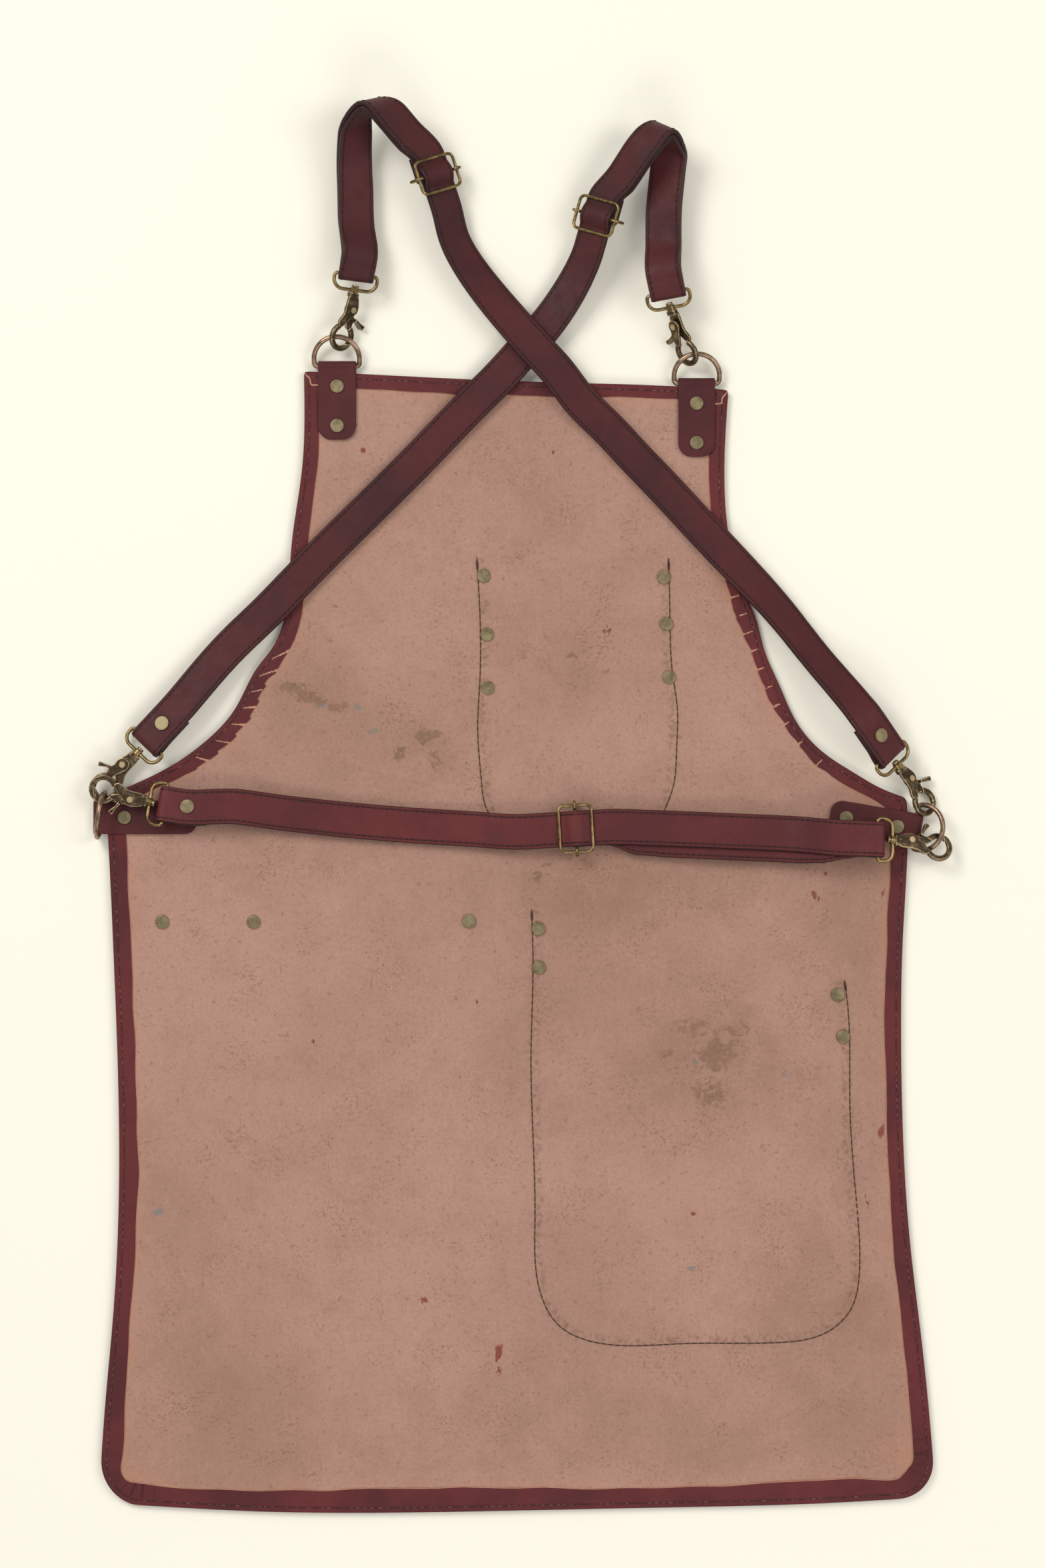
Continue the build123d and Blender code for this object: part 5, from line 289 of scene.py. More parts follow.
WAIST = [
    ((-230.219, -0.229, 13.792), (-0.05665, 0.9858, -0.15806), (-0.99572, -0.04421, 0.08113)),
    ((-240.065, -0.392, 14.408), (0.02372, 0.98539, -0.16864), (-0.99873, 0.03087, 0.0399)),
    ((-247.918, 0.283, 14.552), (0.15, 0.97344, -0.17297), (-0.98847, 0.1513, -0.00572)),
    ((-250.891, 0.668, 14.145), (0.14999, 0.97341, -0.17314), (-0.98847, 0.1513, -0.00572)),
    ((-253.376, 0.929, 13.466), (0.14999, 0.97338, -0.17328), (-0.98847, 0.1513, -0.00572)),
    ((-255.861, 1.196, 12.819), (0.14999, 0.97336, -0.17342), (-0.98847, 0.1513, -0.00572)),
    ((-258.338, 1.524, 12.523), (0.14998, 0.97334, -0.17356), (-0.98847, 0.1513, -0.00572)),
    ((-259.821, 1.75, 12.514), (0.14998, 0.97332, -0.17364), (-0.98847, 0.1513, -0.00572)),
    ((-260.933, 1.955, 12.704), (0.14998, 0.97332, -0.17364), (-0.92178, 0.20117, 0.33145)),
    ((-261.902, 2.204, 13.263), (0.14998, 0.97332, -0.17364), (-0.7439, 0.22678, 0.62863)),
    ((-262.612, 2.467, 14.123), (0.14998, 0.97332, -0.17364), (-0.4763, 0.22504, 0.85)),
    ((-262.977, 2.712, 15.181), (0.14998, 0.97332, -0.17364), (-0.15126, 0.19615, 0.96884)),
    ((-262.953, 2.91, 16.31), (0.14998, 0.97332, -0.17364), (0.19204, 0.14361, 0.97082)),
    ((-262.544, 3.037, 17.373), (0.14998, 0.97332, -0.17364), (0.51217, 0.07374, 0.85571)),
    ((-261.797, 3.077, 18.242), (0.14998, 0.97332, -0.17364), (0.77052, -0.00502, 0.63739)),
    ((-260.804, 3.025, 18.812), (0.14998, 0.97332, -0.17364), (0.93594, -0.08317, 0.34219)),
    ((-259.684, 2.889, 19.014), (0.14998, 0.97332, -0.17364), (0.98847, -0.1513, 0.00572)),
    ((-247.823, 1.073, 19.083), (0.15, 0.97344, -0.17297), (0.98847, -0.1513, 0.00572)),
    ((-233.523, 0.383, 18.592), (-0.03733, 0.98609, -0.16198), (0.99733, 0.02657, -0.06808)),
    ((-207.518, 0.82, 15.959), (0.05653, 0.98694, -0.15083), (0.99045, -0.07446, -0.116)),
    ((-181.825, -2.682, 13.123), (0.12886, 0.9844, -0.11977), (0.98561, -0.14046, -0.09407)),
    ((-156.029, -5.853, 11.167), (0.10504, 0.9906, -0.08757), (0.99231, -0.1102, -0.05628)),
    ((-130.132, -8.591, 10.1), (0.09702, 0.9925, -0.07444), (0.99464, -0.09937, -0.02848)),
    ((-104.174, -11.006, 9.53), (0.08382, 0.99403, -0.06991), (0.9962, -0.08525, -0.0177)),
    ((-78.18, -13.009, 9.296), (0.06799, 0.99525, -0.0697), (0.99769, -0.06785, 0.00438)),
    ((-52.186, -14.566, 9.977), (0.06, 0.99579, -0.06923), (0.99714, -0.0566, 0.05015)),
    ((-26.224, -16.314, 11.982), (0.08864, 0.99396, -0.06475), (0.99134, -0.08171, 0.1028)),
    ((-0.273, -17.604, 14.276), (-0.01843, 0.99824, -0.05634), (0.99889, 0.02082, 0.0422)),
    ((4.061, -17.431, 14.4), (-0.05906, 0.99678, -0.05418), (0.99811, 0.05991, 0.01404)),
    ((60.939, -14.017, 15.2), (-0.05906, 0.99678, -0.05426), (0.99811, 0.05991, 0.01404)),
    ((86.995, -14.274, 14.995), (0.03919, 0.99543, -0.08705), (0.99901, -0.04085, -0.01742)),
    ((113.058, -15.246, 14.77), (0.03681, 0.99435, -0.09957), (0.99932, -0.03635, 0.00648)),
    ((139.353, -16.305, 15.569), (0.0488, 0.9927, -0.11031), (0.99803, -0.04411, 0.04453)),
    ((165.437, -17.451, 15.966), (0.03668, 0.99181, -0.12231), (0.99849, -0.04138, -0.03604)),
    ((191.67, -18.607, 15.792), (0.06605, 0.99134, -0.11352), (0.99192, -0.05288, 0.11528)),
    ((201.133, -19.178, 17.8), (0.09526, 0.99189, -0.08408), (0.94917, -0.06506, 0.30798)),
    ((224.586, -21.064, 28.833), (0.08207, 0.99634, -0.02386), (0.94328, -0.06993, 0.32454)),
    ((229.634, -21.407, 30.072), (0.06153, 0.9981, -0.00418), (0.98904, -0.06041, 0.1347)),
    ((233.486, -21.619, 30.225), (0.04686, 0.99861, -0.02423), (0.99693, -0.04828, -0.06169)),
    ((235.766, -21.72, 29.937), (0.03112, 0.99845, -0.0461), (0.98127, -0.03929, -0.18858)),
    ((260.298, -22.702, 25.223), (0.01387, 0.99085, -0.13428), (0.98127, -0.03929, -0.18858)),
    ((261.367, -22.772, 24.816), (0.01387, 0.99085, -0.13428), (0.85638, -0.08109, -0.50993)),
    ((262.231, -22.885, 24.072), (0.01387, 0.99085, -0.13428), (0.6282, -0.11311, -0.76978)),
    ((262.786, -23.027, 23.079), (0.01387, 0.99085, -0.13428), (0.32425, -0.13149, -0.93679)),
    ((262.963, -23.182, 21.957), (0.01387, 0.99085, -0.13428), (-0.01881, -0.13401, -0.9908)),
    ((262.743, -23.33, 20.842), (0.01387, 0.99085, -0.13428), (-0.3596, -0.12036, -0.92531)),
    ((262.151, -23.453, 19.868), (0.01387, 0.99085, -0.13428), (-0.65702, -0.0922, -0.74821)),
    ((261.26, -23.538, 19.153), (0.01387, 0.99085, -0.13428), (-0.87519, -0.05292, -0.48087)),
    ((260.176, -23.573, 18.783), (0.01387, 0.99085, -0.13428), (-0.98781, -0.00725, -0.15552)),
    ((259.03, -23.554, 18.802), (0.01387, 0.99085, -0.13428), (-0.98127, 0.03929, 0.18858)),
    ((257.559, -23.46, 19.08), (0.01491, 0.99153, -0.12902), (-0.98127, 0.03929, 0.18858)),
    ((255.161, -23.27, 19.823), (0.01664, 0.99261, -0.12023), (-0.98127, 0.03929, 0.18858)),
    ((252.832, -23.047, 20.915), (0.01837, 0.9936, -0.11144), (-0.98127, 0.03929, 0.18858)),
    ((250.51, -22.832, 22.04), (0.0201, 0.99452, -0.10263), (-0.98127, 0.03929, 0.18858)),
    ((247.641, -22.713, 22.996), (0.02217, 0.99551, -0.09204), (-0.98127, 0.03929, 0.18858)),
    ((234.824, -24.094, 25.526), (0.03112, 0.99845, -0.0461), (-0.98127, 0.03929, 0.18858)),
    ((234.065, -24.254, 25.631), (0.03878, 0.99859, -0.03632), (-0.9901, 0.0433, 0.13348)),
    ((233.068, -24.475, 25.719), (0.04686, 0.99861, -0.02423), (-0.99693, 0.04828, 0.06169)),
    ((229.989, -25.226, 25.749), (0.06153, 0.9981, -0.00418), (-0.98904, 0.06041, -0.1347)),
    ((227.574, -25.837, 25.546), (0.07111, 0.99742, -0.00968), (-0.9661, 0.06645, -0.24946)),
    ((225.44, -26.345, 25.215), (0.08207, 0.99634, -0.02386), (-0.94328, 0.06993, -0.32454)),
    ((220.294, -27.342, 23.734), (0.11195, 0.99176, -0.06222), (-0.89778, 0.0741, -0.43416)),
    ((201.481, -27.517, 14.966), (0.09526, 0.99189, -0.08408), (-0.94917, 0.06506, -0.30798)),
    ((191.543, -26.982, 13.049), (0.06605, 0.99134, -0.11352), (-0.99192, 0.05288, -0.11528)),
    ((164.992, -25.832, 13.275), (0.03668, 0.99181, -0.12231), (-0.99849, 0.04138, 0.03604)),
    ((139.108, -24.662, 12.778), (0.0488, 0.9927, -0.11031), (-0.99803, 0.04411, -0.04453)),
    ((112.774, -23.57, 11.885), (0.03681, 0.99435, -0.09957), (-0.99932, 0.03635, -0.00648)),
    ((86.642, -21.618, 11.924), (0.03919, 0.99543, -0.08705), (-0.99901, 0.04085, 0.01742)),
    ((61.016, -14.438, 11.518), (-0.05906, 0.99678, -0.05426), (-0.99811, -0.05991, -0.01404)),
    ((46.387, -15.092, 11.3), (-0.05906, 0.99678, -0.05424), (-0.99811, -0.05991, -0.01404)),
]
# marks on the flesh side: x, y, half size x, half size y, turn in degrees, strength
BROWN = [(-168.7, 88.6, 11.7, 6.8, -10, 1), (-152.1, 79.8, 19.6, 6.4, -18, 0.95), (-135.0, 73.0, 10.8, 5.9, 0, 0.8), (-88.7, 39.8, 6.8, 5.9, 0, 0.9), (-69.1, 52.0, 10.8, 5.9, 10, 0.9), (-61.8, 34.9, 7.8, 8.8, 0, 0.8), (-136.5, 147.7, 3.4, 2.0, 0, 0.9), (-139.9, 122.3, 2.4, 2.0, 0, 1), (37.3, 110.6, 5.9, 2.9, 0, 0.8), (63.1, 100.8, 5.9, 3.9, 0, 0.5), (11.9, -51.5, 5.9, 4.9, 0, 0.8), (18.7, -41.2, 6.8, 2.9, 0, 0.6), (126.1, -160.3, 19.6, 9.8, 0, 0.65), (143.2, -179.9, 24.4, 17.1, 20, 0.7), (135.9, -209.2, 22.0, 14.7, 0, 0.55), (160.3, -162.8, 14.7, 7.8, 0, 0.6), (106.6, -179.9, 7.8, 4.9, 0, 0.7), (-32.0, 195.0, 6.8, 4.9, 0, 0.4), (-110.6, 0.7, 9.8, 4.9, 0, 0.4), (-220.5, -9.0, 5.9, 2.9, 0, 0.4), (189.6, -140.8, 9.8, 6.8, 0, 0.35), (99.3, -55.4, 6.8, 3.9, 0, 0.5), (57.8, -131.1, 4.9, 6.8, 0, 0.4), (-171.7, -184.7, 3.9, 3.9, 0, 0.4), (179.8, -248.2, 8.8, 5.9, 0, 0.3)]
GREY = [(125.1, -337.0, 3.9, 2.4, 0, 1), (-265.4, -295.6, 4.4, 3.4, 0, 0.9), (-118.0, 73.0, 5.9, 3.9, 0, 0.6), (-108.2, 56.4, 3.9, 2.9, 0, 0.7), (-144.8, 74.9, 5.9, 2.9, 0, 0.5), (48.0, 103.3, 3.9, 2.4, 0, 0.4), (194.4, -194.5, 5.9, 4.9, 0, 0.4), (128.5, -186.2, 2.9, 2.9, 0, 0.8)]
RED = [(215.9, -65.2, 3.4, 6.8, 20, 0.9), (-71.1, -360.5, 3.9, 3.9, 0, 0.9), (-16.4, -398.6, 2.9, 7.8, -10, 1), (-16.9, -413.2, 2.9, 4.9, 0, 0.8), (254.0, -289.7, 1.5, 8.8, 10, 0.9), (263.8, -236.0, 2.9, 5.9, 0, 0.7), (-19.8, -104.2, 2.4, 3.9, 0, 0.6), (-32.5, -140.8, 3.4, 3.4, 30, 0.7), (-17.9, -139.8, 2.4, 3.9, 0, 0.6), (-152.1, -171.1, 1.5, 2.4, 0, 0.9), (126.6, -297.5, 2.9, 2.0, 0, 0.9), (23.1, 260.4, 2.9, 3.9, 30, 0.7), (-115.5, 261.9, 2.9, 2.4, 0, 0.5), (61.7, 130.1, 5.9, 3.9, 30, 0.7), (74.9, 122.8, 3.9, 2.9, 0, 0.5), (223.7, -48.1, 2.4, 2.4, 0, 0.6), (256.9, 15.4, 3.9, 2.4, 0, 0.4), (265.2, -62.7, 2.0, 4.9, 0, 0.6), (115.4, 137.4, 2.4, 2.0, 0, 0.4)]
# broad darker patches: grime, and along the waist strap a painted shadow of the strap
DIRT_AND_SHADOW = [(72.4, -57.8, 127.1, 34.2, 4, 0.8), (145.6, -179.9, 73.3, 63.6, 0, 0.75), (-39.9, 54.4, 97.8, 44.0, 0, 0.35), (38.2, 103.3, 88.0, 58.7, 0, 0.4), (218.9, -360.5, 63.6, 97.8, 0, 0.55), (106.6, 15.4, 146.7, 29.3, 5, 0.5), (-161.9, 78.8, 53.8, 29.3, 0, 0.5), (233.5, -116.4, 44.0, 78.2, 0, 0.5), (-235.1, -433.7, 88.0, 58.7, 0, 0.35), (-10.6, -458.1, 205.4, 34.2, 0, 0.35), (-127.7, -38.3, 97.8, 24.4, 5, 0.3)]

MM = 0.001
STRAP_W, STRAP_T = 26.0, 3.4


# ------------------------------------------------------------------ curves
def spline(pts, step=1.5):
    p = np.array(pts, float)
    d = np.r_[0, np.cumsum(np.linalg.norm(np.diff(p, axis=0), axis=1))]
    n = len(p)
    if n < 3:
        m = np.zeros_like(p)
    else:
        h = np.diff(d)
        A = np.eye(n)
        B = np.zeros_like(p)
        for i in range(1, n - 1):
            A[i, i - 1], A[i, i], A[i, i + 1] = h[i - 1], 2 * (h[i - 1] + h[i]), h[i]
            B[i] = 6 * ((p[i + 1] - p[i]) / h[i] - (p[i] - p[i - 1]) / h[i - 1])
        m = np.linalg.solve(A, B)
    t = np.linspace(0, d[-1], max(3, int(d[-1] / step)))
    out = []
    for q in t:
        i = min(max(np.searchsorted(d, q) - 1, 0), n - 2)
        h = d[i + 1] - d[i]
        a, b = (d[i + 1] - q) / h, (q - d[i]) / h
        out.append(a * p[i] + b * p[i + 1] + ((a ** 3 - a) * m[i] + (b ** 3 - b) * m[i + 1]) * h * h / 6)
    return np.array(out)


def arc(a, b, sag, n=16):
    a, b = np.array(a, float), np.array(b, float)
    c = np.linalg.norm(b - a)
    mid = (a + b) / 2
    nrm = np.array([-(b - a)[1], (b - a)[0]]) / c
    r = (c * c / 4 + sag * sag) / (2 * abs(sag))
    cen = mid + nrm * (math.copysign(1, sag)) * -(r - abs(sag)) * -1 if False else mid - nrm * math.copysign(r - abs(sag), sag)
    a0 = math.atan2(*(a - cen)[::-1]); a1 = math.atan2(*(b - cen)[::-1])
    while a1 - a0 > math.pi: a1 -= 2 * math.pi
    while a1 - a0 < -math.pi: a1 += 2 * math.pi
    t = np.linspace(a0, a1, n)
    return cen + r * np.stack([np.cos(t), np.sin(t)], 1)


def even(p, step, closed=False):
    p = np.array(p, float)
    if closed: p = np.vstack([p, p[:1]])
    s = np.r_[0, np.cumsum(np.linalg.norm(np.diff(p, axis=0), axis=1))]
    n = max(3, int(round(s[-1] / step)))
    t = np.linspace(0, s[-1], n + (0 if not closed else 1))
    q = np.stack([np.interp(t, s, p[:, k]) for k in range(p.shape[1])], 1)
    return (q[:-1] if closed else q), s[-1]


def outline():
    parts = [spline(LEFT_ARMHOLE), spline([LEFT_ARMHOLE[-1], LEFT_SIDE[0]]), spline(LEFT_SIDE),
             arc(LEFT_SIDE[-1], BOTTOM_EDGE[0], -7.0), spline(BOTTOM_EDGE), arc(BOTTOM_EDGE[-1], RIGHT_SIDE[0], -7.0),
             spline(RIGHT_SIDE), spline(RIGHT_ARMHOLE), spline(TOP_EDGE)]
    p = np.vstack([q[:-1] for q in parts])
    return p


def inner_line():
    parts = [spline(IN_LEFT_ARMHOLE), spline([IN_LEFT_ARMHOLE[-1], IN_LEFT_SIDE[0]]), spline(IN_LEFT_SIDE),
             spline([IN_LEFT_SIDE[-1], IN_BOTTOM[0]]), spline(IN_BOTTOM), spline([IN_BOTTOM[-1], IN_RIGHT_SIDE[0]]),
             spline(IN_RIGHT_SIDE), spline([IN_RIGHT_SIDE[-1], IN_RIGHT_ARMHOLE[0]]), spline(IN_RIGHT_ARMHOLE), spline(IN_TOP)]
    return np.vstack([q[:-1] for q in parts])


def smooth_ring(v, k):
    v = np.array(v, float)
    w = np.exp(-0.5 * (np.arange(-3 * k, 3 * k + 1) / k) ** 2); w /= w.sum()
    pad = np.concatenate([v[-3 * k:], v, v[:3 * k]])
    if v.ndim == 1: return np.convolve(pad, w, mode="valid")
    return np.stack([np.convolve(pad[:, i], w, mode="valid") for i in range(v.shape[1])], 1)


def inside(poly, pts):
    x, y = pts[:, 0], pts[:, 1]
    res = np.zeros(len(pts), bool)
    a, b = poly, np.roll(poly, -1, axis=0)
    for (x0, y0), (x1, y1) in zip(a, b):
        if y0 == y1: continue
        c = ((y0 > y) != (y1 > y)) & (x < (x1 - x0) * (y - y0) / (y1 - y0) + x0)
        res ^= c
    return res


# ------------------------------------------------------------------ mesh helpers
def make(name, verts, faces, mat, smooth=True, attrs=None, uv=None):
    me = bpy.data.meshes.new(name)
    me.from_pydata([tuple(v) for v in (np.array(verts) * MM)], [], [tuple(int(i) for i in f) for f in faces])
    me.update()
    if attrs:
        for k, v in attrs.items():
            v = np.array(v, float)
            if v.ndim == 1:
                a = me.attributes.new(k, "FLOAT", "POINT"); a.data.foreach_set("value", v)
            else:
                a = me.attributes.new(k, "FLOAT_COLOR", "POINT")
                c = np.ones((len(v), 4)); c[:, :v.shape[1]] = v
                a.data.foreach_set("color", c.ravel())
    if smooth:
        me.polygons.foreach_set("use_smooth", [True] * len(me.polygons))
    o = bpy.data.objects.new(name, me)
    bpy.context.scene.collection.objects.link(o)
    for m in (mat if isinstance(mat, (list, tuple)) else [mat]):
        me.materials.append(m)
    return o


def tube_stitches(items, radius=0.36, seg=6):
    """items: list of (centre, direction, half length, up). Small rounded thread lengths, sunk at both ends."""
    V, F = [], []
    prof = [(-1.0, 0.30, -0.45), (-0.72, 0.92, -0.12), (-0.25, 1.0, 0.10), (0.25, 1.0, 0.10), (0.72, 0.92, -0.12), (1.0, 0.30, -0.45)]
    for c, d, hl, up in items:
        d = np.array(d, float); d /= np.linalg.norm(d)
        up = np.array(up, float); up = up - (up @ d) * d; up /= np.linalg.norm(up)
        sd = np.cross(d, up)
        base = len(V)
        for t, r, h in prof:
            o = np.array(c) + d * hl * t + up * h * radius * 1.6
            for k in range(seg):
                a = 2 * math.pi * k / seg
                V.append(o + radius * r * (math.cos(a) * sd + math.sin(a) * up))
        n = len(prof)
        for i in range(n - 1):
            for k in range(seg):
                F.append((base + i * seg + k, base + i * seg + (k + 1) % seg, base + (i + 1) * seg + (k + 1) % seg, base + (i + 1) * seg + k))
        F.append([base + k for k in range(seg)][::-1]); F.append([base + (n - 1) * seg + k for k in range(seg)])
    return V, F


# ------------------------------------------------------------------ node helpers
class NT:
    def __init__(s, name):
        s.m = bpy.data.materials.new(name); s.m.use_nodes = True; s.t = s.m.node_tree; s.t.nodes.clear()
        s.out = s.t.nodes.new("ShaderNodeOutputMaterial"); s.b = s.t.nodes.new("ShaderNodeBsdfPrincipled")
        s.t.links.new(s.b.outputs[0], s.out.inputs[0])
        s.co = s.t.nodes.new("ShaderNodeTexCoord").outputs["Object"]
    def put(s, sock, v):
        if v is None: return
        if hasattr(v, "is_output"): s.t.links.new(v, sock)
        else:
            if sock.type == "RGBA" and len(v) == 3: v = (*v, 1)
            sock.default_value = v
    def n(s, kind, _out=0, _props=None, **kw):
        nd = s.t.nodes.new(kind)
        for k, v in (_props or {}).items(): setattr(nd, k, v)
        for k, v in kw.items():
            key = k.replace("_", " ")
            sock = nd.inputs[int(k[1:])] if k[0] == "i" and k[1:].isdigit() else nd.inputs[key]
            s.put(sock, v)
        return nd.outputs[_out]
    def map(s, scale=(1, 1, 1), rot=(0, 0, 0), loc=(0, 0, 0), vec=None):
        return s.n("ShaderNodeMapping", Vector=vec or s.co, Scale=scale, Rotation=rot, Location=loc)
    def noise(s, scale, detail=4.0, rough=0.55, dist=0.0, vec=None):
        return s.n("ShaderNodeTexNoise", Vector=vec or s.co, Scale=scale, Detail=detail, Roughness=rough, Distortion=dist)
    def vor(s, scale, feature="F1", out=0, vec=None, rand=1.0):
        return s.n("ShaderNodeTexVoronoi", out, {"feature": feature}, Vector=vec or s.co, Scale=scale, Randomness=rand)
    def ramp(s, v, lo, hi, a=0.0, b=1.0):
        return s.n("ShaderNodeMapRange", 0, {"interpolation_type": "SMOOTHSTEP"}, Value=v, From_Min=lo, From_Max=hi, To_Min=a, To_Max=b)
    def math(s, op, a, b=0.0, clamp=False):
        return s.n("ShaderNodeMath", 0, {"operation": op, "use_clamp": clamp}, i0=a, i1=b)
    def mix(s, f, a, b, mode="MIX"):
        nd = s.t.nodes.new("ShaderNodeMix"); nd.data_type = "RGBA"; nd.blend_type = mode
        s.put(nd.inputs[0], f); s.put(nd.inputs[6], a); s.put(nd.inputs[7], b)
        return nd.outputs[2]
    def attr(s, name, out="Fac"):
        nd = s.t.nodes.new("ShaderNodeAttribute"); nd.attribute_name = name
        return nd.outputs[out]
    def sep(s, col):
        nd = s.t.nodes.new("ShaderNodeSeparateColor"); s.t.links.new(col, nd.inputs[0]); return nd.outputs
    def bump(s, h, dist, strength=1.0, normal=None):
        return s.n("ShaderNodeBump", Height=h, Distance=dist, Strength=strength, Normal=normal)
    def set(s, **kw):
        for k, v in kw.items(): s.put(s.b.inputs[k.replace("_", " ")], v)
        return s.m


def lin(r, g, b):
    f = lambda c: (c / 255 / 12.92) if c / 255 <= 0.04045 else ((c / 255 + 0.055) / 1.055) ** 2.4
    return (f(r), f(g), f(b), 1)


def flesh_material():
    s = NT("flesh_side")
    big = s.noise(5.5, 5, 0.6, 0.4)
    mid = s.noise(34, 7, 0.62, 0.2)
    fine = s.noise(620, 5, 0.7)
    fib = s.noise(240, 4, 0.65, 1.2, vec=s.map((1, 0.28, 1), (0, 0, 0.15)))
    base = s.mix(s.ramp(big, 0.36, 0.66), lin(181, 142, 127), lin(167, 130, 114))
    base = s.mix(s.ramp(mid, 0.44, 0.70, 0, 0.26), base, lin(156, 118, 104))
    base = s.mix(s.ramp(fine, 0.48, 0.68, 0, 0.36), base, lin(138, 102, 88))
    grit = s.noise(360, 6, 0.75)
    base = s.mix(s.ramp(grit, 0.50, 0.66, 0, 0.28), base, lin(140, 104, 90))
    base = s.mix(s.ramp(grit, 0.46, 0.32, 0, 0.16), base, lin(204, 164, 151))
    base = s.mix(s.ramp(fib, 0.52, 0.74, 0, 0.16), base, lin(202, 161, 148))
    # pin pricks of the follicles
    prick = s.ramp(s.vor(820), 0.05, 0.20, 1, 0)
    where = s.ramp(s.noise(9, 4, 0.6), 0.44, 0.62)
    base = s.mix(s.math("MULTIPLY", prick, s.math("MULTIPLY", where, 0.55)), base, lin(112, 80, 64))
    # scattered darker flecks
    fleck = s.ramp(s.noise(260, 3, 0.5), 0.64, 0.69)
    base = s.mix(s.math("MULTIPLY", fleck, 0.32), base, lin(122, 82, 64))
    dt0 = s.sep(s.attr("dirt_and_shadow", "Color"))
    patchy = s.math("ADD", s.ramp(s.noise(26, 4, 0.6), 0.50, 0.64, 0, 0.75), s.math("MULTIPLY", dt0[0], s.ramp(s.noise(44, 5, 0.62), 0.38, 0.60)), True)
    clus = s.math("MULTIPLY", s.ramp(s.noise(480, 4, 0.65), 0.54, 0.62), patchy)
    base = s.mix(s.math("MULTIPLY", clus, 0.60), base, lin(120, 86, 62))
    # thin scratches
    scr = s.ramp(s.noise(60, 2, 0.5, 0.6, vec=s.map((9, 0.7, 1), (0, 0, 0.06))), 0.735, 0.76)
    base = s.mix(s.math("MULTIPLY", scr, 0.40), base, lin(126, 88, 76))
    st = s.sep(s.attr("stain", "Color")); dt = s.sep(s.attr("dirt_and_shadow", "Color"))
    spot = s.noise(120, 8, 0.72, 0.9)
    k = s.ramp(s.math("ADD", spot, s.math("MULTIPLY", st[0], 0.30)), 0.60, 0.70)
    k = s.math("MULTIPLY", k, s.ramp(st[0], 0.02, 0.3))
    base = s.mix(s.math("MULTIPLY", k, 0.60), base, s.mix(s.ramp(grit, 0.4, 0.6), lin(132, 100, 78), lin(98, 80, 66)))
    kg = s.math("MULTIPLY", s.ramp(s.math("ADD", s.noise(210, 5, 0.66), s.math("MULTIPLY", st[1], 0.34)), 0.60, 0.70), s.ramp(st[1], 0.02, 0.3))
    base = s.mix(s.math("MULTIPLY", kg, 0.7), base, lin(122, 124, 118))
    kr = s.math("MULTIPLY", s.ramp(s.math("ADD", s.noise(190, 4, 0.6, 1.0, vec=s.map((1, 0.4, 1), (0, 0, -0.25))), s.math("MULTIPLY", st[2], 0.34)), 0.66, 0.72), s.ramp(st[2], 0.02, 0.3))
    base = s.mix(s.math("MULTIPLY", kr, 0.82), base, lin(122, 52, 50))
    # general grime with a painted shadow of the waist strap, and the rubbed line beside the pocket seams
    g = s.math("MULTIPLY", dt[0], s.ramp(mid, 0.30, 0.65, 0.35, 1.0))
    base = s.mix(s.math("MULTIPLY", g, 0.62), base, lin(142, 108, 88))
    # dark line on the seam: painted shade of the needle holes and the sunk stitch groove
    sl = s.ramp(s.attr("seam"), 0.35, 0.9)
    base = s.mix(s.math("MULTIPLY", sl, 0.72), base, lin(84, 56, 42))
    rub = s.math("MULTIPLY", dt[1], s.ramp(s.noise(260, 4, 0.6), 0.44, 0.60))
    base = s.mix(s.math("MULTIPLY", rub, 0.62), base, lin(116, 88, 68))
    base = s.mix(s.math("MULTIPLY", dt[2], s.ramp(mid, 0.35, 0.6, 0.05, 0.34)), base, lin(186, 132, 100))
    nb = s.bump(s.noise(900, 5, 0.75), 0.0003, 0.75)
    nb = s.bump(grit, 0.0003, 0.35, nb)
    nb = s.bump(fib, 0.0003, 0.35, nb)
    nb = s.bump(mid, 0.0008, 0.25, nb)
    s.set(Base_Color=base, Roughness=0.93, Normal=nb)
    s.put(s.b.inputs["Specular IOR Level"], 0.18)
    s.put(s.b.inputs["Sheen Weight"], 0.22); s.put(s.b.inputs["Sheen Roughness"], 0.55); s.put(s.b.inputs["Sheen Tint"], lin(215, 190, 178))
    return s.m


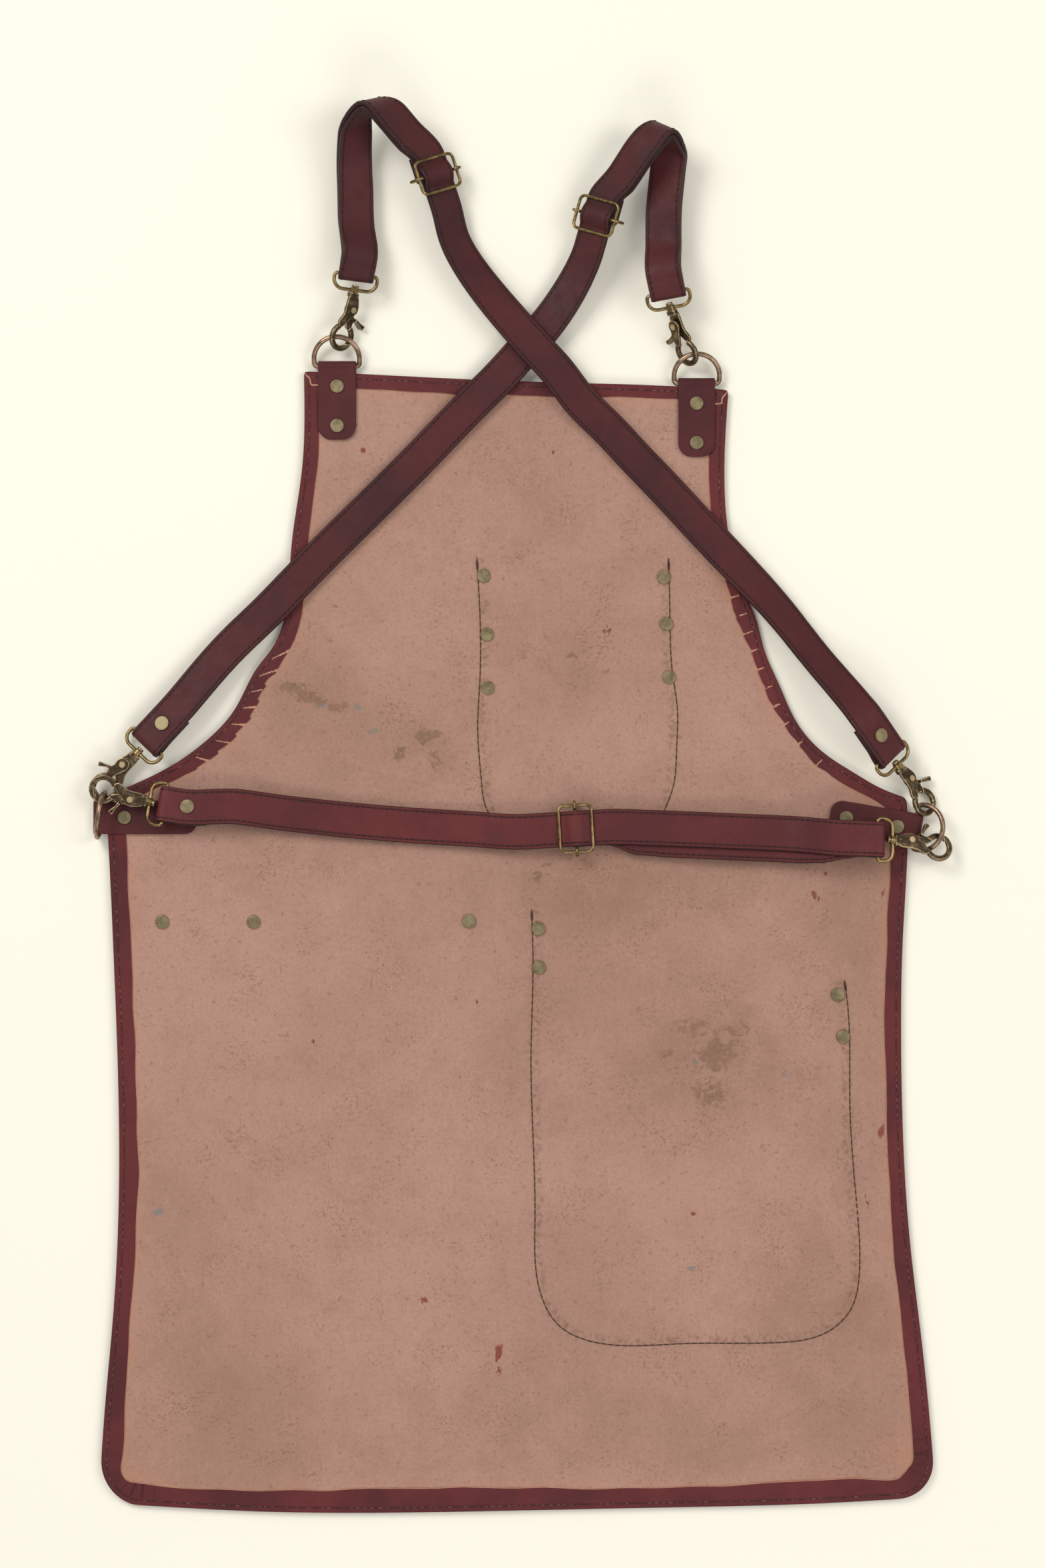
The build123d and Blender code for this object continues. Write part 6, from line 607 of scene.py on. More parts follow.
def grain_material(name, c0, c1, rough=0.46, edge=None, raw=None, gscale=1100.0, bumpk=1.0, line=None, highlight_and_wear=None):
    """Finished side of burgundy leather. edge: attribute that turns to the dark painted edge; raw: attribute for bare cut leather."""
    s = NT(name)
    big = s.noise(16, 4, 0.55, 0.3)
    mid = s.noise(120, 5, 0.6)
    cell = s.vor(gscale, "DISTANCE_TO_EDGE")
    base = s.mix(s.ramp(big, 0.36, 0.66), c0, c1)
    base = s.mix(s.ramp(mid, 0.45, 0.75, 0, 0.30), base, tuple(x * 0.72 for x in c0[:3]) + (1,))
    base = s.mix(s.math("MULTIPLY", s.ramp(cell, 0.0, 0.06, 1, 0), 0.35), base, tuple(x * 0.6 for x in c0[:3]) + (1,))
    # lighter where the strap bends: painted highlight on the arches and loops
    if highlight_and_wear is not None:
        w = s.math("MULTIPLY", s.attr(highlight_and_wear), s.ramp(s.noise(60, 4, 0.6), 0.35, 0.65, 0.3, 1.0))
        base = s.mix(s.math("MULTIPLY", w, 0.45), base, tuple(min(1, x * 1.75) for x in c1[:3]) + (1,))
    r = s.ramp(mid, 0.3, 0.7, rough - 0.05, rough + 0.12)
    if edge is not None:
        e = s.ramp(s.math("ADD", s.attr(edge), s.math("MULTIPLY", s.noise(200, 3), 0.10)), 0.55, 0.70)
        base = s.mix(e, base, lin(50, 33, 34))
        r = s.mix(e, r, (0.38, 0.38, 0.38, 1))
    if raw is not None:
        q = s.ramp(s.math("ADD", s.attr(raw), s.math("MULTIPLY", s.math("SUBTRACT", s.noise(170, 4), 0.5), 0.5)), 0.55, 0.72)
        base = s.mix(q, base, s.mix(mid, lin(206, 158, 128), lin(170, 118, 96)))
    if line is not None:
        base = s.mix(s.math("MULTIPLY", s.attr(line), 0.75), base, tuple(x * 0.32 for x in c0[:3]) + (1,))
    nb = s.bump(s.ramp(cell, 0.0, 0.12), 0.00006 * bumpk, 0.6)
    nb = s.bump(mid, 0.0004 * bumpk, 0.35, nb)
    nb = s.bump(big, 0.002 * bumpk, 0.25, nb)
    s.set(Base_Color=base, Roughness=r, Normal=nb)
    s.put(s.b.inputs["Specular IOR Level"], 0.20)
    return s.m


def brass_material(name, dark, light, rough=0.34, metal=0.92, scale=1.0, worn_edge_highlight=True):
    """Antiqued brass: the hollows stay dark and the convex edges are bright, partly rubbed wear and partly painted
    highlight.
    """
    s = NT(name)
    n1 = s.noise(150 * scale, 5, 0.65, 0.4)
    n2 = s.noise(900 * scale, 4, 0.6)
    if worn_edge_highlight:
        geo = s.t.nodes.new("ShaderNodeNewGeometry")
        # pointiness brightens the convex edges: rubbed wear plus painted highlight on the edges
        highlight_and_wear = s.math("ADD", s.math("MULTIPLY", s.ramp(geo.outputs["Pointiness"], 0.502, 0.548), 1.0), s.ramp(n1, 0.46, 0.74, 0, 0.34), True)
    else:
        highlight_and_wear = s.ramp(n1, 0.34, 0.68, 0.12, 0.85)
    base = s.mix(highlight_and_wear, dark, light)
    base = s.mix(s.ramp(n2, 0.58, 0.75, 0, 0.35), base, tuple(x * 0.45 for x in dark[:3]) + (1,))
    s.set(Base_Color=base, Metallic=metal, Roughness=s.ramp(n1, 0.3, 0.7, rough - 0.06, rough + 0.10),
          Normal=s.bump(s.noise(500 * scale, 4, 0.6), 0.00004, 0.3))
    return s.m


def thread_material(name, a, b):
    s = NT(name)
    n = s.noise(260, 3, 0.6)
    tw = s.n("ShaderNodeTexWave", 1, {"wave_type": "BANDS", "bands_direction": "DIAGONAL"}, Vector=s.co, Scale=900.0, Distortion=1.0)
    # the lighter second colour, mixed in by noise, is painted highlight on the thread
    base = s.mix(s.ramp(n, 0.40, 0.62), a, b)
    base = s.mix(s.math("MULTIPLY", tw, 0.25), base, tuple(x * 0.6 for x in a[:3]) + (1,))
    s.set(Base_Color=base, Roughness=0.72, Normal=s.bump(tw, 0.0001, 0.5))
    return s.m


FLESH = flesh_material()
BAND = grain_material("turned_hem_leather", lin(104, 44, 46), lin(84, 38, 42), 0.52, raw="raw", line="groove", bumpk=1.3)
GRAIN = grain_material("front_grain_leather", lin(96, 45, 46), lin(82, 38, 40), 0.44)
STRAP_L = grain_material("shoulder_strap_leather", lin(84, 36, 38), lin(66, 32, 35), 0.47, edge="edge", line="groove", highlight_and_wear="highlight_and_wear")
STRAP_R = grain_material("shoulder_strap_leather_right", lin(84, 37, 39), lin(66, 34, 37), 0.47, edge="edge", line="groove", highlight_and_wear="highlight_and_wear")
STRAP_WM = grain_material("waist_strap_leather", lin(102, 43, 44), lin(86, 37, 40), 0.46, edge="edge", line="groove", highlight_and_wear="highlight_and_wear")
TABM = grain_material("tab_leather", lin(88, 39, 41), lin(72, 33, 36), 0.52, edge="edge")
RAW = grain_material("raw_edge_leather", lin(214, 176, 146), lin(190, 148, 120), 0.8)
BRASS = brass_material("antique_brass_cast", lin(82, 68, 52), lin(214, 188, 146), 0.32)
WIRE = brass_material("antique_brass_wire", lin(96, 80, 52), lin(172, 148, 100), 0.30, worn_edge_highlight=False)
RINGM = brass_material("antique_brass_ring", lin(112, 90, 74), lin(182, 152, 128), 0.28, worn_edge_highlight=False)
CAPM = brass_material("rivet_brass", lin(114, 102, 76), lin(158, 145, 112), 0.42, 0.8, worn_edge_highlight=False)
STEEL = brass_material("spring_steel", lin(88, 88, 86), lin(170, 168, 160), 0.35)
THREAD = thread_material("thread_burgundy", lin(66, 34, 35), lin(140, 94, 88))
THREAD_D = thread_material("thread_dark", lin(24, 13, 13), lin(50, 29, 27))
THREAD_B = thread_material("thread_brown", lin(58, 38, 26), lin(84, 58, 38))

# ------------------------------------------------------------------ CAD metal keeps its shape and gets its finish
for n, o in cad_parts.items():
    if n.startswith("hook_spring"): m = STEEL
    elif n.startswith("hook_"): m = BRASS
    elif n.startswith(("swivel_loop", "slide_")): m = WIRE
    elif n.startswith("d_ring"): m = RINGM
    elif n.endswith("rivets"): m = CAPM
    elif "tab_" in n: m = TABM
    elif n in ("chest_pocket", "lower_pocket", "tool_loop"): m = GRAIN
    else: m = STRAP_L
    if len(o.material_slots) == 0: o.data.materials.append(m)
    for sl in o.material_slots: sl.material = m

def remeshed(node, name, mat, voxel, iters, body, factor=0.5):
    """A denser copy of a CAD solid with its corners eased, which stands for that node."""
    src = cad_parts[node]
    tmp = bpy.data.objects.new(name + "_src", src.data.copy())
    bpy.context.scene.collection.objects.link(tmp)
    m = tmp.modifiers.new("weld", "WELD"); m.merge_threshold = 1e-6
    m = tmp.modifiers.new("vox", "REMESH"); m.mode = "VOXEL"; m.voxel_size = voxel; m.use_smooth_shade = True
    m = tmp.modifiers.new("ease", "SMOOTH"); m.factor = factor; m.iterations = iters
    dg = bpy.context.evaluated_depsgraph_get()
    me = bpy.data.meshes.new_from_object(tmp.evaluated_get(dg))
    bpy.data.objects.remove(tmp)
    o = bpy.data.objects.new(name, me); bpy.context.scene.collection.objects.link(o)
    me.materials.clear(); me.materials.append(mat)
    me.polygons.foreach_set("use_smooth", [True] * len(me.polygons))
    me.polygons.foreach_set("material_index", [0] * len(me.polygons))
    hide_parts(node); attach(o, body)
    return o


for h in ("bib_left", "bib_right", "left_shoulder", "left_waist", "right_shoulder", "right_waist"):
    remeshed("hook_body_" + h, "cast_hook_" + h, BRASS, 0.00030, 9, "hook_" + h)
    remeshed("hook_lever_" + h, "cast_lever_" + h, BRASS, 0.00030, 9, "lever_" + h)


def leather_noise(o, amp, edge=True):
    """slight unevenness, and an attribute that marks the cut edges"""
    me = o.data; n = len(me.vertices)
    co_ = np.zeros(n * 3); me.vertices.foreach_get("co", co_); co_ = co_.reshape(-1, 3)
    no_ = np.zeros(n * 3); me.vertex_normals.foreach_get("vector", no_); no_ = no_.reshape(-1, 3)
    a = me.attributes.new("edge", "FLOAT", "POINT"); a.data.foreach_set("value", np.clip(1.15 - np.abs(no_[:, 2]) * 1.15, 0, 1))
    w = np.sin(co_[:, 0] * 310 + 1.3 * np.sin(co_[:, 1] * 190)) * np.sin(co_[:, 1] * 270 + 0.7 * np.sin(co_[:, 0] * 230))
    co_ += no_ * (amp * w)[:, None]
    me.vertices.foreach_set("co", co_.ravel()); me.update()


for tb in ("bib_tab_left", "bib_tab_right", "waist_tab_left", "waist_tab_right"):
    o = remeshed(tb, tb + "_leather", TABM, 0.00055, 5, "apron")
    leather_noise(o, 0.00006)

# ------------------------------------------------------------------ body panel
ring0, per = even(outline(), 1.25, True)
ring0 = smooth_ring(ring0, 2)
fine_pts = np.array([(x, y) for x, y, a in SNIPS])
near = np.array([np.hypot(fine_pts[:, 0] - p[0], fine_pts[:, 1] - p[1]).min() < 13 for p in ring0])
acc = []
for i in range(len(ring0)):
    q0, q1 = ring0[i], ring0[(i + 1) % len(ring0)]
    for k in range(3 if near[i] else 1):
        acc.append(q0 + (q1 - q0) * k / (3 if near[i] else 1))
ring = np.array(acc)
d = np.roll(ring, -1, 0) - np.roll(ring, 1, 0)
d /= np.linalg.norm(d, axis=1)[:, None]
nrm = np.stack([-d[:, 1], d[:, 0]], 1)           # inwards, the ring runs counter-clockwise
if ((ring - ring.mean(0)) * nrm).sum() > 0: nrm = -nrm
nrm_s = smooth_ring(nrm, 3); nrm_s /= np.linalg.norm(nrm_s, axis=1)[:, None]
inn = inner_line()
segs_a, segs_b = inn, np.roll(inn, -1, 0)


def ray_width(p, n):
    e = segs_b - segs_a
    den = n[0] * e[:, 1] - n[1] * e[:, 0]
    w = segs_a - p
    with np.errstate(divide="ignore", invalid="ignore"):
        t = (w[:, 0] * e[:, 1] - w[:, 1] * e[:, 0]) / den
        u = (w[:, 0] * n[1] - w[:, 1] * n[0]) / den
    ok = (np.abs(den) > 1e-9) & (u >= 0) & (u <= 1) & (t > 1.0) & (t < 34)
    return t[ok].min() if ok.any() else np.nan


width = np.array([ray_width(p, n) for p, n in zip(ring, nrm_s)])
bad = np.isnan(width)
idx = np.arange(len(width))
width[bad] = np.interp(idx[bad], idx[~bad], width[~bad])
width = smooth_ring(width, 4)
arcl = np.r_[0, np.cumsum(np.linalg.norm(np.diff(np.vstack([ring, ring[:1]]), axis=0), axis=1))][:-1]
wob = smooth_ring(rng.normal(0, 1, len(ring)), 9); wob /= wob.std()
wob2 = smooth_ring(rng.normal(0, 1, len(ring)), 3); wob2 /= wob2.std()
width = width + 0.45 * wob
# relief cuts: a line through each, slanted on the left and square to the edge on the right
cuts = []
for j, (x, y, a) in enumerate(SNIPS):
    if x < 0:
        th = math.radians(28 - 46 * min(1, max(0, (112 - y) / 76)))
        dv = np.array([math.cos(th), math.sin(th)])
    else:
        dv = np.array([math.cos(math.radians(a)), math.sin(math.radians(a))])
        if dv[0] > 0: dv = -dv
    cuts.append((np.array([x, y]), dv, 0.10 + 0.55 * ((j * 37) % 10) / 10))
cut_arc = []
for (c, dv, o_) in cuts:
    i = np.argmin(np.hypot(ring[:, 0] - c[0] + dv[0] * 5, ring[:, 1] - c[1] + dv[1] * 5))
    cut_arc.append(arcl[i])
sdist = np.full(len(ring), 99.0); saw = np.zeros(len(ring))
order = sorted(cut_arc)
for ca in cut_arc:
    sdist = np.minimum(sdist, np.abs((arcl - ca + per / 2) % per - per / 2))
for a0_, a1_ in zip(order[:-1], order[1:]):
    if a1_ - a0_ < 22:
        m_ = (arcl >= a0_) & (arcl < a1_)
        saw[m_] = (arcl[m_] - a0_) / (a1_ - a0_) - 0.5
armhole = np.exp(-(np.minimum(sdist, 40) / 14.0) ** 2)
saw_sign = np.where(ring[:, 0] < 0, -1.9, 0.9)
width = width + saw * saw_sign
# gathered corners at the hem
corner_l, corner_r = np.array(BOTTOM_EDGE[0]), np.array(RIGHT_SIDE[0])
pleat = np.zeros(len(ring)); 
for c in (corner_l, corner_r):
    dd = np.hypot(ring[:, 0] - c[0], ring[:, 1] - c[1])
    pleat = np.maximum(pleat, np.exp(-(dd / 17.0) ** 2))


def in_cut(p, dd, w):
    for c, dv, o_ in cuts:
        v = p - c
        if abs(v[0]) > 14 or abs(v[1]) > 14: continue
        t = abs(v[0] * -dv[1] + v[1] * dv[0])
        if v @ dv < -4.2: continue
        if t < 0.42 + o_ * max(0.0, (dd - 5.0) / max(w - 5.0, 1)): return True
    return False


def panel_height(pts):
    x, y = pts[:, 0], pts[:, 1]
    z = 0.16 * np.sin(x / 47 + 0.8 * np.sin(y / 90)) + 0.14 * np.sin(y / 61 + 1.3 * np.sin(x / 120)) + 0.07 * np.sin((x + y) / 17.0) * np.sin((x - 1.4 * y) / 29.0)
    return z


# seams of the two pockets, 3.8 mm inside their edges
def inset(pts, dist, cen):
    p, _ = even(spline(pts), 1.2)
    dd = np.gradient(p, axis=0); dd /= np.linalg.norm(dd, axis=1)[:, None]
    nn = np.stack([-dd[:, 1], dd[:, 0]], 1)
    if ((np.array(cen) - p.mean(0)) @ nn[len(nn) // 2]) < 0: nn = -nn
    return p + nn * dist, nn


chest_c = np.mean(CHEST_OUTLINE, axis=0) + np.array([0, 60.0]); lower_c = np.mean(LOWER_OUTLINE, axis=0) + np.array([0, 60.0])
chest_s, chest_n = inset(CHEST_OUTLINE, 3.8, chest_c)
lower_s, lower_n = inset(LOWER_OUTLINE, 3.8, lower_c)


def line_dist(pts, line):
    best = np.full(len(pts), 1e9)
    for i in range(0, len(line), 2):
        best = np.minimum(best, np.hypot(pts[:, 0] - line[i, 0], pts[:, 1] - line[i, 1]))
    return best


step = 5.0
poly = ring + nrm_s * 0.9
bound = poly[::3]
gx = np.arange(poly[:, 0].min() + 2, poly[:, 0].max(), step); gy = np.arange(poly[:, 1].min() + 2, poly[:, 1].max(), step)
grid = np.array([(x + (step / 2 if j % 2 else 0), y) for j, y in enumerate(gy) for x in gx])
extra = []
for line, nn in ((chest_s, chest_n), (lower_s, lower_n)):
    for off in (-4.2, -2.1, -0.9, 0.0, 0.9, 2.1, 4.2):
        extra.append((line + nn * off)[::2])
for (x, y, rx, ry, rot, k) in BROWN + GREY + RED:
    R = max(rx, ry) + 2
    st = max(1.6, R / 7)
    q = np.array([(x + a, y + b) for a in np.arange(-R, R, st) for b in np.arange(-R, R, st)])
    extra.append(q)
extra = np.vstack(extra)
far = np.ones(len(grid), bool)
for line in (chest_s, lower_s):
    far &= line_dist(grid, line) > 5.2
for (x, y, rx, ry, rot, k) in BROWN + GREY + RED:
    far &= ~((np.abs(grid[:, 0] - x) < max(rx, ry) + 3) & (np.abs(grid[:, 1] - y) < max(rx, ry) + 3))
pts = np.vstack([grid[far], extra])
pts = pts[inside(bound, pts)]
bd = np.full(len(pts), 1e9)
for q in bound[::2]:
    bd = np.minimum(bd, np.hypot(pts[:, 0] - q[0], pts[:, 1] - q[1]))
pts = pts[bd > 2.5]
key = np.round(pts / 0.8).astype(int)
_, keep = np.unique(key, axis=0, return_index=True)
pts = pts[np.sort(keep)]
allp = np.vstack([bound, pts])
nb = len(bound)
res = delaunay_2d_cdt([Vector(p) for p in allp], [(i, (i + 1) % nb) for i in range(nb)], [], 1, 1e-4)
P2 = np.array([tuple(v) for v in res[0]]); TRI = [tuple(f) for f in res[2]]


def field(P, items):
    v = np.zeros(len(P))
    for (x, y, rx, ry, rot, k) in items:
        c, s_ = math.cos(math.radians(rot)), math.sin(math.radians(rot))
        a = (P[:, 0] - x) * c + (P[:, 1] - y) * s_
        b = -(P[:, 0] - x) * s_ + (P[:, 1] - y) * c
        v = np.maximum(v, k * np.clip(1.25 - np.sqrt((a / rx) ** 2 + (b / ry) ** 2), 0, 1))
    return v


z = 4.6 + panel_height(P2)
seam = np.zeros(len(P2)); rub = np.zeros(len(P2)); thin = np.zeros(len(P2))
for line, nn in ((chest_s, chest_n), (lower_s, lower_n)):
    dl = line_dist(P2, line)
    z += -0.35 * np.exp(-(dl / 0.9) ** 2) + 0.12 * np.exp(-((dl - 2.6) / 1.5) ** 2)
    # the narrow mask here marks the seam line for the painted shade of the needle holes
    seam = np.maximum(seam, np.exp(-(dl / 3.2) ** 2)); thin = np.maximum(thin, np.exp(-(dl / 0.75) ** 2))
    li, _n = line + nn * 3.6, 0
    rub = np.maximum(rub, np.exp(-(line_dist(P2, li) / 1.6) ** 2) * 0.8)
edge_d = np.full(len(P2), 1e9)
for q in poly[::4]:
    edge_d = np.minimum(edge_d, np.hypot(P2[:, 0] - q[0], P2[:, 1] - q[1]))
hem_in = inn[::4]
hd = np.full(len(P2), 1e9)
for q in hem_in:
    hd = np.minimum(hd, np.hypot(P2[:, 0] - q[0], P2[:, 1] - q[1]))
tint = np.exp(-(hd / 6.0) ** 2) * 0.75
corner = field(P2, [(BOTTOM_EDGE[0][0] + 6, BOTTOM_EDGE[0][1] + 10, 26, 22, 0, 0.9), (RIGHT_SIDE[0][0] - 22, RIGHT_SIDE[0][1] - 2, 24, 24, 0, 0.9)])
stain = np.stack([field(P2, BROWN), field(P2, GREY), field(P2, RED)], 1)
# first channel: grime patches and the painted shadow along the waist strap
dirt_and_shadow = np.stack([np.clip(field(P2, DIRT_AND_SHADOW), 0, 1), np.clip(rub + 0.35 * seam, 0, 1), np.clip(tint + corner, 0, 1)], 1)
z[:nb] = np.minimum(z[:nb], 4.5)
top = np.column_stack([P2, np.minimum(z, 4.95)])
bot = np.column_stack([P2, np.full(len(P2), 2.62)])
nP = len(P2)
faces = [t for t in TRI] + [tuple(i + nP for i in t[::-1]) for t in TRI]
mats = [0] * len(TRI) + [1] * len(TRI)
a0 = P2[TRI[0][1]] - P2[TRI[0][0]]; a1 = P2[TRI[0][2]] - P2[TRI[0][0]]
if a0[0] * a1[1] - a0[1] * a1[0] < 0:
    faces = [f[::-1] for f in faces]
# rim
ed = {}
for t in TRI:
    for a, b in ((t[0], t[1]), (t[1], t[2]), (t[2], t[0])):
        ed[(a, b)] = ed.get((a, b), 0) + 1
for (a, b) in list(ed):
    if (b, a) not in ed:
        f = (a, a + nP, b + nP, b)
        if a0[0] * a1[1] - a0[1] * a1[0] < 0: f = f[::-1]
        faces.append(f); mats.append(1)
panel = make("apron_panel_hide", np.vstack([top, bot]), faces, [FLESH, GRAIN], attrs={"stain": np.vstack([stain, stain * 0]), "dirt_and_shadow": np.vstack([dirt_and_shadow, dirt_and_shadow * 0]), "seam": np.r_[thin, thin * 0]})
panel.data.polygons.foreach_set("material_index", mats)
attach(panel, "apron")

# ------------------------------------------------------------------ turned hem
V, F, RAWA, GRO = [], [], [], []
K = None
for i in range(len(ring)):
    p, n = ring[i], nrm_s[i]
    w = max(width[i], 5.2)
    pk = 0.16 * math.sin(arcl[i] / 5.2 * 2 * math.pi)            # pucker between stitches
    lift = 0.20 * wob2[i] + 0.30 * armhole[i] * saw[i] * 2
    pl = pleat[i] * 0.75 * abs(math.sin(arcl[i] / 3.1))
    prof = [(9.0, 2.52, 0, 0), (4.4, 2.50, 0, 0), (3.8, 2.66, 0, 1), (3.2, 2.50, 0, 0), (1.4, 2.50, 0, 0), (0.45, 2.72, 0, 0), (0.05, 3.30, 0, 0), (-0.05, 4.05, 0, 0), (0.10, 4.80, 0, 0),
            (0.60, 5.42, 0, 0), (1.6, 5.66 + 0.3 * pk, 0, 0), (2.9, 5.68 + 0.5 * pk, 0, 0), (3.5, 5.52, 0, 0.8), (3.8, 5.42, 0, 1), (4.1, 5.52, 0, 0.8), (4.9, 5.66 + 0.5 * pk, 0, 0)]
    for q in (0.12, 0.25, 0.38, 0.50, 0.62, 0.74, 0.85, 0.94):
        dd = 4.9 + (w - 4.9) * q
        prof.append((dd, 5.60 - 0.22 * q + lift * q * (0.8 if q > 0.3 else 0.4) + pl * q, 0.30 * max(0, (q - 0.85) / 0.15), 0.9 * pleat[i] * (abs(math.sin(arcl[i] / 3.1)) < 0.3)))
    prof.append((w - 0.12, 5.16 + lift * 0.7 + pl * 0.6, 1, 0))
    prof.append((w + 0.05, 4.85, 1, 0))
    prof.append((w - 0.3, 4.30, 1, 0))
    K = len(prof)
    for dd, zz, rw, gr in prof:
        q_ = p + n * dd
        if zz > 5.1 and dd > 4.6 and armhole[i] > 0.05 and in_cut(q_, dd, w):
            zz = 5.0; rw = 1.0
        V.append((q_[0], q_[1], zz)); RAWA.append(rw); GRO.append(gr)
M = len(ring)
for i in range(M):
    for k in range(K - 1):
        a = i * K + k; b = ((i + 1) % M) * K + k
        F.append((a, b, b + 1, a + 1))
hem = make("turned_hem", V, F, BAND, attrs={"raw": RAWA, "groove": GRO})
import bmesh
bm = bmesh.new(); bm.from_mesh(hem.data); bmesh.ops.recalc_face_normals(bm, faces=bm.faces); bm.to_mesh(hem.data); bm.free()
if hem.data.polygons[10].normal.z > 0 and False: pass
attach(hem, "apron")

# lapped folds at the two top corners
for nm_, corner_pt, sx in (("left", LEFT_ARMHOLE[0], 1), ("right", TOP_EDGE[0], -1)):
    cx_, cy_ = corner_pt
    line_ = [(0.8, -0.9), (2.2, -3.4), (4.6, -6.4), (5.2, -9.6), (9.5, -10.4), (14.5, -10.2)]
    q = spline([(cx_ + sx * a, cy_ + b) for a, b in line_], 0.8)
    t_ = np.gradient(q, axis=0); t_ /= np.linalg.norm(t_, axis=1)[:, None]
    n_ = np.stack([-t_[:, 1], t_[:, 0]], 1) * (-sx)
    V, F, E = [], [], []
    prof_ = [(-0.55, 5.45, 0.4), (-0.35, 5.95, 1), (0.0, 6.12, 1), (0.45, 6.10, 0.7), (1.2, 5.98, 0), (2.6, 5.78, 0), (3.6, 5.45, 0)]
    for i in range(len(q)):
        tp = min(1.0, 0.25 + 4.0 * min(i, len(q) - 1 - i) / len(q))
        for o_, z_, e_ in prof_:
            V.append((q[i, 0] - n_[i, 0] * o_ * tp, q[i, 1] - n_[i, 1] * o_ * tp, 5.4 + (z_ - 5.4) * tp)); E.append(e_)
    kk = len(prof_)
    for i in range(len(q) - 1):
        for k in range(kk - 1):
            F.append((i * kk + k, i * kk + k + 1, (i + 1) * kk + k + 1, (i + 1) * kk + k))
    o = make("corner_fold_" + nm_, V, F, BAND, attrs={"raw": E, "groove": [0] * len(V)})
    b = bmesh.new(); b.from_mesh(o.data); bmesh.ops.recalc_face_normals(b, faces=b.faces)
    if sum(f_.normal.z for f_ in b.faces) < 0: bmesh.ops.reverse_faces(b, faces=b.faces)
    b.to_mesh(o.data); b.free()
    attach(o, "apron")

# perimeter stitches, both faces
items = []
pitch = 5.2
nst = int(per / pitch)
for j in range(nst):
    s0 = (j + 0.5) * per / nst
    i = int(np.searchsorted(arcl, s0)) % M
    p = ring[i] + nrm_s[i] * 3.8
    dr = np.array([d[i, 0], d[i, 1], 0]) + np.array([nrm_s[i, 0], nrm_s[i, 1], 0]) * rng.normal(0, 0.05)
    items.append(((p[0], p[1], 5.62), dr, 1.75, (0, 0, 1)))
    items.append(((p[0], p[1], 2.50), dr, 1.75, (0, 0, -1)))
v, f = tube_stitches(items, 0.36)
hem_st = make("hem_stitches", v, f, THREAD)
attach(hem_st, "apron")

# pocket seams
items = []
for line in (chest_s, lower_s):
    q, L = even(line, 5.1)
    tn = np.gradient(q, axis=0)
    hz = panel_height(q)
    for i in range(len(q)):
        jit = rng.normal(0, 0.05, 2)
        items.append(((q[i, 0], q[i, 1], 4.46 + hz[i]), (tn[i, 0] + jit[0], tn[i, 1] + jit[1], 0), 2.35, (0, 0, 1)))
    for end in (0, -1):
        for off in (0.55, -0.5):
            i = end if end == 0 else len(q) - 1
            t = tn[i] / np.linalg.norm(tn[i])
            c = q[i] + np.array([-t[1], t[0]]) * off + t * (3.0 if end == 0 else -3.0)
            items.append(((c[0], c[1], 4.56 + hz[i]), (t[0], t[1], 0), 3.4, (0, 0, 1)))
v, f = tube_stitches(items, 0.42)
seam_st = make("pocket_stitches", v, f, THREAD_B)
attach(seam_st, "apron")

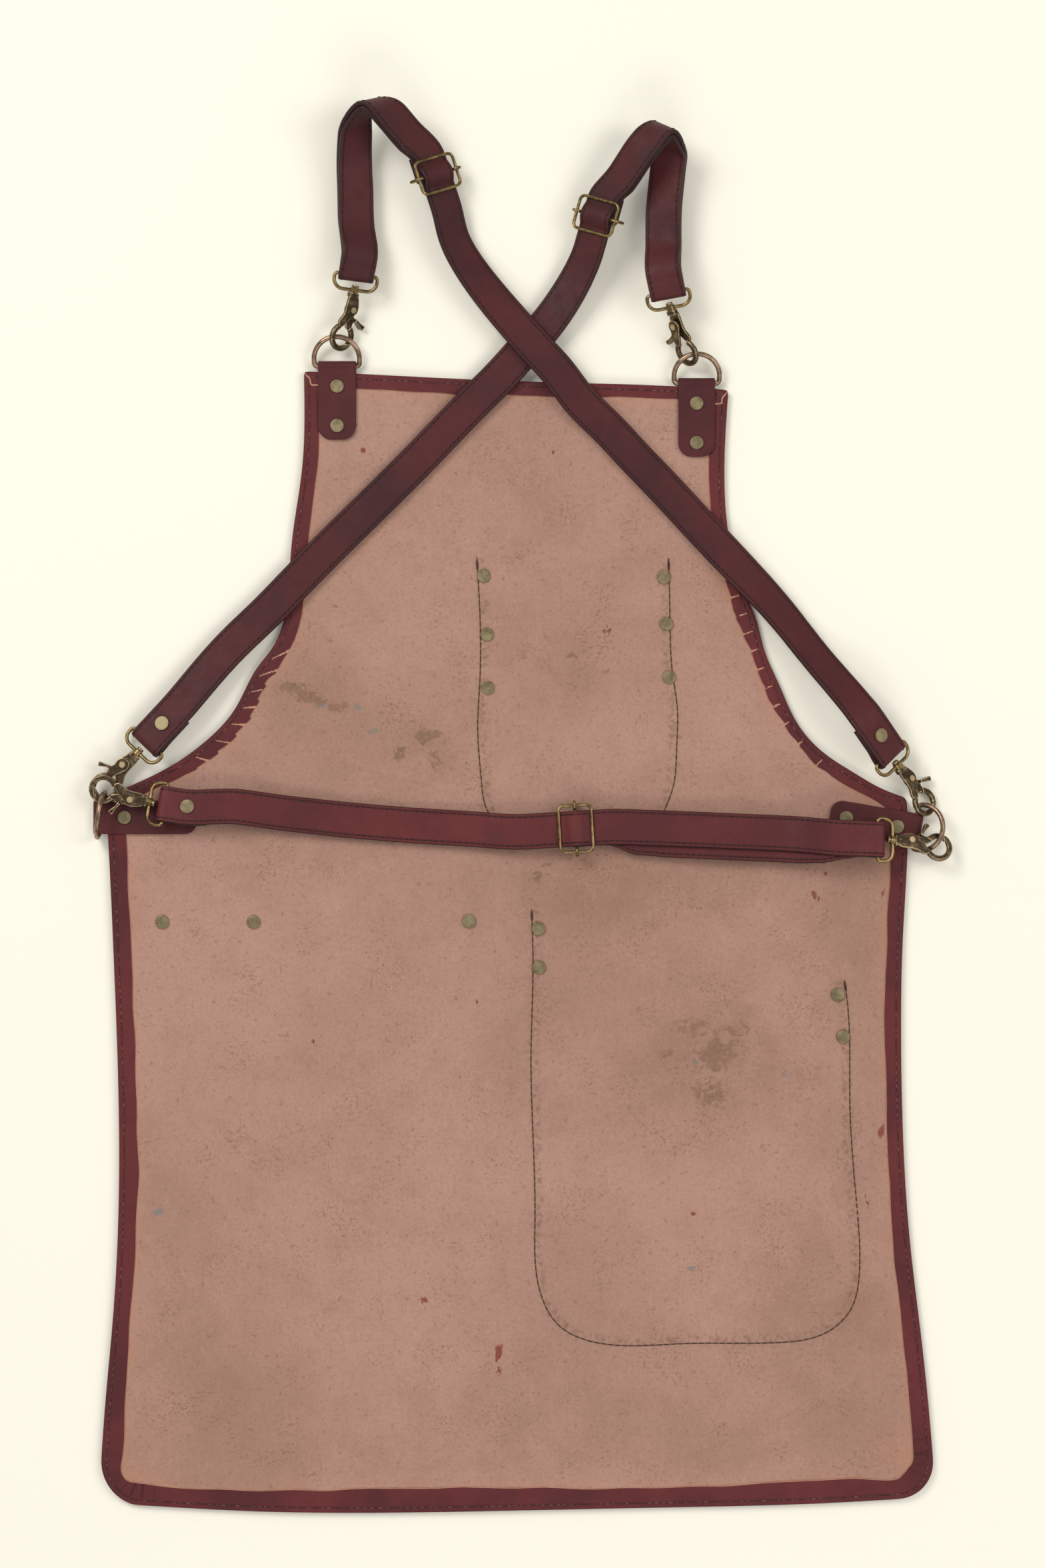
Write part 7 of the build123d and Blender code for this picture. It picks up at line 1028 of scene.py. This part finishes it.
# ------------------------------------------------------------------ pockets and tool loop, on the hidden front
def patch(name, loop_pts, node, grid, crown, rows=True):
    rg, L = even(np.array(loop_pts), 2.2, True)
    dd_ = np.roll(rg, -1, 0) - np.roll(rg, 1, 0); dd_ /= np.linalg.norm(dd_, axis=1)[:, None]
    nn_ = np.stack([-dd_[:, 1], dd_[:, 0]], 1)
    if ((rg.mean(0) - rg) * nn_).sum() < 0: nn_ = -nn_
    nn_ = smooth_ring(nn_, 1); nn_ /= np.linalg.norm(nn_, axis=1)[:, None]
    offs = [(0.6, 2.56, 1), (0.15, 2.40, 1), (0.02, 1.9, 1), (0.02, 1.5, 1), (0.15, 1.08, 1), (0.55, 0.88, 0.6), (1.1, 0.83, 0), (3.3, 0.84, 0), (3.8, 1.02, 0), (4.3, 0.84, 0), (6.0, 0.82, 0)]
    V, F, E, G = [], [], [], []
    for (o_, z_, e_) in offs:
        for i in range(len(rg)):
            V.append((rg[i, 0] + nn_[i, 0] * o_, rg[i, 1] + nn_[i, 1] * o_, z_)); E.append(e_); G.append(1.0 if o_ == 3.8 else 0.0)
    n = len(rg)
    for k in range(len(offs) - 1):
        for i in range(n):
            F.append((k * n + i, k * n + (i + 1) % n, (k + 1) * n + (i + 1) % n, (k + 1) * n + i))
    inner = rg + nn_ * 6.0
    gx_ = np.arange(inner[:, 0].min() + grid, inner[:, 0].max(), grid); gy_ = np.arange(inner[:, 1].min() + grid, inner[:, 1].max(), grid)
    g = np.array([(x, y) for x in gx_ for y in gy_]) if len(gx_) and len(gy_) else np.zeros((0, 2))
    if len(g):
        g = g[inside(inner, g)]
    if len(g):
        dm = np.array([np.hypot(inner[:, 0] - q[0], inner[:, 1] - q[1]).min() for q in g])
        g = g[dm > grid * 0.5]
    allq = np.vstack([inner, g]) if len(g) else inner
    r_ = delaunay_2d_cdt([Vector(q) for q in allq], [(i, (i + 1) % n) for i in range(n)], [], 1, 1e-4)
    P_ = np.array([tuple(v) for v in r_[0]])
    remap = {}
    base = (len(offs) - 1) * n
    for i, q in enumerate(P_):
        dmin = np.hypot(inner[:, 0] - q[0], inner[:, 1] - q[1])
        j_ = int(dmin.argmin())
        if dmin[j_] < 1e-3: remap[i] = base + j_
        else:
            remap[i] = len(V)
            V.append((q[0], q[1], 0.82 + crown * (0.5 + 0.5 * math.sin(q[0] / 31 + q[1] / 47)))); E.append(0); G.append(0)
    for t in r_[2]:
        F.append(tuple(remap[i] for i in t))
    o = make(name, V, F, GRAIN_E, attrs={"edge": E, "groove": G})
    b = bmesh.new(); b.from_mesh(o.data); bmesh.ops.recalc_face_normals(b, faces=b.faces)
    # the open side lies against the panel, so the outside has to look down and out
    o_z = sum(f.normal.z for f in b.faces)
    if o_z > 0: bmesh.ops.reverse_faces(b, faces=b.faces)
    b.to_mesh(o.data); b.free()
    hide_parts(node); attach(o, "apron")
    return o


import bmesh
GRAIN_E = grain_material("front_patch_leather", lin(96, 45, 46), lin(82, 38, 40), 0.44, edge="edge", line="groove")
chest_pocket_o = patch("chest_pocket_leather", spline(CHEST_OUTLINE), "chest_pocket", 9.0, 0.10)
lower_pocket_o = patch("lower_pocket_leather", spline(LOWER_OUTLINE), "lower_pocket", 11.0, 0.12)
lx, ly = LOOP_CENTRE; hx, hy, rr = LOOP_LEN / 2, LOOP_WIDE / 2, 6.0
rect = []
for cx_, cy_, a0_ in ((hx - rr, hy - rr, 0), (rr - hx, hy - rr, 90), (rr - hx, rr - hy, 180), (hx - rr, rr - hy, 270)):
    for k in range(7):
        a_ = math.radians(a0_ + 15 * k); rect.append((lx + cx_ + rr * math.cos(a_), ly + cy_ + rr * math.sin(a_)))
tool_loop_o = patch("tool_loop_leather", rect, "tool_loop", 5.0, 0.05)
items = []
for pts_, cen in ((CHEST_OUTLINE, chest_c), (LOWER_OUTLINE, lower_c)):
    ln, nn2 = inset(pts_, 3.8, cen)
    q, L = even(ln, 4.6); tn = np.gradient(q, axis=0)
    for i in range(2, len(q) - 2):
        items.append(((q[i, 0], q[i, 1], 0.98), (tn[i, 0], tn[i, 1], 0), 1.7, (0, 0, -1)))
v, f = tube_stitches(items, 0.34)
front_st = make("front_pocket_stitches", v, f, THREAD)
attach(front_st, "apron")

# ------------------------------------------------------------------ straps
def strap_path(st, step=2.2):
    C = np.array([s[0] for s in st]); W = np.array([s[1] for s in st]); T = np.array([s[2] for s in st])
    oc, ow, ot = [], [], []
    for i in range(len(C) - 1):
        L = np.linalg.norm(C[i + 1] - C[i]); n = max(1, int(math.ceil(L / step)))
        ang = math.degrees(math.acos(max(-1, min(1, float(T[i] @ T[i + 1])))))
        n = max(n, int(math.ceil(ang / 7.0)))
        for k in range(n):
            u = k / n
            h00, h10, h01, h11 = 2 * u ** 3 - 3 * u ** 2 + 1, u ** 3 - 2 * u ** 2 + u, -2 * u ** 3 + 3 * u ** 2, u ** 3 - u ** 2
            oc.append(h00 * C[i] + h10 * L * T[i] + h01 * C[i + 1] + h11 * L * T[i + 1])
            ow.append((1 - u) * W[i] + u * W[i + 1]); ot.append((1 - u) * T[i] + u * T[i + 1])
    oc.append(C[-1]); ow.append(W[-1]); ot.append(T[-1])
    C, W, T = np.array(oc), np.array(ow), np.array(ot)
    T /= np.linalg.norm(T, axis=1)[:, None]
    W -= (W * T).sum(1)[:, None] * T; W /= np.linalg.norm(W, axis=1)[:, None]
    return C, W, T, np.cross(W, T)


def section(hw=13.0, ht=1.7):
    """(w, n, edge, groove) round a strap with softened, painted edges and a sunk stitch row near each edge."""
    top = []
    for w in (-hw + 0.75, -hw + 1.5, -hw + 2.0, -hw + 2.4, -hw + 2.8, -hw + 3.8, -hw * 0.45, 0.0):
        g = 1.0 if abs(abs(w) - (hw - 2.4)) < 0.1 else (0.6 if abs(abs(w) - (hw - 2.4)) < 0.5 else 0)
        n = ht - 0.02 - (0.13 if g == 1 else 0.05 if g else 0) - (0.10 if abs(w) > hw - 1 else 0.0)
        top.append((w, n, 0.35 if abs(w) > hw - 1 else 0, g))
    top = top + [(-w, n, e, g) for w, n, e, g in top[:-1][::-1]]
    right = [(hw - 0.28, ht - 0.42, 1, 0), (hw - 0.02, ht - 1.05, 1, 0), (hw, 0, 1, 0), (hw - 0.02, -ht + 1.05, 1, 0), (hw - 0.28, -ht + 0.42, 1, 0)]
    bot = [(w, -n, e, g) for w, n, e, g in top[::-1]]
    left = [(-w, n, e, g) for w, n, e, g in right[::-1]]
    return top + right + bot + left


def strap_mesh(name, st, mat, body="apron", hw=13.0, ht=1.7, wearf=None):
    C, W, T, N = strap_path(st)
    sec = section(hw, ht)
    V, F, E, G, BEND_HIGHLIGHT = [], [], [], [], []
    n = len(sec)
    kap = np.linalg.norm(np.gradient(T, axis=0), axis=1) / np.maximum(np.linalg.norm(np.gradient(C, axis=0), axis=1), 1e-6)
    kap = np.clip(kap * 9, 0, 1)
    ends = np.arange(len(C))
    for i in range(len(C)):
        for (w, nn, e, g) in sec:
            # the curvature stored here drives the painted highlight on the strap bends
            V.append(C[i] + W[i] * w - N[i] * nn); E.append(e); G.append(g); BEND_HIGHLIGHT.append(kap[i] * (0.9 if abs(w) < hw - 3.4 else 0.3))
    for i in range(len(C) - 1):
        for k in range(n):
            a, b = i * n + k, i * n + (k + 1) % n
            F.append((a, b, b + n, a + n))
    F.append(tuple(range(n))[::-1]); F.append(tuple((len(C) - 1) * n + k for k in range(n)))
    for k in range(n): E[k] = 1; E[(len(C) - 1) * n + k] = 1
    o = make(name, V, F, mat, attrs={"edge": E, "groove": G, "highlight_and_wear": BEND_HIGHLIGHT})
    b = bmesh.new(); b.from_mesh(o.data); bmesh.ops.recalc_face_normals(b, faces=b.faces); b.to_mesh(o.data); b.free()
    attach(o, body)
    return o, (C, W, T, N)


def strap_stitches(name, path, body="apron", hw=13.0, ht=1.7, pitch=4.4, faces=(1, -1), trim=3.0):
    C, W, T, N = path
    s = np.r_[0, np.cumsum(np.linalg.norm(np.diff(C, axis=0), axis=1))]
    items = []
    for row in (-1, 1):
        R = C + W * row * (hw - 2.6)
        sr = np.r_[0, np.cumsum(np.linalg.norm(np.diff(R, axis=0), axis=1))]
        n = int((sr[-1] - 2 * trim) / pitch)
        for j in range(n):
            q = trim + (j + 0.5) * (sr[-1] - 2 * trim) / n
            c = np.array([np.interp(q, sr, R[:, k]) for k in range(3)])
            t = np.array([np.interp(q, sr, T[:, k]) for k in range(3)]); nn = np.array([np.interp(q, sr, N[:, k]) for k in range(3)])
            for fc in faces:
                items.append((c - nn * fc * (ht - 0.02), t, 1.7, -nn * fc))
    v, f = tube_stitches(items, 0.40, 5)
    o = make(name, v, f, THREAD_D)
    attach(o, body)
    return o


strap_objs = {}
for nm, st, mt in (("shoulder_strap_left", SHOULDER_LEFT, STRAP_L), ("shoulder_strap_right", SHOULDER_RIGHT, STRAP_R), ("waist_strap", WAIST, STRAP_WM)):
    o, path = strap_mesh(nm + "_leather", st, mt)
    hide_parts(nm)
    so = strap_stitches(nm + "_stitches", path)
    strap_objs[nm] = (o, so, path)
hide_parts("apron_panel")

# the strap's hump over the centre bar of each slide, the folded end, and the bridge to the under ply
for nm, (c, w, t, n) in SLIDES.items():
    c, w, t, n = [np.array(a, float) for a in (c, w, t, n)]
    w, t, n = w / np.linalg.norm(w), t / np.linalg.norm(t), n / np.linalg.norm(n)
    mt = {"shoulder_left": STRAP_L, "shoulder_right": STRAP_R, "waist": STRAP_WM}[nm]
    st = []
    for s_ in np.linspace(-10.3, 10.3, 19):
        hgt = 0.30 + 4.1 * (0.5 + 0.5 * math.cos(math.pi * s_ / 10.3)) ** 0.85
        sl = -4.1 * 0.5 * math.pi / 10.3 * math.sin(math.pi * s_ / 10.3)
        tt = t + n * sl; tt = tt / np.linalg.norm(tt)
        st.append((tuple(c + t * s_ + n * hgt), tuple(w), tuple(tt)))
    o, path = strap_mesh("slide_hump_" + nm, st, mt, "slider_" + nm, 12.9, 0.95)
    # N is w x t; the outward side has to be n
    strap_stitches("slide_hump_stitches_" + nm, path, "slider_" + nm, 12.9, 0.95, trim=2.0)
    a = -t
    st = []
    for q in (16.0, 12.0, 8.0, 4.0, 0.0):
        st.append((tuple(c + a * q - n * 7.6), tuple(w), tuple(-a)))
    for k in range(1, 9):
        p_ = math.radians(k * 20)
        st.append((tuple(c - n * 5.25 + 2.35 * (-math.sin(p_) * a - math.cos(p_) * n)), tuple(w), tuple(-math.cos(p_) * a + math.sin(p_) * n)))
    for q in (0.0, 3.0, 6.0):
        st.append((tuple(c + a * q - n * 2.9), tuple(w), tuple(a)))
    o, path = strap_mesh("folded_end_" + nm, st, mt, "slider_" + nm, 13.0, 1.0)
    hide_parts("strap_end_" + nm)
    st = [(tuple(c + a * q - n * 3.72), tuple(w), tuple(a)) for q in (4.2, 5.0, 6.0, 6.6, 7.2, 8.0, 9.0, 10.0)]
    o, path = strap_mesh("under_ply_bridge_" + nm, st, mt, "slider_" + nm, 13.05, 1.62)
    o.parent = None
    o.matrix_world = Matrix.Identity(4)
    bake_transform(o)

# ------------------------------------------------------------------ floor, light, camera
fl = NT("table_paper")
fl.set(Base_Color=fl.mix(fl.noise(3, 3), lin(246, 243, 229), lin(245, 242, 228)), Roughness=0.95)
fl.put(fl.b.inputs["Specular IOR Level"], 0.05)
fl.put(fl.b.inputs["Emission Color"], lin(252, 250, 236)); fl.put(fl.b.inputs["Emission Strength"], 0.05)
bpy.ops.mesh.primitive_plane_add(size=14, location=(0, 0, -0.0002))
floor = bpy.context.object; floor.name = "floor"; floor.data.materials.append(fl.m)

world = bpy.data.worlds.new("studio"); bpy.context.scene.world = world; world.use_nodes = True
wt = world.node_tree
bg = wt.nodes["Background"]
wc = wt.nodes.new("ShaderNodeTexCoord"); wsep = wt.nodes.new("ShaderNodeSeparateXYZ"); wt.links.new(wc.outputs["Generated"], wsep.inputs[0])
wr = wt.nodes.new("ShaderNodeMapRange"); wt.links.new(wsep.outputs[2], wr.inputs["Value"])
wr.inputs["From Min"].default_value = 0.0; wr.inputs["From Max"].default_value = 1.0; wr.inputs["To Min"].default_value = 0.30; wr.inputs["To Max"].default_value = 0.52
wt.links.new(wr.outputs[0], bg.inputs[1])
bg.inputs[0].default_value = (1.0, 0.985, 0.965, 1)
pale = wt.nodes.new("ShaderNodeBackground"); pale.inputs[0].default_value = lin(250, 248, 238); pale.inputs[1].default_value = 0.93
lp = wt.nodes.new("ShaderNodeLightPath"); wm = wt.nodes.new("ShaderNodeMixShader")
wt.links.new(lp.outputs["Is Camera Ray"], wm.inputs[0]); wt.links.new(bg.outputs[0], wm.inputs[1]); wt.links.new(pale.outputs[0], wm.inputs[2])
wt.links.new(wm.outputs[0], wt.nodes["World Output"].inputs["Surface"])


def area(name, loc, size, power, col=(1, 0.98, 0.95)):
    l = bpy.data.lights.new(name, "AREA"); l.shape = "RECTANGLE"; l.size = size[0]; l.size_y = size[1]; l.energy = power; l.color = col
    o = bpy.data.objects.new(name, l); bpy.context.scene.collection.objects.link(o)
    o.location = loc
    o.rotation_euler = (Vector((0, 0, 0)) - Vector(loc)).to_track_quat("-Z", "Y").to_euler()
    return o


area("key", (-1.5, 1.5, 2.4), (1.3, 1.3), 44)
area("fill", (1.9, 0.4, 2.2), (1.2, 1.5), 22)
area("low", (0.2, -2.1, 2.0), (1.8, 0.9), 17)

cam = bpy.data.cameras.new("camera"); co = bpy.data.objects.new("camera", cam); bpy.context.scene.collection.objects.link(co)
cam.sensor_fit = "VERTICAL"; cam.sensor_height = 24.0; cam.lens = 24.0 * 2.6 / (2352 * 0.000489)
co.location = (0.001143, 0.017339, 2.6); co.rotation_euler = (0, 0, 0)
cam.clip_start = 0.05; cam.clip_end = 50
bpy.context.scene.camera = co
bpy.context.scene.view_settings.view_transform = "Standard"
bpy.context.scene.view_settings.look = "None"
